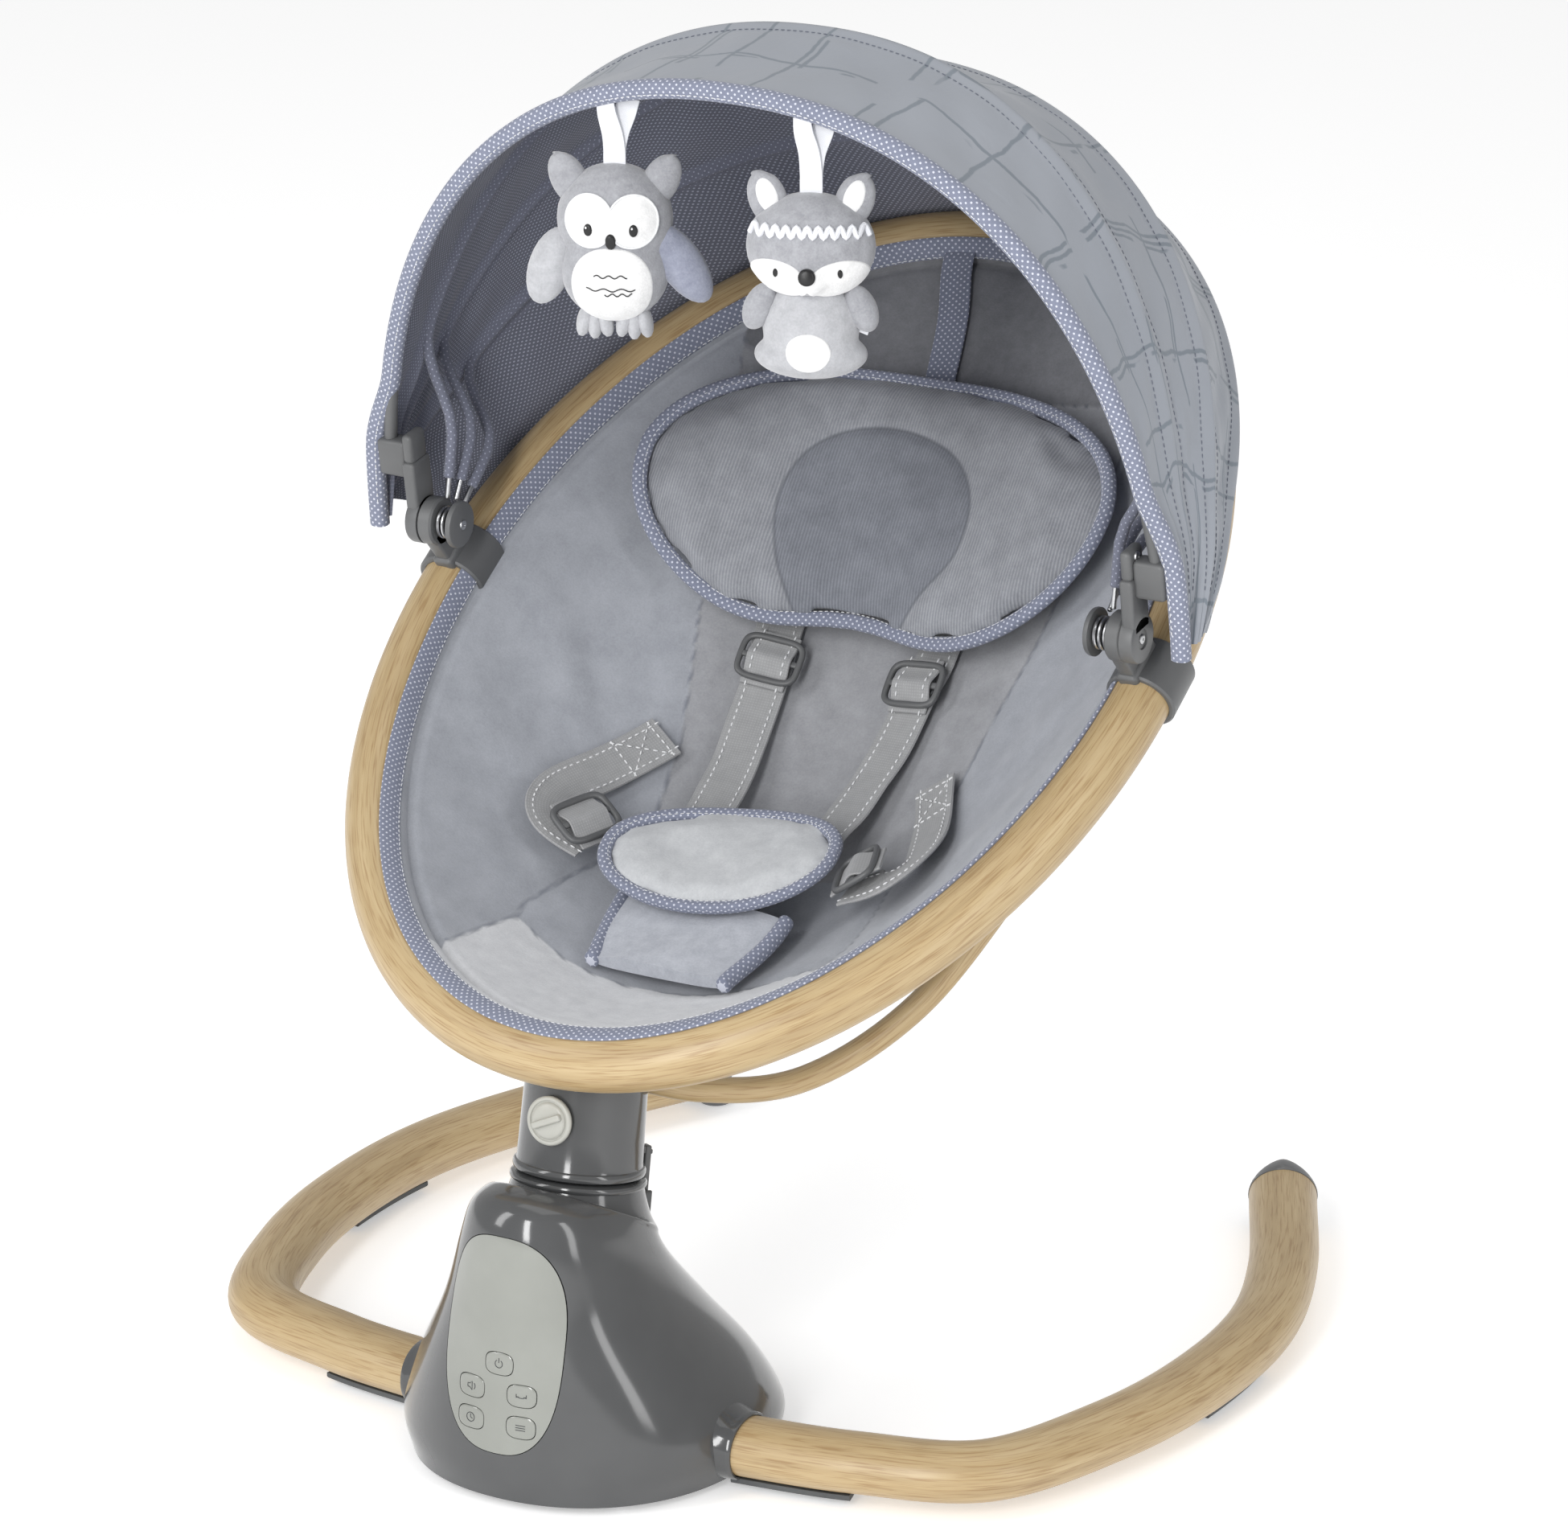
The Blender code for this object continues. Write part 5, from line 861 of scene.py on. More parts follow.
def housing_ring(section):
    front_y, front_z, rear_y, rear_z, half_width = section
    front, rear = Vector((0.0, front_y - CENTRE_Y, front_z)), Vector((0.0, rear_y - CENTRE_Y, rear_z))
    along = (rear - front).normalized()
    ring = []
    for k in range(HOUSING_STEPS):
        x, y = ellipse_power(2 * math.pi * k / HOUSING_STEPS, half_width, (rear - front).length / 2,
                             HOUSING_POWER)
        ring.append((front + rear) / 2 + Vector((x, 0.0, 0.0)) + along * y)
    return ring


def axis_ring(radius, height):
    angles = [2 * math.pi * k / HOUSING_STEPS for k in range(HOUSING_STEPS)]
    return [SEAM + AXIS * height + Vector((radius * math.cos(a), 0.0,
                                           0.0)) + AXIS_BACK * (radius * math.sin(a))
            for a in angles]


def housing_skin():
    main = [housing_ring(section) for section in HOUSING_SECTIONS] + [axis_ring(NECK_RADIUS, -0.018),
                                                                      axis_ring(0.0322, -0.0046)]
    columns = [spline_through([ring[k] for ring in main], 5) for k in range(len(main[0]))]
    rings = [list(ring) for ring in zip(*columns)]
    lip = [(0.0332, -0.0042), (0.0336, -0.0034), (0.0336, -0.0024), (0.0330, -0.0014), (0.0316, -0.0008),
           (0.0300, -0.0004), (0.0185, -0.0004)]
    rings += [axis_ring(radius, height) for radius, height in lip]
    return turned_out(skin("housing", rings, caps=False, sharp=50.0), Vector((0.0, -0.17, 0.08)))


def front_prism(outline):
    """A closed prism through the housing's front wall."""
    y = min(section[0] for section in HOUSING_SECTIONS) - CENTRE_Y
    rows = [[Vector((x, y + shift, z)) for x, z in outline] for shift in (-0.03, 0.04)]
    return skin("prism", rows, sharp=30.0)


def leg_points(side):
    route = [Vector((side * x, y - CENTRE_Y, LEG_CENTRE_Z)) for x, y in LEG_ROUTE]
    return spline_through(route, 14)


def leg_fairing(side):
    """The horn that the housing sends out round the end of a leg tube."""
    plan = [(0.046, 0.026, 0.030, 0.034), (0.058, 0.026, 0.027, 0.031), (0.068, 0.0245, 0.0235, 0.0275),
            (0.078, 0.0222, 0.0196, 0.0237), (0.086, 0.0204, 0.0172, 0.0214),
            (0.0915, 0.0196, 0.0162, 0.0206),
            (0.0935, 0.0195, 0.0161, 0.0206), (0.0942, 0.0190, 0.0156, 0.0206),
            (0.0942, 0.0181, 0.0147, 0.0206),
            (0.080, 0.0181, 0.0147, 0.0206)]
    rows = []
    for x, half_width, half_height, z in plan:
        y = -0.1695 - CENTRE_Y - (0.0911 - x) * 0.045
        ring = []
        for k in range(40):
            a, b = ellipse_power(2 * math.pi * k / 40, half_width, half_height, 2.2)
            ring.append(Vector((side * x, y + a, z + b)))
        rows.append(ring)
    return skin("fairing", rows, caps=False, sharp=50.0)


def build_housing():
    skin_mesh = housing_skin()
    front = surface_of(skin_mesh)
    shell = worked(skin_mesh, ('SOLIDIFY', {"thickness": 0.0025, "offset": -1.0, "use_even_offset": True}))
    cutters = [front_prism(outline_of(PANEL_HALF[0] + 0.0004, PANEL_HALF[1] + 0.0004, 2.6, 72,
                                      PANEL_CENTRE))]
    for side in SIDES.values():
        cutters.append(tube("socket", leg_points(side)[:24], LEG_HALF_WIDTH + GAP, sides=32,
                            half_height=LEG_HALF_HEIGHT + GAP, ends=False))
    shell = cut(shell, cutters)
    lug = Vector((math.cos(LATCH_TURN), 0.0, 0.0)) + AXIS_BACK * math.sin(LATCH_TURN)
    cheeks = []
    for shift in (-0.0044, 0.0044):
        place = frame_matrix(SEAM + AXIS * -0.020 + lug * (LATCH_RADIUS - 0.0017), AXIS, lug)
        cheeks.append(soft_box("cheek", (0.0022, 0.0090, 0.0200), place @ Matrix.Translation((shift, 0, 0)),
                               0.0008))
    cheeks.append(soft_box("back", (0.0110, 0.0030, 0.0200), place @ Matrix.Translation((0, -0.0030, 0)),
                           0.0008))
    whole = joined("housing_shell", [shell, *[leg_fairing(side) for side in SIDES.values()], *cheeks])
    piece("housing_shell", whole, "base", ABS, ["base_housing"])

    panel = patch("panel", outline_of(*PANEL_HALF, 2.6, 96, PANEL_CENTRE), front, 0.0, 0.0022, 0.985,
                  rings=8)
    holes = [front_prism(outline_of(KEY_HALF[0] + 0.0004, KEY_HALF[1] + 0.0004, 3.0, 40, centre))
             for centre in KEYS.values()]
    piece("control_fascia", cut(panel, holes), "base", PANEL, ["control_panel"])
    for word, centre in KEYS.items():
        key = patch("key", outline_of(*KEY_HALF, 3.0, 40, centre), front, 0.0003, 0.0030, 0.88, rings=3)
        piece(f"key_cap_{word}", key, f"key_{word}", PANEL, [f"button_{word}"])
        lines = []
        for stroke in key_icon(word):
            path = []
            for dx, dz in stroke:
                hit, normal, _, _ = front.ray_cast(Vector((centre[0] + dx * MM, -1.0, centre[1] + dz * MM)),
                                                   Vector((0, 1, 0)))
                path.append(hit + normal * 0.00036)
            lines.append(tube("stroke", path, 0.00020, (0, -1, 0.01), 6))
        piece(f"key_icon_{word}", joined("icon", lines), f"key_{word}", DARK_GAP)
    return front


def arc(radius, start, end, steps=14, centre=(0.0, 0.0)):
    angles = [math.radians(start + (end - start) * i / steps) for i in range(steps + 1)]
    return [(centre[0] + radius * math.cos(a), centre[1] + radius * math.sin(a)) for a in angles]


def key_icon(word):
    """Generic line icons in millimetres."""
    return {
        "power": [arc(2.0, 125, 415), [(0, 0.6), (0, 2.8)]],
        "sound": [[(-2.2, -0.9), (-1.0, -0.9), (0.4, -2.2), (0.4, 2.2), (-1.0, 0.9), (-2.2, 0.9),
                   (-2.2, -0.9)],
                  arc(2.2, -40, 40, 8)],
        "swing": [arc(4.0, 235, 305, 10, (0, 3.2)), [(-2.6, 1.0), (-2.6, -0.6), (-1.3, -0.2)],
                  [(2.6, 1.0), (2.6, -0.6), (1.3, -0.2)]],
        "timer": [arc(2.3, 0, 360, 20), [(0, 1.5), (0, 0), (1.1, -0.6)]],
        "mode": [[(-2.4, 1.2), (2.4, 1.2)], [(-2.4, 0), (2.4, 0)], [(-2.4, -1.2), (2.4, -1.2)]],
    }[word]


def build_latch():
    out = Vector((math.cos(LATCH_TURN), 0.0, 0.0)) + AXIS_BACK * math.sin(LATCH_TURN)
    place = frame_matrix(SEAM + AXIS * -0.002 + out * LATCH_RADIUS, AXIS, out)
    lever = soft_box("lever", (0.0060, 0.0036, 0.0280), place, 0.0009)
    grip = soft_box("grip", (0.0060, 0.0016, 0.0024), place @ Matrix.Translation((0, 0.0016, 0.0110)),
                    0.0006)
    tooth = soft_box("tooth", (0.0058, 0.0026, 0.0038), place @ Matrix.Translation((0, -0.0028, 0.0120)),
                     0.0006)
    piece("swing_lock_lever", joined("lever", [lever, grip, tooth]), "latch", GREY,
          ["swing_lock"])


# ---------- legs and feet
def build_legs():
    for word, side in SIDES.items():
        points = leg_points(side)
        mesh = tube("leg", points, LEG_HALF_WIDTH, sides=44, half_height=LEG_HALF_HEIGHT, ends=False)
        piece(f"leg_tube_{word}", mesh, "base", OAK, [f"leg_{word}"])
        end, heading = points[-1], (points[-1] - points[-2]).normalized()
        across = heading.cross(Vector((0, 0, 1)))
        rows = []
        for share in (0.0, 0.0, 0.02, 0.15, 0.3, 0.42, 0.54, 0.66, 0.77, 0.87, 0.94, 0.98, 0.998):
            width = (LEG_HALF_WIDTH + 0.0004) * (1 - share ** 1.8) ** 0.85
            height = (LEG_HALF_HEIGHT + 0.0004) * (1 - share ** 2.6) ** 0.5
            if not rows:
                width, height = width * 0.8, height * 0.8
            ring = []
            for k in range(44):
                a, b = ellipse_power(2 * math.pi * k / 44, max(width, 0.0003), max(height, 0.0003), 2.0)
                ridge = 0.0012 * math.exp(-(a / 0.004) ** 2) if b > 0 and share > 0.01 else 0.0
                ring.append(end + heading * (GAP + share * (CAP_LENGTH - GAP)) + across * a
                            + Vector((0, 0, b + ridge * (1 - share))))
            rows.append(ring)
        cap = skin("cap", rows, sharp=50.0)
        toe = Matrix.Translation(Vector((end.x, end.y, 0.0)) + heading * 0.017)
        foot = lathe("toe", [(0, 0.0), (0.0085, 0.0), (0.0105, 0.0014), (0.0118, 0.0040), (0.0112, 0.0085),
                             (0, 0.0120)],
                     toe, 40)
        piece(f"leg_nose_{word}", joined("nose", [cap, foot]), "base", GREY,
              [f"leg_cap_{word}"])
        for where, (first, last, half) in PAD_SHARES.items():
            chosen = points[int(first * len(points)) + 3:int(last * len(points)) - 2]
            top = LEG_CENTRE_Z - LEG_HALF_HEIGHT + 0.0006
            rows = []
            for point, edge, _ in frames(chosen, Vector((0, 0, 1))):
                low = Vector((point.x, point.y, 0.0035))
                rows.append([low + edge * a + Vector((0, 0, b)) for a, b in
                             ((-half, top - 0.0035), (-half, 0.0010), (-half + 0.001, 0.0),
                              (half - 0.001, 0.0),
                              (half, 0.0010), (half, top - 0.0035))])
            piece(f"floor_pad_{where}_{word}", skin("pad", rows, sharp=30.0), "base", RUBBER,
                  [f"leg_pad_{where}_{word}"])
    foot = soft_box("foot", (0.074, 0.011, 0.0042), Matrix.Translation((0.0, -0.2456, 0.0021)), 0.0015)
    piece("front_floor_foot", foot, "base", RUBBER, ["housing_foot"])


# ---------- column, knob, hoop, bow
def bow_route():
    u = HOOP_HALF_WIDTH * math.sqrt(1 - (BOW_END_V / (HOOP_LENGTH / 2)) ** 2)
    half = [Vector((x, y - CENTRE_Y, z)) for x, y, z in BOW_ROUTE] + [on_plane(u, BOW_END_V)]
    whole = [Vector((-point.x, point.y, point.z)) for point in reversed(half[1:])] + half
    return spline_through(whole, 12)


def build_column():
    profile = [(0.0120, 0.0004), (0.0308, 0.0004), (0.0322, 0.0012), (0.0326, 0.0024), (0.0326, 0.0038),
               (0.0320, 0.0049), (0.0311, 0.0053), (0.0309, 0.0065), (0.0306, 0.020), (0.0302, 0.040),
               (0.0297, 0.060),
               (0.0296, 0.0665), (0.0290, 0.0685), (0.0276, 0.0698), (0.0240, 0.0702), (0, 0.0704)]
    piece("column_tube", lathe("column", profile, frame_matrix(SEAM, AXIS, AXIS_BACK), 96), "seat", ABS,
          ["swing_column", "seat_bracket"])
    place = frame_matrix(SEAM + AXIS * KNOB_HEIGHT - AXIS_BACK * COLUMN_RADIUS, -AXIS_BACK, AXIS)
    turned = lathe("knob",
                   [(0, 0.0003), (0.0114, 0.0003), (0.0121, 0.0008), (0.0122, 0.0022), (0.0117, 0.0030),
                            (0.0106, 0.0033), (0.0101, 0.0030), (0.0098, 0.0024), (0.0093, 0.0024),
                            (0.0090, 0.0032),
                            (0.0078, 0.0038), (0.0050, 0.0041), (0, 0.0042)], place, 64, 60.0)
    bar = soft_box("bar", (0.0165, 0.0036, 0.0034),
                   place @ Matrix.Rotation(math.radians(25.0), 4, 'Z') @ Matrix.Translation((0, 0, 0.0046)),
                   0.0010)
    piece("knob_cap", joined("knob", [turned, bar]), "knob", WHITE, ["lock_knob"])
    hoop = tube("hoop", [hoop_point(2 * math.pi * i / 240) for i in range(240)], HOOP_TUBE_RADIUS,
                HOOP_NORMAL, 32,
                cyclic=True)
    piece("hoop_tube", hoop, "seat", OAK, ["seat_hoop"])
    bow = tube("bow", bow_route(), BOW_RADIUS, (0, 0.3, 1), 20, ends=False)
    piece("support_bow_tube", bow, "seat", OAK, ["support_bow"])


# ---------- sling
BACK_PANEL = [(-0.064, -0.087), (-0.068, -0.071), (-0.074, -0.026), (-0.081, 0.004), (-0.090, 0.042),
              (-0.106, 0.127),
              (-0.120, 0.198), (-0.130, 0.270), (0.130, 0.270), (0.120, 0.198), (0.112, 0.127),
              (0.104, 0.053),
              (0.095, 0.013), (0.091, -0.020), (0.088, -0.045), (0.080, -0.087)]
FOOT_PANEL = [(-0.088, -0.300), (-0.088, -0.226), (-0.089, -0.198), (-0.085, -0.175), (-0.072, -0.181),
              (-0.053, -0.189),
              (-0.034, -0.192), (-0.017, -0.192), (0.004, -0.190), (0.026, -0.186), (0.052, -0.175),
              (0.074, -0.164),
              (0.088, -0.170), (0.091, -0.198), (0.088, -0.226), (0.088, -0.300)]
# the head end of the sling, painted darker as shade under the canopy
SHADED_HEAD_PANEL = [(-0.118, 0.185), (0.118, 0.185), (0.130, 0.270), (-0.130, 0.270)]
SEAMS = [BACK_PANEL[0:8], BACK_PANEL[8:16], FOOT_PANEL[1:15],
         [(-0.064, -0.087), (-0.075, -0.105), (-0.084, -0.134), (-0.088, -0.164), (-0.085, -0.175)],
         [(0.080, -0.087), (0.084, -0.120), (0.086, -0.145), (0.082, -0.166)],
         [(-0.118, 0.185), (0.118, 0.185)]]
FOLDS = [([(-0.167, 0.022), (-0.149, 0.005), (-0.126, -0.024), (-0.099, -0.051)], 0.0022, 0.010),
         ([(-0.170, -0.051), (-0.153, -0.068), (-0.136, -0.079), (-0.110, -0.090)], 0.0018, 0.009),
         ([(-0.130, -0.004), (-0.114, -0.030), (-0.090, -0.062)], -0.0016, 0.007),
         ([(-0.166, 0.088), (-0.160, 0.044), (-0.150, -0.001)], 0.0016, 0.013),
         ([(-0.150, 0.110), (-0.125, 0.070), (-0.105, 0.030)], -0.0014, 0.010),
         ([(0.160, 0.030), (0.140, 0.002), (0.112, -0.035)], 0.0020, 0.010),
         ([(0.165, -0.040), (0.145, -0.068), (0.118, -0.095)], 0.0018, 0.009),
         ([(0.150, -0.100), (0.130, -0.130), (0.100, -0.150)], -0.0014, 0.009),
         ([(-0.150, -0.120), (-0.125, -0.140), (-0.095, -0.150)], 0.0016, 0.008),
         ([(-0.050, -0.060), (-0.020, -0.090), (0.030, -0.095)], -0.0012, 0.012),
         ([(-0.060, -0.215), (-0.020, -0.225), (0.040, -0.215)], 0.0012, 0.009)]


def sling_relief(u, v):
    """How far the cloth stands off the plain bowl: sunk seams with puckers, soft folds."""
    seam = min(distance_to(path, u, v)[0] for path in SEAMS)
    run = 55.0 * (u + 1.7 * v)
    height = -0.0014 * math.exp(-(seam / 0.0028) ** 2) + 0.0006 * math.exp(-((seam - 0.010) / 0.006) ** 2)
    height += 0.00035 * math.sin(run * 9.0) * math.exp(-(seam / 0.007) ** 2)
    for path, lift, width in FOLDS:
        away, share = distance_to(path, u, v)
        along = min(1.0, max(0.0, 0.12 + 0.76 * share))
        height += lift * math.exp(-(away / width) ** 2) * math.sin(math.pi * along)
    edge = 1.0 - math.sqrt((u / BOWL_HALF_U) ** 2 + (v / BOWL_HALF_V) ** 2)
    return height * min(1.0, max(0.0, edge / 0.06)), seam


def binding_arc(angle):
    """(lower, upper) place of the bound edge on the tube, from inwards up, in degrees."""
    upper = 50.0 + 40.0 * max(0.0, -math.sin(angle)) ** 2
    return upper - 41.0, upper


def on_tube(angle, degrees, radius):
    turn = math.radians(degrees)
    return hoop_point(angle) + (hoop_inwards(angle) * math.cos(turn) + HOOP_NORMAL * math.sin(turn)) * radius


def build_sling():
    around, rows, notes = 288, [], {"back": [], "foot": [], "head": [], "seam": []}
    shares = [0.015] + [i / 52 for i in range(1, 52)] + [0.994]
    angles = [2 * math.pi * k / around for k in range(around)]
    panels = {"back": BACK_PANEL, "foot": FOOT_PANEL, "head": SHADED_HEAD_PANEL}
    for share in shares:
        row = []
        for angle in angles:
            u, v = share * BOWL_HALF_U * math.cos(angle), share * BOWL_HALF_V * math.sin(angle)
            lift, seam = sling_relief(u, v)
            row.append(on_bowl(u, v, lift))
            notes["seam"].append(seam)
            for name, outline in panels.items():
                away = distance_to(outline + outline[:1], u, v)[0]
                notes[name].append(away if inside_of(outline, u, v) else -away)
        rows.append(row)
    rim = []
    for part in (0.0, 0.25, 0.5, 0.75, 1.0):
        rim.append([on_tube(angle, -6.0 + part * (binding_arc(angle)[0] + 12.0), HOOP_TUBE_RADIUS + 0.0009)
                    for angle in angles])
    rim.append([on_tube(angle, binding_arc(angle)[0] + 6.0, HOOP_TUBE_RADIUS + 0.0002) for angle in angles])
    rim.append([on_tube(angle, -20.0, HOOP_TUBE_RADIUS + 0.0003) for angle in angles])
    rim.append([on_tube(angle, -38.0, HOOP_TUBE_RADIUS + 0.0012) for angle in angles])
    under = []
    for share in (0.985, 0.96, 0.92, 0.86, 0.8, 0.72, 0.64, 0.56, 0.48, 0.40, 0.32, 0.24, 0.16, 0.08, 0.015):
        under.append([on_bowl(share * BOWL_HALF_U * math.cos(a), share * BOWL_HALF_V * math.sin(a),
                              -BOWL_THICKNESS) for a in angles])
    edge_notes = {}
    for name, outline in panels.items():
        edge_notes[name] = []
        for angle in angles:
            u, v = BOWL_HALF_U * math.cos(angle), BOWL_HALF_V * math.sin(angle)
            away = distance_to(outline + outline[:1], u, v)[0]
            edge_notes[name].append(away if inside_of(outline, u, v) else -away)
    for _ in rim + under:
        for name in panels:
            notes[name] += edge_notes[name]
        notes["seam"] += [0.01] * around
    bm = bmesh.new()
    made = [[bm.verts.new(point) for point in row] for row in rows + rim + under]
    for low, high in zip(made, made[1:]):
        for k in range(around):
            bm.faces.new((low[k], low[(k + 1) % around], high[(k + 1) % around], high[k]))
    bm.faces.new(reversed(made[0]))
    bm.faces.new(made[-1])
    bmesh.ops.recalc_face_normals(bm, faces=bm.faces)
    mesh = bpy.data.meshes.new("sling")
    bm.to_mesh(mesh)
    bm.free()
    mesh.shade_smooth()
    for name, values in notes.items():
        mesh.attributes.new(name, 'FLOAT', 'POINT').data.foreach_set("value", values)
    sling = piece("sling_cover", mesh, "seat", SLING, ["seat_sling"])

    band = []
    for angle in angles:
        low, high = binding_arc(angle)
        proud, skin_radius = HOOP_TUBE_RADIUS + 0.0014, HOOP_TUBE_RADIUS + 0.0001
        section = [(low, skin_radius), (low - 0.8, proud - 0.0004), (low + 1.2, proud)]
        section += [(low + (high - low) * k / 8, proud) for k in range(1, 8)]
        section += [(high - 1.2, proud), (high + 0.8, proud - 0.0004), (high, skin_radius)]
        band.append([on_tube(angle, degrees, radius) for degrees, radius in section])
    tape = skin("binding", band, True, True)
    piece("sling_binding", tape, "seat", DOTTED)
    path = [[on_tube(angle, binding_arc(angle)[0] + 4.0,
                     HOOP_TUBE_RADIUS + 0.0015) for angle in angles + angles[:1]]]
    repeated("sling_binding_stitches", STITCHES, path, 0.0032, thread_bead(0.0022, 0.00055), WHITE_THREAD_AND_GLINT, "seat")


# ---------- straps and sliders
def strap_route(stops, per_span=10):
    """(point, side direction, facing) along (u, v, lift) stops."""
    stops = spline_through([Vector(stop) for stop in stops], per_span)
    points = [on_bowl(stop[0], stop[1], stop[2]) for stop in stops]
    route = []
    for i, stop in enumerate(stops):
        ahead = (points[min(i + 1, len(points) - 1)] - points[max(i - 1, 0)]).normalized()
        facing = bowl_normal(stop[0], stop[1])
        side = facing.cross(ahead).normalized()
        route.append((points[i], side, ahead.cross(side)))
    return route


def strap(name, route, width, thickness, wave=0.0):
    """A flat strap with thin rounded selvedges."""
    rows = []
    half, thin = width / 2, thickness / 2
    section = [(-half, 0.0), (-half + thin * 0.6, thin), (-half * 0.5, thin), (0.0, thin),
               (half * 0.5, thin),
               (half - thin * 0.6, thin), (half, 0.0), (half - thin * 0.6, -thin), (half * 0.5, -thin),
               (0.0, -thin),
               (-half * 0.5, -thin), (-half + thin * 0.6, -thin)]
    for i, (point, side, facing) in enumerate(route):
        twist = wave * math.sin(i * 0.37)
        rows.append([point + side * a + facing * (b + twist * a / half) for a, b in section])
    return skin(name, rows, sharp=50.0)


def stitch_line(route, offset, lift):
    return [point + side * offset + facing * lift for point, side, facing in route]


def slider(matrix):
    """A rounded tri-glide frame 35 by 26 mm with a bar across its middle."""
    rows, steps = [], 56
    for k in range(steps):
        x, y = ellipse_power(2 * math.pi * k / steps, 0.0160, 0.0115, 4.5)
        nx, ny = ellipse_power(2 * math.pi * k / steps, 1.0, 1.0, 4.5)
        out = Vector((nx, ny, 0.0)).normalized()
        ring = []
        for j in range(10):
            a, b = ellipse_power(2 * math.pi * j / 10, 0.0017, 0.0015, 3.0)
            ring.append(matrix @ (Vector((x, y, b)) + out * a))
        rows.append(ring)
    frame_mesh = skin("slider", rows, True, True, sharp=50.0)
    bar = soft_box("bar", (0.0320, 0.0034, 0.0024), matrix, 0.0009)
    return joined("slider", [frame_mesh, bar])


def web_over_bar(matrix):
    """The webbing that rises over a slider's bar and dives under both rails."""
    route = []
    for k in range(25):
        y = -0.0150 + 0.0300 * k / 24
        z = 0.0022 * math.exp(-(y / 0.0052) ** 2) + 0.0002 - 0.0026 * (1 - math.exp(-(y / 0.009) ** 2))
        route.append((matrix @ Vector((0, y, z)), matrix.to_3x3().col[0].normalized(),
                      matrix.to_3x3().col[2].normalized()))
    return route


def build_harness():
    dashes = []
    for word, side in SIDES.items():
        stops = [(side * u, v, lift) for u, v, lift in SHOULDER_STOPS]
        route = strap_route(stops)
        u, v, lift = (0.0440, 0.028, 0.0110)
        place = bowl_matrix(side * u, v, lift)
        over = web_over_bar(place)
        web = joined("web", [strap("web", route, WEB_WIDTH, WEB_THICKNESS, 0.0004),
                             strap("web_loop", over, WEB_WIDTH - 0.001, 0.0013)])
        piece(f"shoulder_web_{word}", web, "seat", WEBBING, [f"shoulder_strap_{word}"])
        piece(f"shoulder_glide_{word}", slider(place), "seat", GREY,
              [f"shoulder_slider_{word}"])
        for offset in (-0.0085, 0.0085):
            dashes.append(stitch_line(route, offset, WEB_THICKNESS / 2 + 0.0001))
            dashes.append(stitch_line(over, offset, 0.0008))
        stops = [(side * u, v, lift) for u, v, lift in WAIST_STOPS]
        route = strap_route(stops)
        u, v, lift = (0.0900, -0.114, 0.0250)
        place = bowl_matrix(side * u, v, lift, side * math.radians(-66.0))
        over = web_over_bar(place)
        web = joined("web", [strap("web", route, WEB_WIDTH, WEB_THICKNESS, 0.0005),
                             strap("web_loop", over, WEB_WIDTH - 0.001, 0.0013)])
        piece(f"waist_web_{word}", web, "seat", WEBBING, [f"waist_strap_{word}"])
        piece(f"waist_glide_{word}", slider(place), "seat", GREY,
              [f"waist_slider_{word}"])
        for offset in (-0.0085, 0.0085):
            dashes.append(stitch_line(route, offset, WEB_THICKNESS / 2 + 0.0001))
        box = strap_route(stops)[1:8]
        corners = [box[0], box[-1]]
        ends = [[corner[0] + corner[1] * a + corner[2] * 0.0010 for a in (-0.0105,
                                                                          0.0105)] for corner in corners]
        dashes += [[ends[0][0], ends[0][1]], [ends[1][0], ends[1][1]], [ends[0][0], ends[1][1]],
                   [ends[0][1], ends[1][0]]]
    repeated("harness_dashes", STITCHES, dashes, 0.0041, thread_bead(0.0029, 0.0010), WHITE_THREAD_AND_GLINT, "seat")
    hang = strap_route([(-0.004, 0.168, 0.0045), (-0.007, 0.194, 0.0030), (-0.012, 0.224, 0.0030),
                        (-0.020, 0.250, 0.0040), (-0.022, 0.262, 0.0060)])
    piece("pillow_hanger", strap("hanger", hang, 0.017, 0.0012), "seat", DOTTED)


# ---------- pads
def pillow_outline():
    points, count = [], 120
    for i in range(count):
        c, s = math.cos(2 * math.pi * i / count), math.sin(2 * math.pi * i / count)
        u = PILLOW_HALF[0] * math.copysign(abs(c) ** 0.78, c) * (1.0 - 0.12 * max(0.0, s))
        v = PILLOW_HALF[1] * math.copysign(abs(s) ** 0.85, s)
        notch = 0.015 * max(0.0, -s) ** 4 * math.exp(-(u / 0.05) ** 2)
        points.append((u, PILLOW_CENTRE_V + v + notch))
    return points


def pad_form(outline, centre, lift, thickness, edge=0.0032, steps=10):
    """A closed pad on the sling's shape, thin at its bound edge."""
    plan = [(max(0.02, k / steps), lift) for k in range(steps)] + [(1.0, lift + edge * 0.2),
                                                                   (1.0, lift + edge * 0.8)]
    plan += [(max(0.02, 1 - (k + 1) / steps),
              lift + edge + (thickness - edge) * math.sqrt(max(0.0, 1 - (1 - (k + 1) / steps) ** 2.5)))
             for k in range(steps)]
    rows = [[on_bowl(centre[0] + (u - centre[0]) * share, centre[1] + (v - centre[1]) * share, height)
             for u, v in outline] for share, height in plan]
    return skin("pad", rows, sharp=80.0)


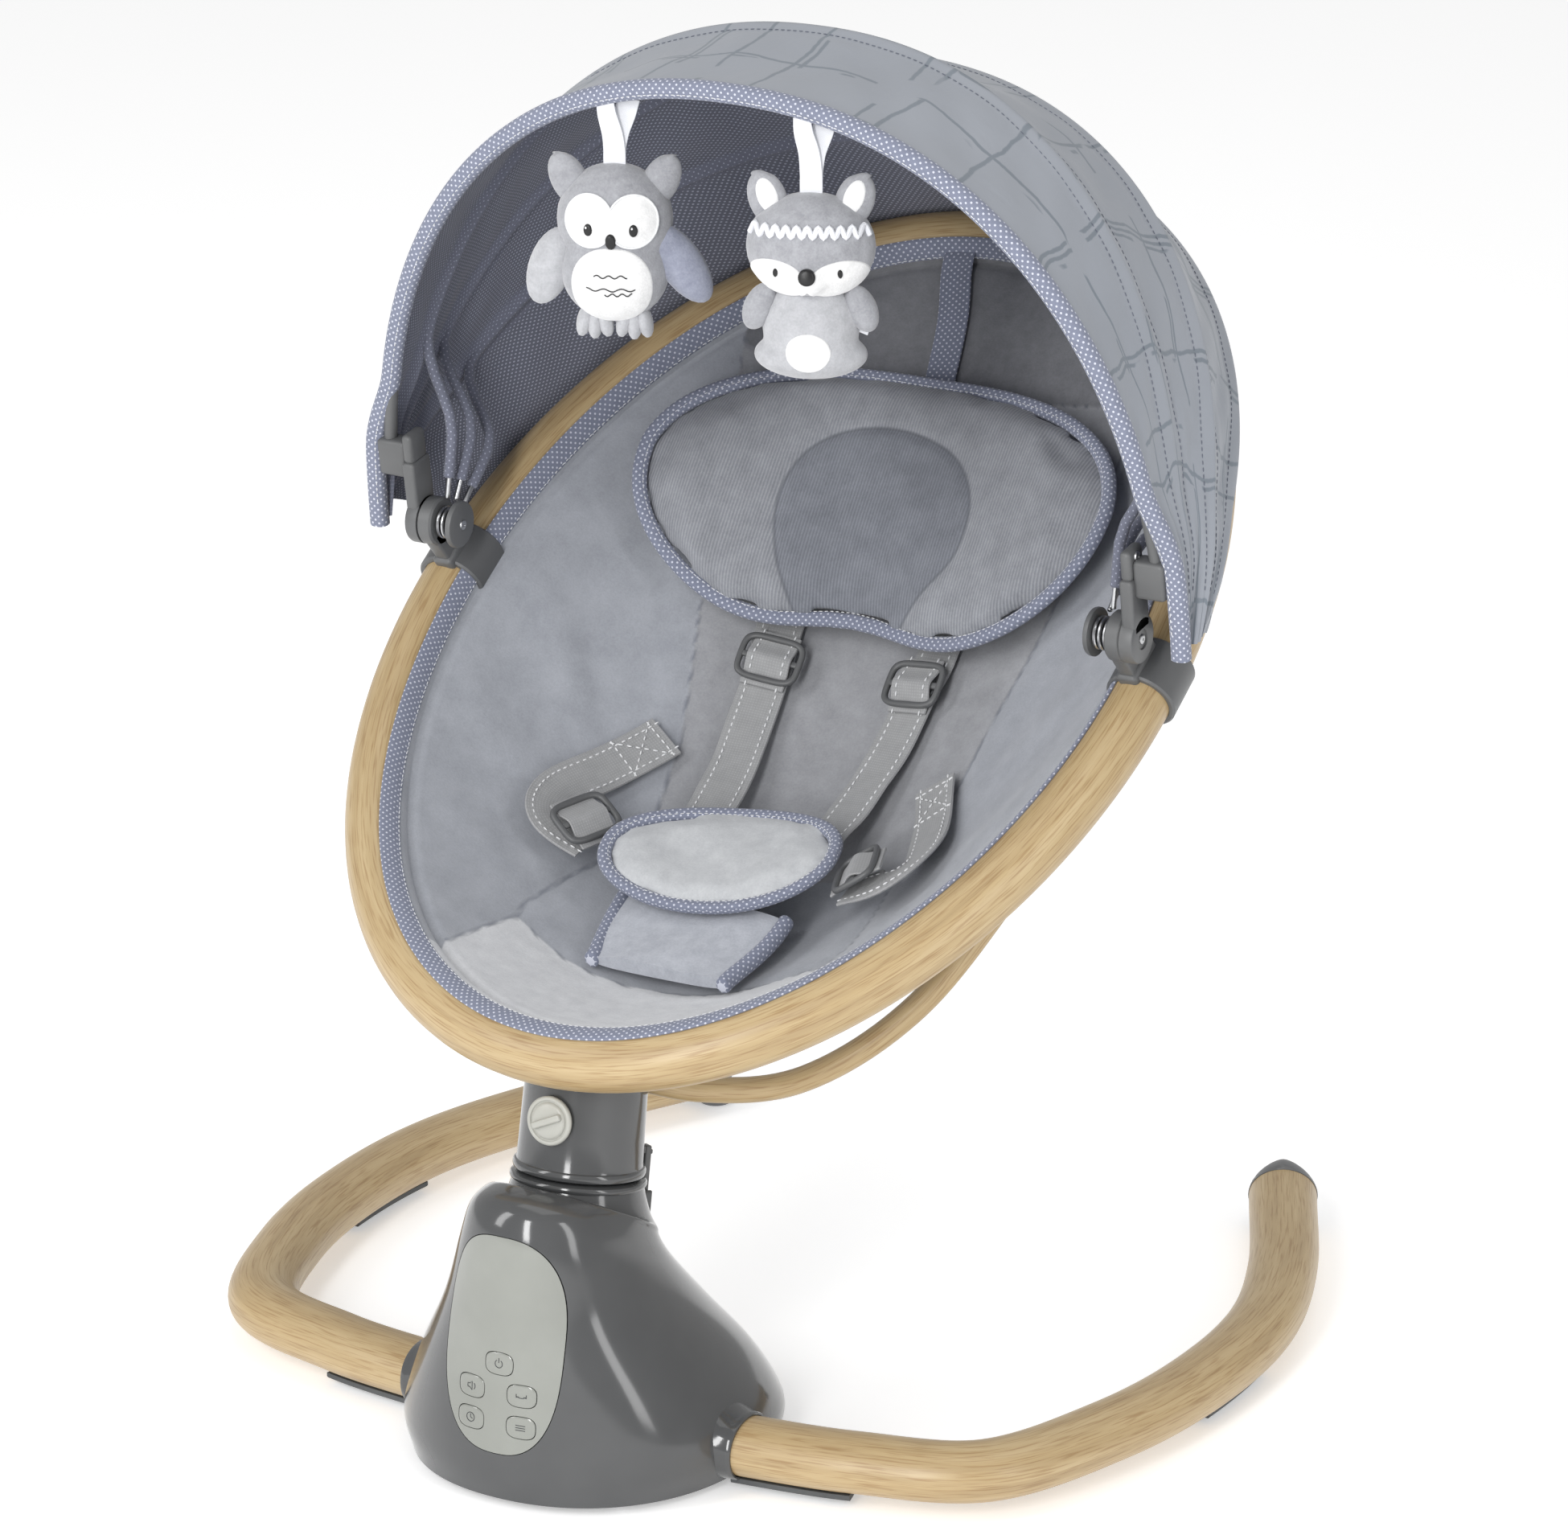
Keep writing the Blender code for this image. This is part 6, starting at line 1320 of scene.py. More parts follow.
def stuffed(mesh, voxel, pressure, cap):
    """A sewn and filled pad: the form swells under cloth pressure, and no point moves further than cap."""
    form = worked(mesh, ('REMESH', {"mode": 'VOXEL', "voxel_size": voxel}))
    scene = bpy.context.scene
    thing = bpy.data.objects.new("pad_in_cloth", form)
    scene.collection.objects.link(thing)
    rest = np.array([vertex.co for vertex in form.vertices])
    cloth = thing.modifiers.new("cloth", 'CLOTH')
    cloth.settings.quality = 5
    cloth.settings.mass = 0.2
    cloth.settings.use_pressure = True
    cloth.settings.uniform_pressure_force = pressure
    cloth.settings.tension_stiffness = cloth.settings.compression_stiffness = 12.0
    cloth.settings.bending_stiffness = 0.6
    cloth.settings.effector_weights.gravity = 0.0
    for number in range(1, 21):
        scene.frame_set(number)
    moved = thing.evaluated_get(bpy.context.evaluated_depsgraph_get())
    swollen = np.array([vertex.co for vertex in moved.data.vertices])
    bpy.data.objects.remove(thing, do_unlink=True)
    scene.frame_set(1)
    shift = swollen - rest
    length = np.maximum(np.linalg.norm(shift, axis=1, keepdims=True), 1e-9)
    shift *= np.minimum(1.0, cap / length)
    form.vertices.foreach_set("co", (rest + shift).ravel())
    form.update()
    final = worked(form, ('SMOOTH', {"factor": 0.6, "iterations": 4}),
                   ('SUBSURF', {"levels": 1, "render_levels": 1}))
    final.shade_smooth()
    return final


def lay_flat_uv(mesh):
    """UV in metres across and up the slope, and returns each vertex's (u, v)."""
    flat = [(vertex.co.x, (vertex.co - HOOP_CENTRE).dot(SLOPE)) for vertex in mesh.vertices]
    layer = mesh.uv_layers.new(name="metres")
    for loop in mesh.loops:
        layer.data[loop.index].uv = flat[loop.vertex_index]
    return flat


def bound_edge(outline, height, width, thickness):
    """A folded tape round a pad's edge."""
    rows, count = [], len(outline)
    for i, (u, v) in enumerate(outline):
        centre = on_bowl(u, v, height)
        (a, b), (c, d) = outline[i - 1], outline[(i + 1) % count]
        along = (on_bowl(c, d, height) - on_bowl(a, b, height)).normalized()
        facing = bowl_normal(u, v)
        out = along.cross(facing).normalized()
        facing = out.cross(along).normalized()
        ring = []
        for k in range(14):
            x, y = ellipse_power(2 * math.pi * k / 14, width / 2, thickness / 2, 2.6)
            ring.append(centre + out * (x - width / 2 + 0.0012) + facing * y)
        rows.append(ring)
    return skin("bound_edge", rows, True, True, sharp=80.0)


TEARDROP = [(-0.020, 0.030), (-0.032, 0.044), (-0.046, 0.064), (-0.054, 0.092), (-0.047, 0.118),
            (-0.026, 0.134),
            (0.003, 0.138), (0.034, 0.128), (0.052, 0.106), (0.054, 0.078), (0.040, 0.057), (0.027, 0.041),
            (0.020, 0.030)]


def edge_stitches(name, outline, height, inset):
    centre = (sum(u for u, _ in outline) / len(outline), sum(v for _, v in outline) / len(outline))
    path = []
    for u, v in outline + outline[:1]:
        length = math.hypot(u - centre[0], v - centre[1])
        share = (length - inset) / length
        path.append(on_bowl(centre[0] + (u - centre[0]) * share, centre[1] + (v - centre[1]) * share,
                            height))
    repeated(name, STITCHES, [path], 0.0030, thread_bead(0.0021, 0.0005), WHITE_THREAD_AND_GLINT, "seat")


def build_pads():
    outline = pillow_outline()
    mesh = stuffed(pad_form(outline, (0.0, PILLOW_CENTRE_V), 0.0200, 0.0150), 0.004, 4.0, 0.0045)
    smooth_tear = [(p.x, p.y) for p in spline_through([(u, v, 0) for u, v in TEARDROP], 6)]
    flat = lay_flat_uv(mesh)
    tear = []
    for vertex, (u, v) in zip(mesh.vertices, flat):
        away = distance_to(smooth_tear + smooth_tear[:1], u, v)[0]
        tear.append(away if inside_of(smooth_tear, u, v) else -away)
        vertex.co -= HOOP_NORMAL * 0.0012 * math.exp(-(away / 0.0030) ** 2)
    mesh.attributes.new("teardrop", 'FLOAT', 'POINT').data.foreach_set("value", tear)
    pillow = piece("pillow_cover", mesh, "seat", KNIT, ["head_pillow"])
    piece("pillow_binding", bound_edge(outline, 0.0222, 0.0080, 0.0062), "seat", DOTTED)
    edge_stitches("pillow_stitches", outline, 0.0254, 0.0052)

    outline = outline_of(*BUCKLE_PAD_HALF, 2.2, 84, (0.0, BUCKLE_V), BUCKLE_PAD_TURN)
    form = pad_form(outline, (0.0, BUCKLE_V), BUCKLE_PAD_LIFT, 0.0080, 0.0028)
    mesh = stuffed(form, 0.004, 3.0, 0.0025)
    for vertex in mesh.vertices:
        u, v = vertex.co.x, (vertex.co - HOOP_CENTRE).dot(SLOPE)
        wrinkle = 0.0005 * math.sin(90 * u + 40 * v + 2.0 * math.sin(60 * v))
        wrinkle += 0.0003 * math.sin(170 * v + 50 * u)
        vertex.co += HOOP_NORMAL * wrinkle
    lay_flat_uv(mesh)
    pad = piece("buckle_cover", mesh, "seat", LIGHT_VELOUR, ["buckle_pad"])
    piece("buckle_cover_binding", bound_edge(outline, BUCKLE_PAD_LIFT + 0.0020, 0.0072, 0.0058), "seat",
          DOTTED)
    edge_stitches("buckle_cover_stitches", outline, BUCKLE_PAD_LIFT + 0.0050, 0.0046)

    route = strap_route(CROTCH_STOPS, 8)
    rows = []
    for i, (point, side, facing) in enumerate(route):
        share = i / (len(route) - 1)
        half = 0.041 - 0.004 * math.cos(math.pi * share)
        ring = []
        for k in range(40):
            a, b = ellipse_power(2 * math.pi * k / 40, half, 0.0040 + 0.0006 * math.sin(3.0 * share), 3.2)
            crease = 0.0008 * math.sin(130 * a + 5 * share) * (1 if b > 0 else 0)
            ring.append(point + side * a + facing * (b + crease))
        rows.append(ring)
    crotch = piece("crotch_cover", skin("crotch", rows, sharp=60.0), "seat", PALE_KNIT,
                   ["crotch_pad"])
    edges = []
    for offset in (-0.0415, 0.0415):
        flare = -0.004 if offset > 0 else 0.004
        line = [point + side * (offset + flare * math.cos(math.pi * i / (len(route) - 1)))
                for i, (point, side, _) in enumerate(route)]
        edges.append(tube("edge", line, 0.0040, route[0][2], 14, half_height=0.0046))
    piece("crotch_binding", joined("crotch_binding", edges), "seat", DOTTED)


# ---------- canopy hardware
def arch_point(number, phi, grow=0.0, turn=0.0):
    """A bow or rib at phi, 0 at the right hub to pi at the left; turn moves it round the hub."""
    c, s = math.cos(phi), max(0.0, math.sin(phi))
    x = (CANOPY_HALF_WIDTHS[number] + grow) * math.copysign(abs(c) ** (2 / CANOPY_ROUNDNESS), c)
    r = (CANOPY_RADII[number] + grow) * s ** (2 / CANOPY_ROUNDNESS)
    angle = math.radians(CANOPY_ANGLES[number]) + turn
    return x, r, HUB + Vector((x, r * math.cos(angle), r * math.sin(angle)))


def bow_heading():
    angle = math.radians(CANOPY_ANGLES[0])
    return Vector((0.0, math.cos(angle), math.sin(angle)))


def bow_points(reach, steps=90):
    arch = [arch_point(0, math.pi * i / steps) for i in range(steps + 1)]
    inner = [point for _, r, point in arch if r > reach + 0.003]
    feet = [HUB + Vector((side * abs(inner[0].x), 0, 0)) + bow_heading() * reach for side in (1, -1)]
    return [feet[0], *inner, feet[1]]


def rib_points(number, steps=90):
    """A rib starts flat at its eyelet and swings out to the arch."""
    foot_x = EYELET_X[number - 1] - EYELET_THICKNESS / 2
    angle = math.radians(CANOPY_ANGLES[number])
    points = []
    for i in range(steps + 1):
        phi = math.pi * i / steps
        x, r, _ = arch_point(number, phi)
        if r < 0.012:
            continue
        share = min(1.0, max(0.0, (r - 0.045) / 0.055))
        share = share * share * (3 - 2 * share)
        if abs(x) > 0.12:
            x = math.copysign(foot_x + (abs(x) - foot_x) * share, math.cos(phi))
        points.append(HUB + Vector((x, r * math.cos(angle), r * math.sin(angle))))
    return points


def ring_lathe(profile, matrix, steps=48):
    """Turns a closed profile that doesn't touch the axis."""
    return lathe("ring", profile, matrix, steps, 40.0, True)


def build_canopy_hardware():
    u = HOOP_HALF_WIDTH * math.sqrt(1 - (CLAMP_V / (HOOP_LENGTH / 2)) ** 2)
    up = bow_heading()
    screws = {"seat": [], "front_bow": []}
    for word, side in SIDES.items():
        centre = on_plane(side * u, CLAMP_V)
        inner, outer, half = HOOP_TUBE_RADIUS + 0.0002, HOOP_TUBE_RADIUS + 0.0030, 0.0135
        collar = ring_lathe([(inner, -half), (outer - 0.0010, -half), (outer, -half + 0.0010),
                             (outer, half - 0.0010),
                             (outer - 0.0010, half), (inner, half)], frame_matrix(centre, SLOPE, (0, 0, 1)),
                             64)
        ear_mid = side * (EAR_X[0] + EAR_X[1]) / 2
        width = EAR_X[1] - EAR_X[0]
        foot = Vector((ear_mid, centre.y, centre.z))
        tip = HUB + Vector((ear_mid, 0, 0))
        reach = (tip - foot).length
        place = frame_matrix(foot.lerp(tip, 0.5), tip - foot, (0, 1, 0))
        ear = soft_box("ear", (width, 0.022, reach), place, 0.0016)
        fillet = soft_box("fillet", (width + 0.003, 0.026, 0.010),
                          frame_matrix(foot.lerp(tip, 0.42), tip - foot, (0, 1, 0)), 0.0022)
        boss = lathe("boss",
                     [(0, -width / 2), (HUB_RADIUS - 0.001, -width / 2), (HUB_RADIUS, -width / 2 + 0.001),
                              (HUB_RADIUS, width / 2 - 0.001), (HUB_RADIUS - 0.001, width / 2),
                              (0, width / 2)],
                     frame_matrix(tip, (side, 0, 0)), 48)
        pin = lathe("pin",
                    [(0, 0.1798), (0.0104, 0.1798), (0.0118, 0.1804), (0.0122, 0.1816), (0.0122, 0.1829),
                            (0.0030, 0.1831), (0.0030, 0.2050), (0, 0.2052)],
                            frame_matrix(HUB, (side, 0, 0)), 48)
        inner_face = HUB + Vector((side * 0.1799, 0, 0))
        screws["seat"].append([inner_face + Vector((side * 0.002, 0, 0)), inner_face])
        piece(f"hoop_clamp_{word}", joined("clamp", [collar, ear, fillet, boss, pin]), "seat", GREY,
              [f"canopy_clamp_{word}"])
        middle = HUB + Vector((side * (ARM_X[0] + 0.0036), 0, 0))
        h = 0.0036
        disc = lathe("disc",
                     [(0, -h), (HUB_RADIUS, -h), (HUB_RADIUS, h - 0.0016), (HUB_RADIUS - 0.0005, h - 0.0005),
                              (HUB_RADIUS - 0.0016, h), (0.0052, h), (0.0048, h - 0.0008), (0, h - 0.0008)],
                     frame_matrix(middle, (side, 0, 0)), 56)
        plate = soft_box("plate", (0.0072, 0.0170, 0.030), frame_matrix(middle + up * 0.019, up, (0, 1, 0)),
                         0.0018)
        socket = soft_box("socket", (0.0170, 0.0110, 0.0200),
                          frame_matrix(HUB + up * 0.034 + Vector((side * 0.215, 0, 0)), up, (0, 1, 0)),
                          0.0024)
        tab = soft_box("tab", (0.0060, 0.0150, 0.016), frame_matrix(middle + up * 0.041, up, (0, 1, 0)),
                       0.0024)
        piece(f"canopy_arm_cover_{word}", joined("arm", [disc, plate, socket, tab]), "front_bow", GREY,
              [f"canopy_arm_{word}"])
        out = Vector((side, 0, 0))
        face = HUB + out * (ARM_X[1] - 0.0010)
        screws["front_bow"].append([face - out * 0.002, face])
        tab_face = middle + up * 0.0445 + out * 0.0030
        screws["front_bow"].append([tab_face - out * 0.002, tab_face])
    repeated("hub_screws", SCREWS, screws["seat"], 1.0, screw_head(), STEEL, "seat")
    repeated("arm_screws", SCREWS, screws["front_bow"], 1.0, screw_head(), STEEL, "front_bow")
    underside = [[Vector((x, y, 0.0060)), Vector((x, y, 0.0046))] for x, y in
                 ((0.055, -0.245), (-0.055, -0.245), (0.055, -0.100), (-0.055, -0.100))]
    repeated("cover_screws", SCREWS, underside, 1.0, screw_head(0.0030), STEEL, "base")
    bow = tube("front_bow", bow_points(ARM_SOCKET_R), FRONT_BOW_RADIUS, (0, 1, 0.17), 14)
    piece("front_bow_rod", bow, "front_bow", GREY, ["canopy_front_bow"])
    for number, body in ((1, "rib_one"), (2, "rib_two"), (3, "rib_three")):
        points = rib_points(number)
        angle = math.radians(CANOPY_ANGLES[number])
        rod = tube("rib", points, RIB_RADIUS * 0.75, (0, -math.sin(angle), math.cos(angle)), 10)
        parts = [rod]
        sleeve = tube("sleeve",
                      [point for point in points if (point - HUB - Vector((point.x, 0, 0))).length > 0.019],
                      0.0029, (0, -math.sin(angle), math.cos(angle)), 10)
        piece(f"rib_sleeve_{number}", sleeve, body, CHANNEL)
        for side in SIDES.values():
            place = frame_matrix(HUB + Vector((side * (EYELET_X[number - 1] - EYELET_THICKNESS / 2), 0, 0)),
                                 (1, 0, 0))
            parts.append(ring_lathe([(0.0034, -0.0009), (0.0080, -0.0009), (0.0085, -0.0004),
                                     (0.0085, 0.0004),
                                     (0.0080, 0.0009), (0.0034, 0.0009)], place, 32))
        piece(f"rib_rod_{number}", joined("rib", parts), body, STEEL,
              [f"canopy_rib_{number}"])


# ---------- canopy cloth
RIB_WEIGHTS = (1.0, 0.756048, 0.544355, 0.302419,
               0.0)     # each edge's share of the front bow's fold; build_canopy gathers it per point but applies no turn
GORE_STEPS = 20
PHI_STEPS = 170
CLOTH_START = math.radians(1.2)


def smooth(value):
    value = min(1.0, max(0.0, value))
    return value * value * (3 - 2 * value)


def cloth_arch(number, phi, grow, turn=0.0):
    """The cloth over a bow or rib: at the hubs it passes outside the arms and hangs a little below them."""
    low = math.degrees(min(phi, math.pi - phi))
    _, _, point = arch_point(number, phi, grow, turn)
    aside = (0.0088, 0.0060, 0.0030, 0.0030)[number] * (1 - smooth((low - 7.0) / 9.0))
    drop = (0.0170, 0.0120, 0.0060, 0.0)[number] * max(0.0, 1 - low / 12.0) ** 2
    return point + Vector((math.copysign(aside, math.cos(phi)), 0, -drop))


def hoop_outside(phi):
    low = min(phi, math.pi - phi)
    if low < GORE_START:
        angle = HOOP_EDGE_START - math.radians(9.0) * (1 - low / GORE_START)
        angle = angle if phi < 1.5 else math.pi - angle
    else:
        share = (phi - GORE_START) / (math.pi - 2 * GORE_START)
        angle = HOOP_EDGE_START + (math.pi - 2 * HOOP_EDGE_START) * share
    centre = hoop_point(angle)
    return centre + (centre - HOOP_CENTRE).normalized() * (HOOP_TUBE_RADIUS + 0.0012) + HOOP_NORMAL * 0.004


def cloth_point(gore, share, phi):
    """(outer point, inner point) of the cloth, share of the way across a gore."""
    grow = 0.0046 if gore == 0 else 0.0034
    start = 0.010 if gore == 0 else 0.0
    near = cloth_arch(gore, phi, grow, start) - HUB
    far = (cloth_arch(gore + 1, phi, 0.0034) if gore < 3 else hoop_outside(phi)) - HUB
    across = near.lerp(far, share)
    length = near.length + (far.length - near.length) * share
    span = max(0.02, (far - near).length)
    crown = math.sin(phi)
    length -= CLOTH_SAG * 4 * share * (1 - share) * crown
    first, last = share * span, (1 - share) * span
    for away, is_rib in ((first, gore > 0), (last, gore < 3)):
        if is_rib:
            length += 0.0010 * math.exp(-(away / 0.0050) ** 2)
            length -= 0.0006 * math.exp(-((away - 0.0085) / 0.0016) ** 2)
    low = min(phi, math.pi - phi)
    pleat = math.exp(-low / 0.16)
    length += 0.0016 * pleat * math.sin(2 * math.pi * 3.0 * share + 0.8 * gore) * math.sin(math.pi * share)
    length += 0.0009 * crown * math.sin(14.0 * phi + 5.0 * share + 1.7 * gore) * math.sin(math.pi * share)
    length += 0.0006 * math.sin(31.0 * phi - 9.0 * share) * math.sin(math.pi * share)
    outer = HUB + across.normalized() * length
    depth = 0.0014
    if gore > 0:
        depth += 0.0058 * math.exp(-(first / 0.0040) ** 2)
    if gore < 3:
        depth += 0.0058 * math.exp(-(last / 0.0040) ** 2)
    inner = HUB + across.normalized() * (length - depth)
    return outer, inner, first if gore > 0 else 1.0, last if gore < 3 else 1.0


def build_canopy():
    plan = []
    for gore in range(4):
        for step in range(GORE_STEPS + (1 if gore == 3 else 0)):
            t = step / GORE_STEPS
            plan.append((gore, t - 0.08 * math.sin(2 * math.pi * t)))
    bm = bmesh.new()
    layer = bm.loops.layers.uv.new("metres")
    rows, weights, run, travelled = [], [], [], 0.0
    last = None
    for gore, share in plan:
        outer_row, inner_row, near_rib = [], [], []
        for k in range(PHI_STEPS + 1):
            phi = CLOTH_START + (math.pi - 2 * CLOTH_START) * k / PHI_STEPS
            outer, inner, first, far = cloth_point(gore, share, phi)
            outer_row.append(bm.verts.new(outer))
            inner_row.append(bm.verts.new(inner))
            near_rib.append(min(first, far) < 0.0062)
        weight = RIB_WEIGHTS[gore] + (RIB_WEIGHTS[gore + 1] - RIB_WEIGHTS[gore]) * share
        weights += [weight] * (2 * (PHI_STEPS + 1))
        crown = outer_row[PHI_STEPS // 2].co
        travelled += (crown - last).length if last else 0.0
        last = crown.copy()
        run.append(travelled)
        rows.append((outer_row, inner_row, near_rib))
    along = [0.0]
    middle = rows[len(rows) // 2][0]
    for first, second in zip(middle, middle[1:]):
        along.append(along[-1] + (second.co - first.co).length)

    def face(verts, places, material):
        made = bm.faces.new(verts)
        made.material_index = material
        for loop, (i, k) in zip(made.loops, places):
            loop[layer].uv = (along[k], run[i])

    count = len(rows)
    for i in range(count - 1):
        (outer, inner, _), (outer_2, inner_2, _) = rows[i], rows[i + 1]
        for k in range(PHI_STEPS):
            places = ((i, k), (i, k + 1), (i + 1, k + 1), (i + 1, k))
            face((outer[k], outer[k + 1], outer_2[k + 1], outer_2[k]), places, 0)
            ribbed = rows[i][2][k] or rows[i + 1][2][k]
            face((inner[k], inner_2[k], inner_2[k + 1], inner[k + 1]),
                 ((i, k), (i + 1, k), (i + 1, k + 1), (i, k + 1)), 2 if ribbed else 1)
        for k in (0, PHI_STEPS):
            verts = (outer[k], outer_2[k], inner_2[k], inner[k])
            face(verts, ((i, k), (i + 1, k), (i + 1, k), (i, k)), 0)
    for i in (0, count - 1):
        outer, inner, _ = rows[i]
        for k in range(PHI_STEPS):
            face((outer[k], inner[k], inner[k + 1], outer[k + 1]), ((i, k), (i, k), (i, k + 1), (i, k + 1)),
                 0)
    bmesh.ops.recalc_face_normals(bm, faces=bm.faces)
    mesh = bpy.data.meshes.new("canopy")
    bm.to_mesh(mesh)
    bm.free()
    mesh.shade_smooth()
    mesh.set_sharp_from_angle(angle=math.radians(60.0))
    for material in (SHELL, LINING, CHANNEL):
        mesh.materials.append(material)
    canopy = piece("canopy_cover", mesh, None, None,
                   [f"canopy_gore_{n}" for n in (1, 2, 3, 4)])
    fold_over("canopy_cover")

    seams = []
    for rib in (1, 2, 3):
        for side in (-1, 1):
            path = []
            for k in range(4, PHI_STEPS - 3):
                phi = CLOTH_START + (math.pi - 2 * CLOTH_START) * k / PHI_STEPS
                gore = rib if side > 0 else rib - 1
                near, far = cloth_point(gore, 0.0, phi)[0], cloth_point(gore, 1.0, phi)[0]
                part = 0.0072 / max(0.03, (far - near).length)
                share = part if side > 0 else 1.0 - part
                point = cloth_point(gore, share, phi)[0]
                path.append(point + (point - HUB).normalized() * 0.0002)
            seams.append((rib, path))
    for rib, body in ((1, "rib_one"), (2, "rib_two"), (3, "rib_three")):
        paths = [path for number, path in seams if number == rib]
        repeated(f"channel_stitches_{rib}", STITCHES, paths, 0.0034, thread_bead(0.0024, 0.0005),
                 GREY_THREAD, body)

    rows = []
    for k in range(181):
        phi = CLOTH_START + (math.pi - 2 * CLOTH_START) * k / 180
        point = cloth_arch(0, phi, 0.0006)
        ahead = cloth_arch(0, phi + 0.01, 0.0006) - cloth_arch(0, phi - 0.01, 0.0006)
        fore = -Vector((1, 0, 0)).cross(bow_heading())
        out = fore.cross(ahead).normalized()
        if out.dot(point - HUB) < 0:
            out = -out
        ring = []
        for j in range(18):
            a, b = ellipse_power(2 * math.pi * j / 18, 0.0043, 0.0050, 2.4)
            ring.append(point + fore.normalized() * a + out * b)
        rows.append(ring)
    tape = skin("tape", rows, sharp=80.0)
    piece("front_edge_binding", tape, "front_bow", DOTTED)
    path = [[point + Vector((0, -0.0044, 0.0)) - (point - HUB).normalized() * 0.0024
             for point in [cloth_arch(0, math.radians(3.0 + 174.0 * k / 180), 0.0006) for k in range(181)]]]
    repeated("front_edge_stitches", STITCHES, path, 0.0032, thread_bead(0.0021, 0.0005), WHITE_THREAD_AND_GLINT, "front_bow")


def fold_over(name):
    """Bakes the cloth object's transform into its mesh; no point is moved to follow the bows."""
    thing = bpy.data.objects[name]
    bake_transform(thing)


# ---------- toys, each built below its bow point, facing -Y
TOY_TURN = math.radians(24.0)
TOY_NARROW = 0.93


def lobe(radii, offset, turn=0.0, fine=28):
    bm = bmesh.new()
    bmesh.ops.create_uvsphere(bm, u_segments=fine, v_segments=fine // 2, radius=1.0)
    bmesh.ops.scale(bm, vec=radii, verts=bm.verts)
    bmesh.ops.rotate(bm, cent=(0, 0, 0), matrix=Matrix.Rotation(math.radians(turn), 3, 'Y'), verts=bm.verts)
    bmesh.ops.translate(bm, vec=offset, verts=bm.verts)
    return to_mesh(bm, "lobe", 180.0)


def sewn(parts):
    """Lobes drawn into one plush skin."""
    whole = worked(joined("lobes", parts), ('REMESH', {"mode": 'VOXEL', "voxel_size": 0.0012}),
                   ('SMOOTH', {"factor": 0.7, "iterations": 6}))
    whole.shade_smooth()
    return whole


def embroidered(line, surface, radius, lift=0.0004):
    path = []
    for x, z in line:
        hit, normal, _, _ = surface.ray_cast(Vector((x, -1.0, z)), Vector((0, 1, 0)))
        if hit is not None:
            path.append(hit + normal * lift)
    return tube("line", path, radius, (0, -1, 0.01), 8)


def goggle_outline(centre, apart, radius):
    """Two overlapping discs."""
    points, count = [], 72
    for k in range(count):
        angle = 2 * math.pi * k / count
        reach = apart * abs(math.cos(angle)) + math.sqrt(radius ** 2 - (apart * math.sin(angle)) ** 2)
        points.append((centre[0] + reach * math.cos(angle), centre[1] + reach * math.sin(angle)))
    return points


def ribbon_strands(length):
    """Two strands that leave the bow apart and meet above the toy."""
    parts = []
    for side in (1, -1):
        points = [Vector((side * 0.0050, 0.0030 * side + 0.0030, -0.0030)),
                  Vector((side * 0.0040, 0.0020 * side + 0.002, -0.010)),
                  Vector((side * 0.0012, 0.0006 * side + 0.001, -0.020)),
                  Vector((0.0, 0.0004 * side, -length * 0.80)),
                  Vector((0.0, 0.0004 * side, -length - 0.006))]
        route = []
        line = spline_through(points, 8)
        for i, point in enumerate(line):
            ahead = (line[min(i + 1, len(line) - 1)] - line[max(i - 1, 0)]).normalized()
            facing = Vector((0.25 * side * (1 - i / len(line)), -1, 0)).normalized()
            across = ahead.cross(facing).normalized()
            route.append((point, across, across.cross(ahead)))
        parts.append(painted(strap("ribbon", route, RIBBON_WIDTH, 0.0007), RIBBON))
    return parts


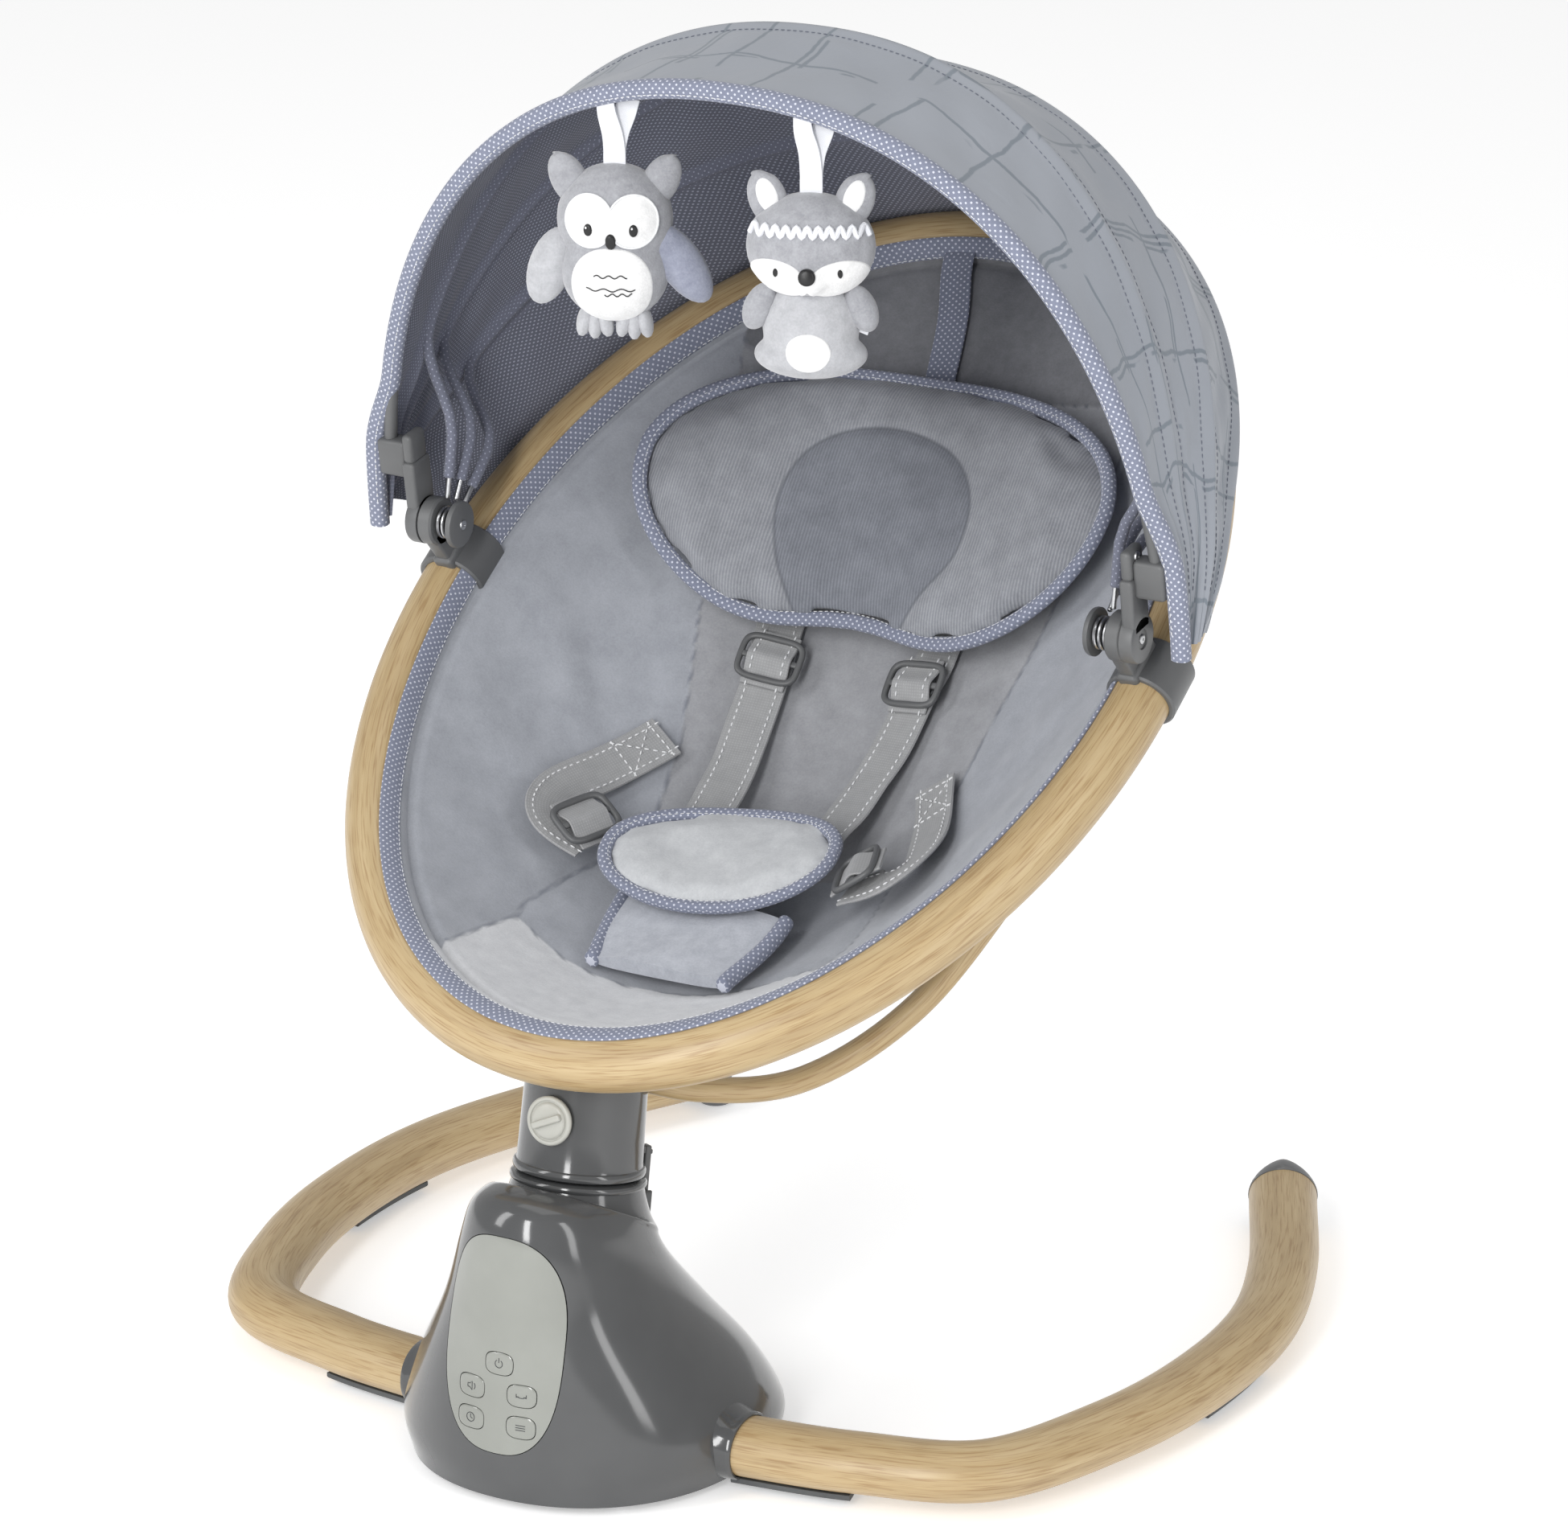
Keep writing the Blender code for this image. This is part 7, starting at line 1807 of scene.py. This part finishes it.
def owl_parts():
    drop = -RIBBON_LENGTH["owl"]
    body = sewn([lobe((0.031, 0.020, 0.028), (0, 0, drop - 0.026)),
                 lobe((0.029, 0.021, 0.026), (0, -0.001, drop - 0.051))])
    ears = [painted(lobe((0.0095, 0.0055, 0.0150), (side * 0.024, 0, drop - 0.007), side * 32),
                    PLUSH) for side in (-1, 1)]
    wings = [painted(lobe((0.0115, 0.007, 0.0205), (-0.0340, -0.002, drop - 0.050), 22), PALE_PLUSH),
             painted(lobe((0.0115, 0.007, 0.0235), (0.0350, -0.003, drop - 0.047), -38), BLUE_PLUSH)]
    front = surface_of(body)
    parts = [painted(body, PLUSH), *ears, *wings]
    mask = goggle_outline((0.0, drop - 0.0235), 0.0115, 0.0132)
    parts.append(painted(patch("mask", mask, front, 0.0006, edge=0.93), WHITE_PLUSH))
    parts.append(painted(embroidered([(x * 0.97, (z - drop + 0.0235) * 0.97 + drop - 0.0235) for x,
                                      z in mask + mask[:1]],
                                     front, 0.0006, 0.0007), WHITE_THREAD_AND_GLINT))
    belly = outline_of(0.0215, 0.0195, 2.2, 60, (0.0, drop - 0.056))
    parts.append(painted(patch("belly", belly, front, 0.0007, edge=0.95), WHITE_PLUSH))
    for side in (-1, 1):
        parts.append(painted(patch("eye", outline_of(0.0024, 0.0033, 2.0, 24,
                                                     (side * 0.0118, drop - 0.0275)), front,
                                   0.0016, 0.0004, 0.7), BLACK_THREAD))
        # painted highlight: a small white patch on each eye, in the white thread material, stands in for a
        # glint of light
        parts.append(painted(patch("glint", outline_of(0.0006, 0.0007, 2.0, 12,
                                                       (side * 0.0118 - 0.0008, drop - 0.0262)),
                                   front, 0.0019, 0.0001, 0.7), WHITE_THREAD_AND_GLINT))
        for toe in (-1, 0, 1):
            parts.append(painted(lobe((0.0042, 0.0060, 0.0085), (side * 0.0105 + toe * 0.0055, -0.004,
                                      drop - 0.0765 - (0.001 if toe == 0 else 0)), toe * -14, 16),
                                      PALE_PLUSH))
    parts.append(painted(patch("beak", outline_of(0.0030, 0.0043, 2.0, 24, (0.0, drop - 0.0330)), front,
                               0.0020, 0.0004,
                               0.7), BLACK_THREAD))
    for z, half, phase in ((-0.050, 0.0085, 0.0), (-0.0565, 0.0125, 1.6), (-0.0590, 0.0070, 3.0)):
        line = [(half * (2 * i / 30 - 1) + (0.004 if z < -0.057 else 0.0),
                 drop + z + 0.0007 * math.sin(11 * i / 30 * math.pi * 0.5 + phase)) for i in range(31)]
        parts.append(painted(embroidered(line, front, 0.00030, 0.0010), BLACK_THREAD))
    return parts


def fox_parts():
    drop = -RIBBON_LENGTH["fox"]
    head = sewn([lobe((0.034, 0.021, 0.0265), (0, -0.001, drop - 0.026)),
                 lobe((0.010, 0.008, 0.010), (0, -0.016, drop - 0.037))])
    body = sewn([lobe((0.0255, 0.018, 0.0250), (0, 0, drop - 0.066)),
                 lobe((0.030, 0.017, 0.012), (0, 0, drop - 0.080))])
    arms = [painted(lobe((0.0080, 0.0065, 0.0125), (side * 0.0265, -0.003, drop - 0.056), side * -28), PLUSH)
            for side in (-1, 1)]
    ears = [painted(lobe((0.0100, 0.0050, 0.0145), (side * 0.0225, 0, drop - 0.0035), side * 24),
                    PLUSH) for side in (-1, 1)]
    face, chest = surface_of(head), surface_of(body)
    parts = [painted(head, PLUSH), painted(body, PALE_PLUSH), *arms, *ears]
    for ear, side in zip(ears, (-1, 1)):
        inner = outline_of(0.0052, 0.0088, 2.0, 28, (side * 0.0225, drop - 0.0010), -side * math.radians(24))
        parts.append(painted(patch("ear_lining", inner, surface_of(ear), 0.0004, 0.0003, edge=0.85),
                             WHITE_PLUSH))
    for side in (-1, 1):
        cheek = outline_of(0.0165, 0.0092, 2.0, 48, (side * 0.0150, drop - 0.0385), side * math.radians(14))
        parts.append(painted(patch("cheek", cheek, face, 0.0007, edge=0.93), WHITE_PLUSH))
        parts.append(painted(patch("eye",
                                   outline_of(0.0014, 0.0024, 2.0, 20, (side * 0.0165, drop - 0.0350)), face,
                                   0.0016, 0.0004, 0.7), BLACK_THREAD))
    parts.append(painted(patch("nose", outline_of(0.0046, 0.0042, 2.0, 28, (0.0, drop - 0.0360)), face,
                               0.0024, 0.0004,
                               0.7), BLACK_THREAD))
    parts.append(painted(patch("belly", outline_of(0.0118, 0.0098, 2.0, 48, (0.0, drop - 0.0755)), chest,
                               0.0007,
                               edge=0.93), WHITE_PLUSH))
    zigzag = []
    for k in range(23):
        x = -0.0305 + 0.061 * k / 22
        zigzag.append((x, drop - 0.0150 + 0.0022 * (1 if k % 2 else -1) - 0.0010 * (x / 0.03) ** 2))
    line = [(p.x, p.y) for p in spline_through([(x, z, 0) for x, z in zigzag], 4)]
    parts.append(painted(embroidered(line, face, 0.0015, 0.0006), RIBBON))
    tag = soft_box("tag", (0.0060, 0.0008, 0.0110), Matrix.Translation((0.0285, 0.0, drop - 0.064))
                   @ Matrix.Rotation(math.radians(20), 4, 'Y'), 0.0003)
    parts.append(painted(tag, RIBBON))
    return parts


def build_toys():
    for word, parts in (("owl", owl_parts()), ("fox", fox_parts())):
        share = (abs(TOY_X[word]) / CANOPY_HALF_WIDTHS[0]) ** CANOPY_ROUNDNESS
        r = CANOPY_RADII[0] * (1 - share) ** (1 / CANOPY_ROUNDNESS)
        top = HUB + Vector((TOY_X[word], 0, 0)) + bow_heading() * r
        for mesh in parts:
            for vertex in mesh.vertices:
                x, y, z = vertex.co
                hang = min(1.0, max(0.0, -z / 0.030))
                turn = TOY_TURN * hang
                x *= TOY_NARROW if hang >= 1 else 1.0
                vertex.co = top + Vector((x * math.cos(turn) - y * math.sin(turn),
                                          x * math.sin(turn) + y * math.cos(turn), z))
        for mesh in ribbon_strands(RIBBON_LENGTH[word]):
            for vertex in mesh.vertices:
                x, y, z = vertex.co
                turn = TOY_TURN * min(1.0, max(0.0, -z / 0.030))
                vertex.co = top + Vector((x * math.cos(turn) - y * math.sin(turn),
                                          x * math.sin(turn) + y * math.cos(turn), z))
            parts.append(mesh)
        toy = piece(f"{word}_plush", joined(word, parts), word, None, [f"toy_{word}"])


# ---------- inside, room and camera
def finish_inside():
    finishes = {"base_bottom_cover": ABS, "circuit_board": BOARD, "speaker": RUBBER, "drive_coil": COPPER,
                "shaft_carrier": ABS, "shaft_bearing": STEEL, "power_jack": RUBBER, "swing_shaft": STEEL,
                "drive_arm": ABS,
                "drive_magnet": STEEL, "column_hub": ABS, "harness_buckle": GREY}
    for name, material in finishes.items():
        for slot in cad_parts[name].material_slots:
            slot.material = material


def build_room():
    bm = bmesh.new()
    bmesh.ops.create_grid(bm, x_segments=2, y_segments=2, size=30.0)
    mesh = bpy.data.meshes.new("floor")
    bm.to_mesh(mesh)
    bm.free()
    floor = bpy.data.objects.new("studio_floor", mesh)
    bpy.context.scene.collection.objects.link(floor)
    material, _, shader = start_material("matt_white_floor",
                                            {"Roughness": 0.9, "Specular IOR Level": 0.1})
    shader.inputs["Base Color"].default_value = colour("F6F6F6")
    shader.inputs["Emission Color"].default_value = (1.0, 1.0, 1.0, 1.0)
    shader.inputs["Emission Strength"].default_value = 0.35
    mesh.materials.append(material)
    world = bpy.data.worlds.new("studio")
    bpy.context.scene.world = world
    world.use_nodes = True
    background = world.node_tree.nodes["Background"]
    background.inputs["Color"].default_value = (1.0, 1.0, 1.0, 1.0)
    background.inputs["Strength"].default_value = 0.52
    for name, place, width, height, power in (("key_softbox", (-1.9, -2.6, 2.0), 0.7, 2.4, 30.0),
                                              ("fill_softbox", (2.9, -0.9, 1.3), 0.5, 2.2, 16.0),
                                              ("front_softbox", (0.5, -3.3, 1.6), 0.6, 2.4, 62.0),
                                              ("top_softbox", (0.2, 0.6, 3.0), 2.4, 2.4, 16.0)):
        data = bpy.data.lights.new(name, 'AREA')
        data.shape = 'RECTANGLE'
        data.size = width
        data.size_y = height
        data.energy = power
        light = bpy.data.objects.new(name, data)
        bpy.context.scene.collection.objects.link(light)
        light.location = place
        light.rotation_euler = (Vector((0, 0, 0.3)) - Vector(place)).to_track_quat('-Z', 'Y').to_euler()
    bpy.context.scene.view_settings.view_transform = 'Standard'


def build_camera():
    data = bpy.data.cameras.new("studio_camera")
    data.sensor_width = 36.0
    data.lens = 161.25
    data.clip_end = 60.0
    camera = bpy.data.objects.new("studio_camera", data)
    bpy.context.scene.collection.objects.link(camera)
    place, target = Vector((1.64627, -2.90160, 1.43631)), Vector((-0.0133, 0.0362, 0.2853))
    turn = (target - place).to_track_quat('-Z', 'Y').to_matrix().to_4x4()
    camera.matrix_world = Matrix.Translation(place) @ turn
    bpy.context.scene.camera = camera


build_camera()
build_room()
build_housing()
build_latch()
build_legs()
build_column()
build_sling()
build_harness()
build_pads()
build_canopy_hardware()
build_canopy()
build_toys()
finish_inside()
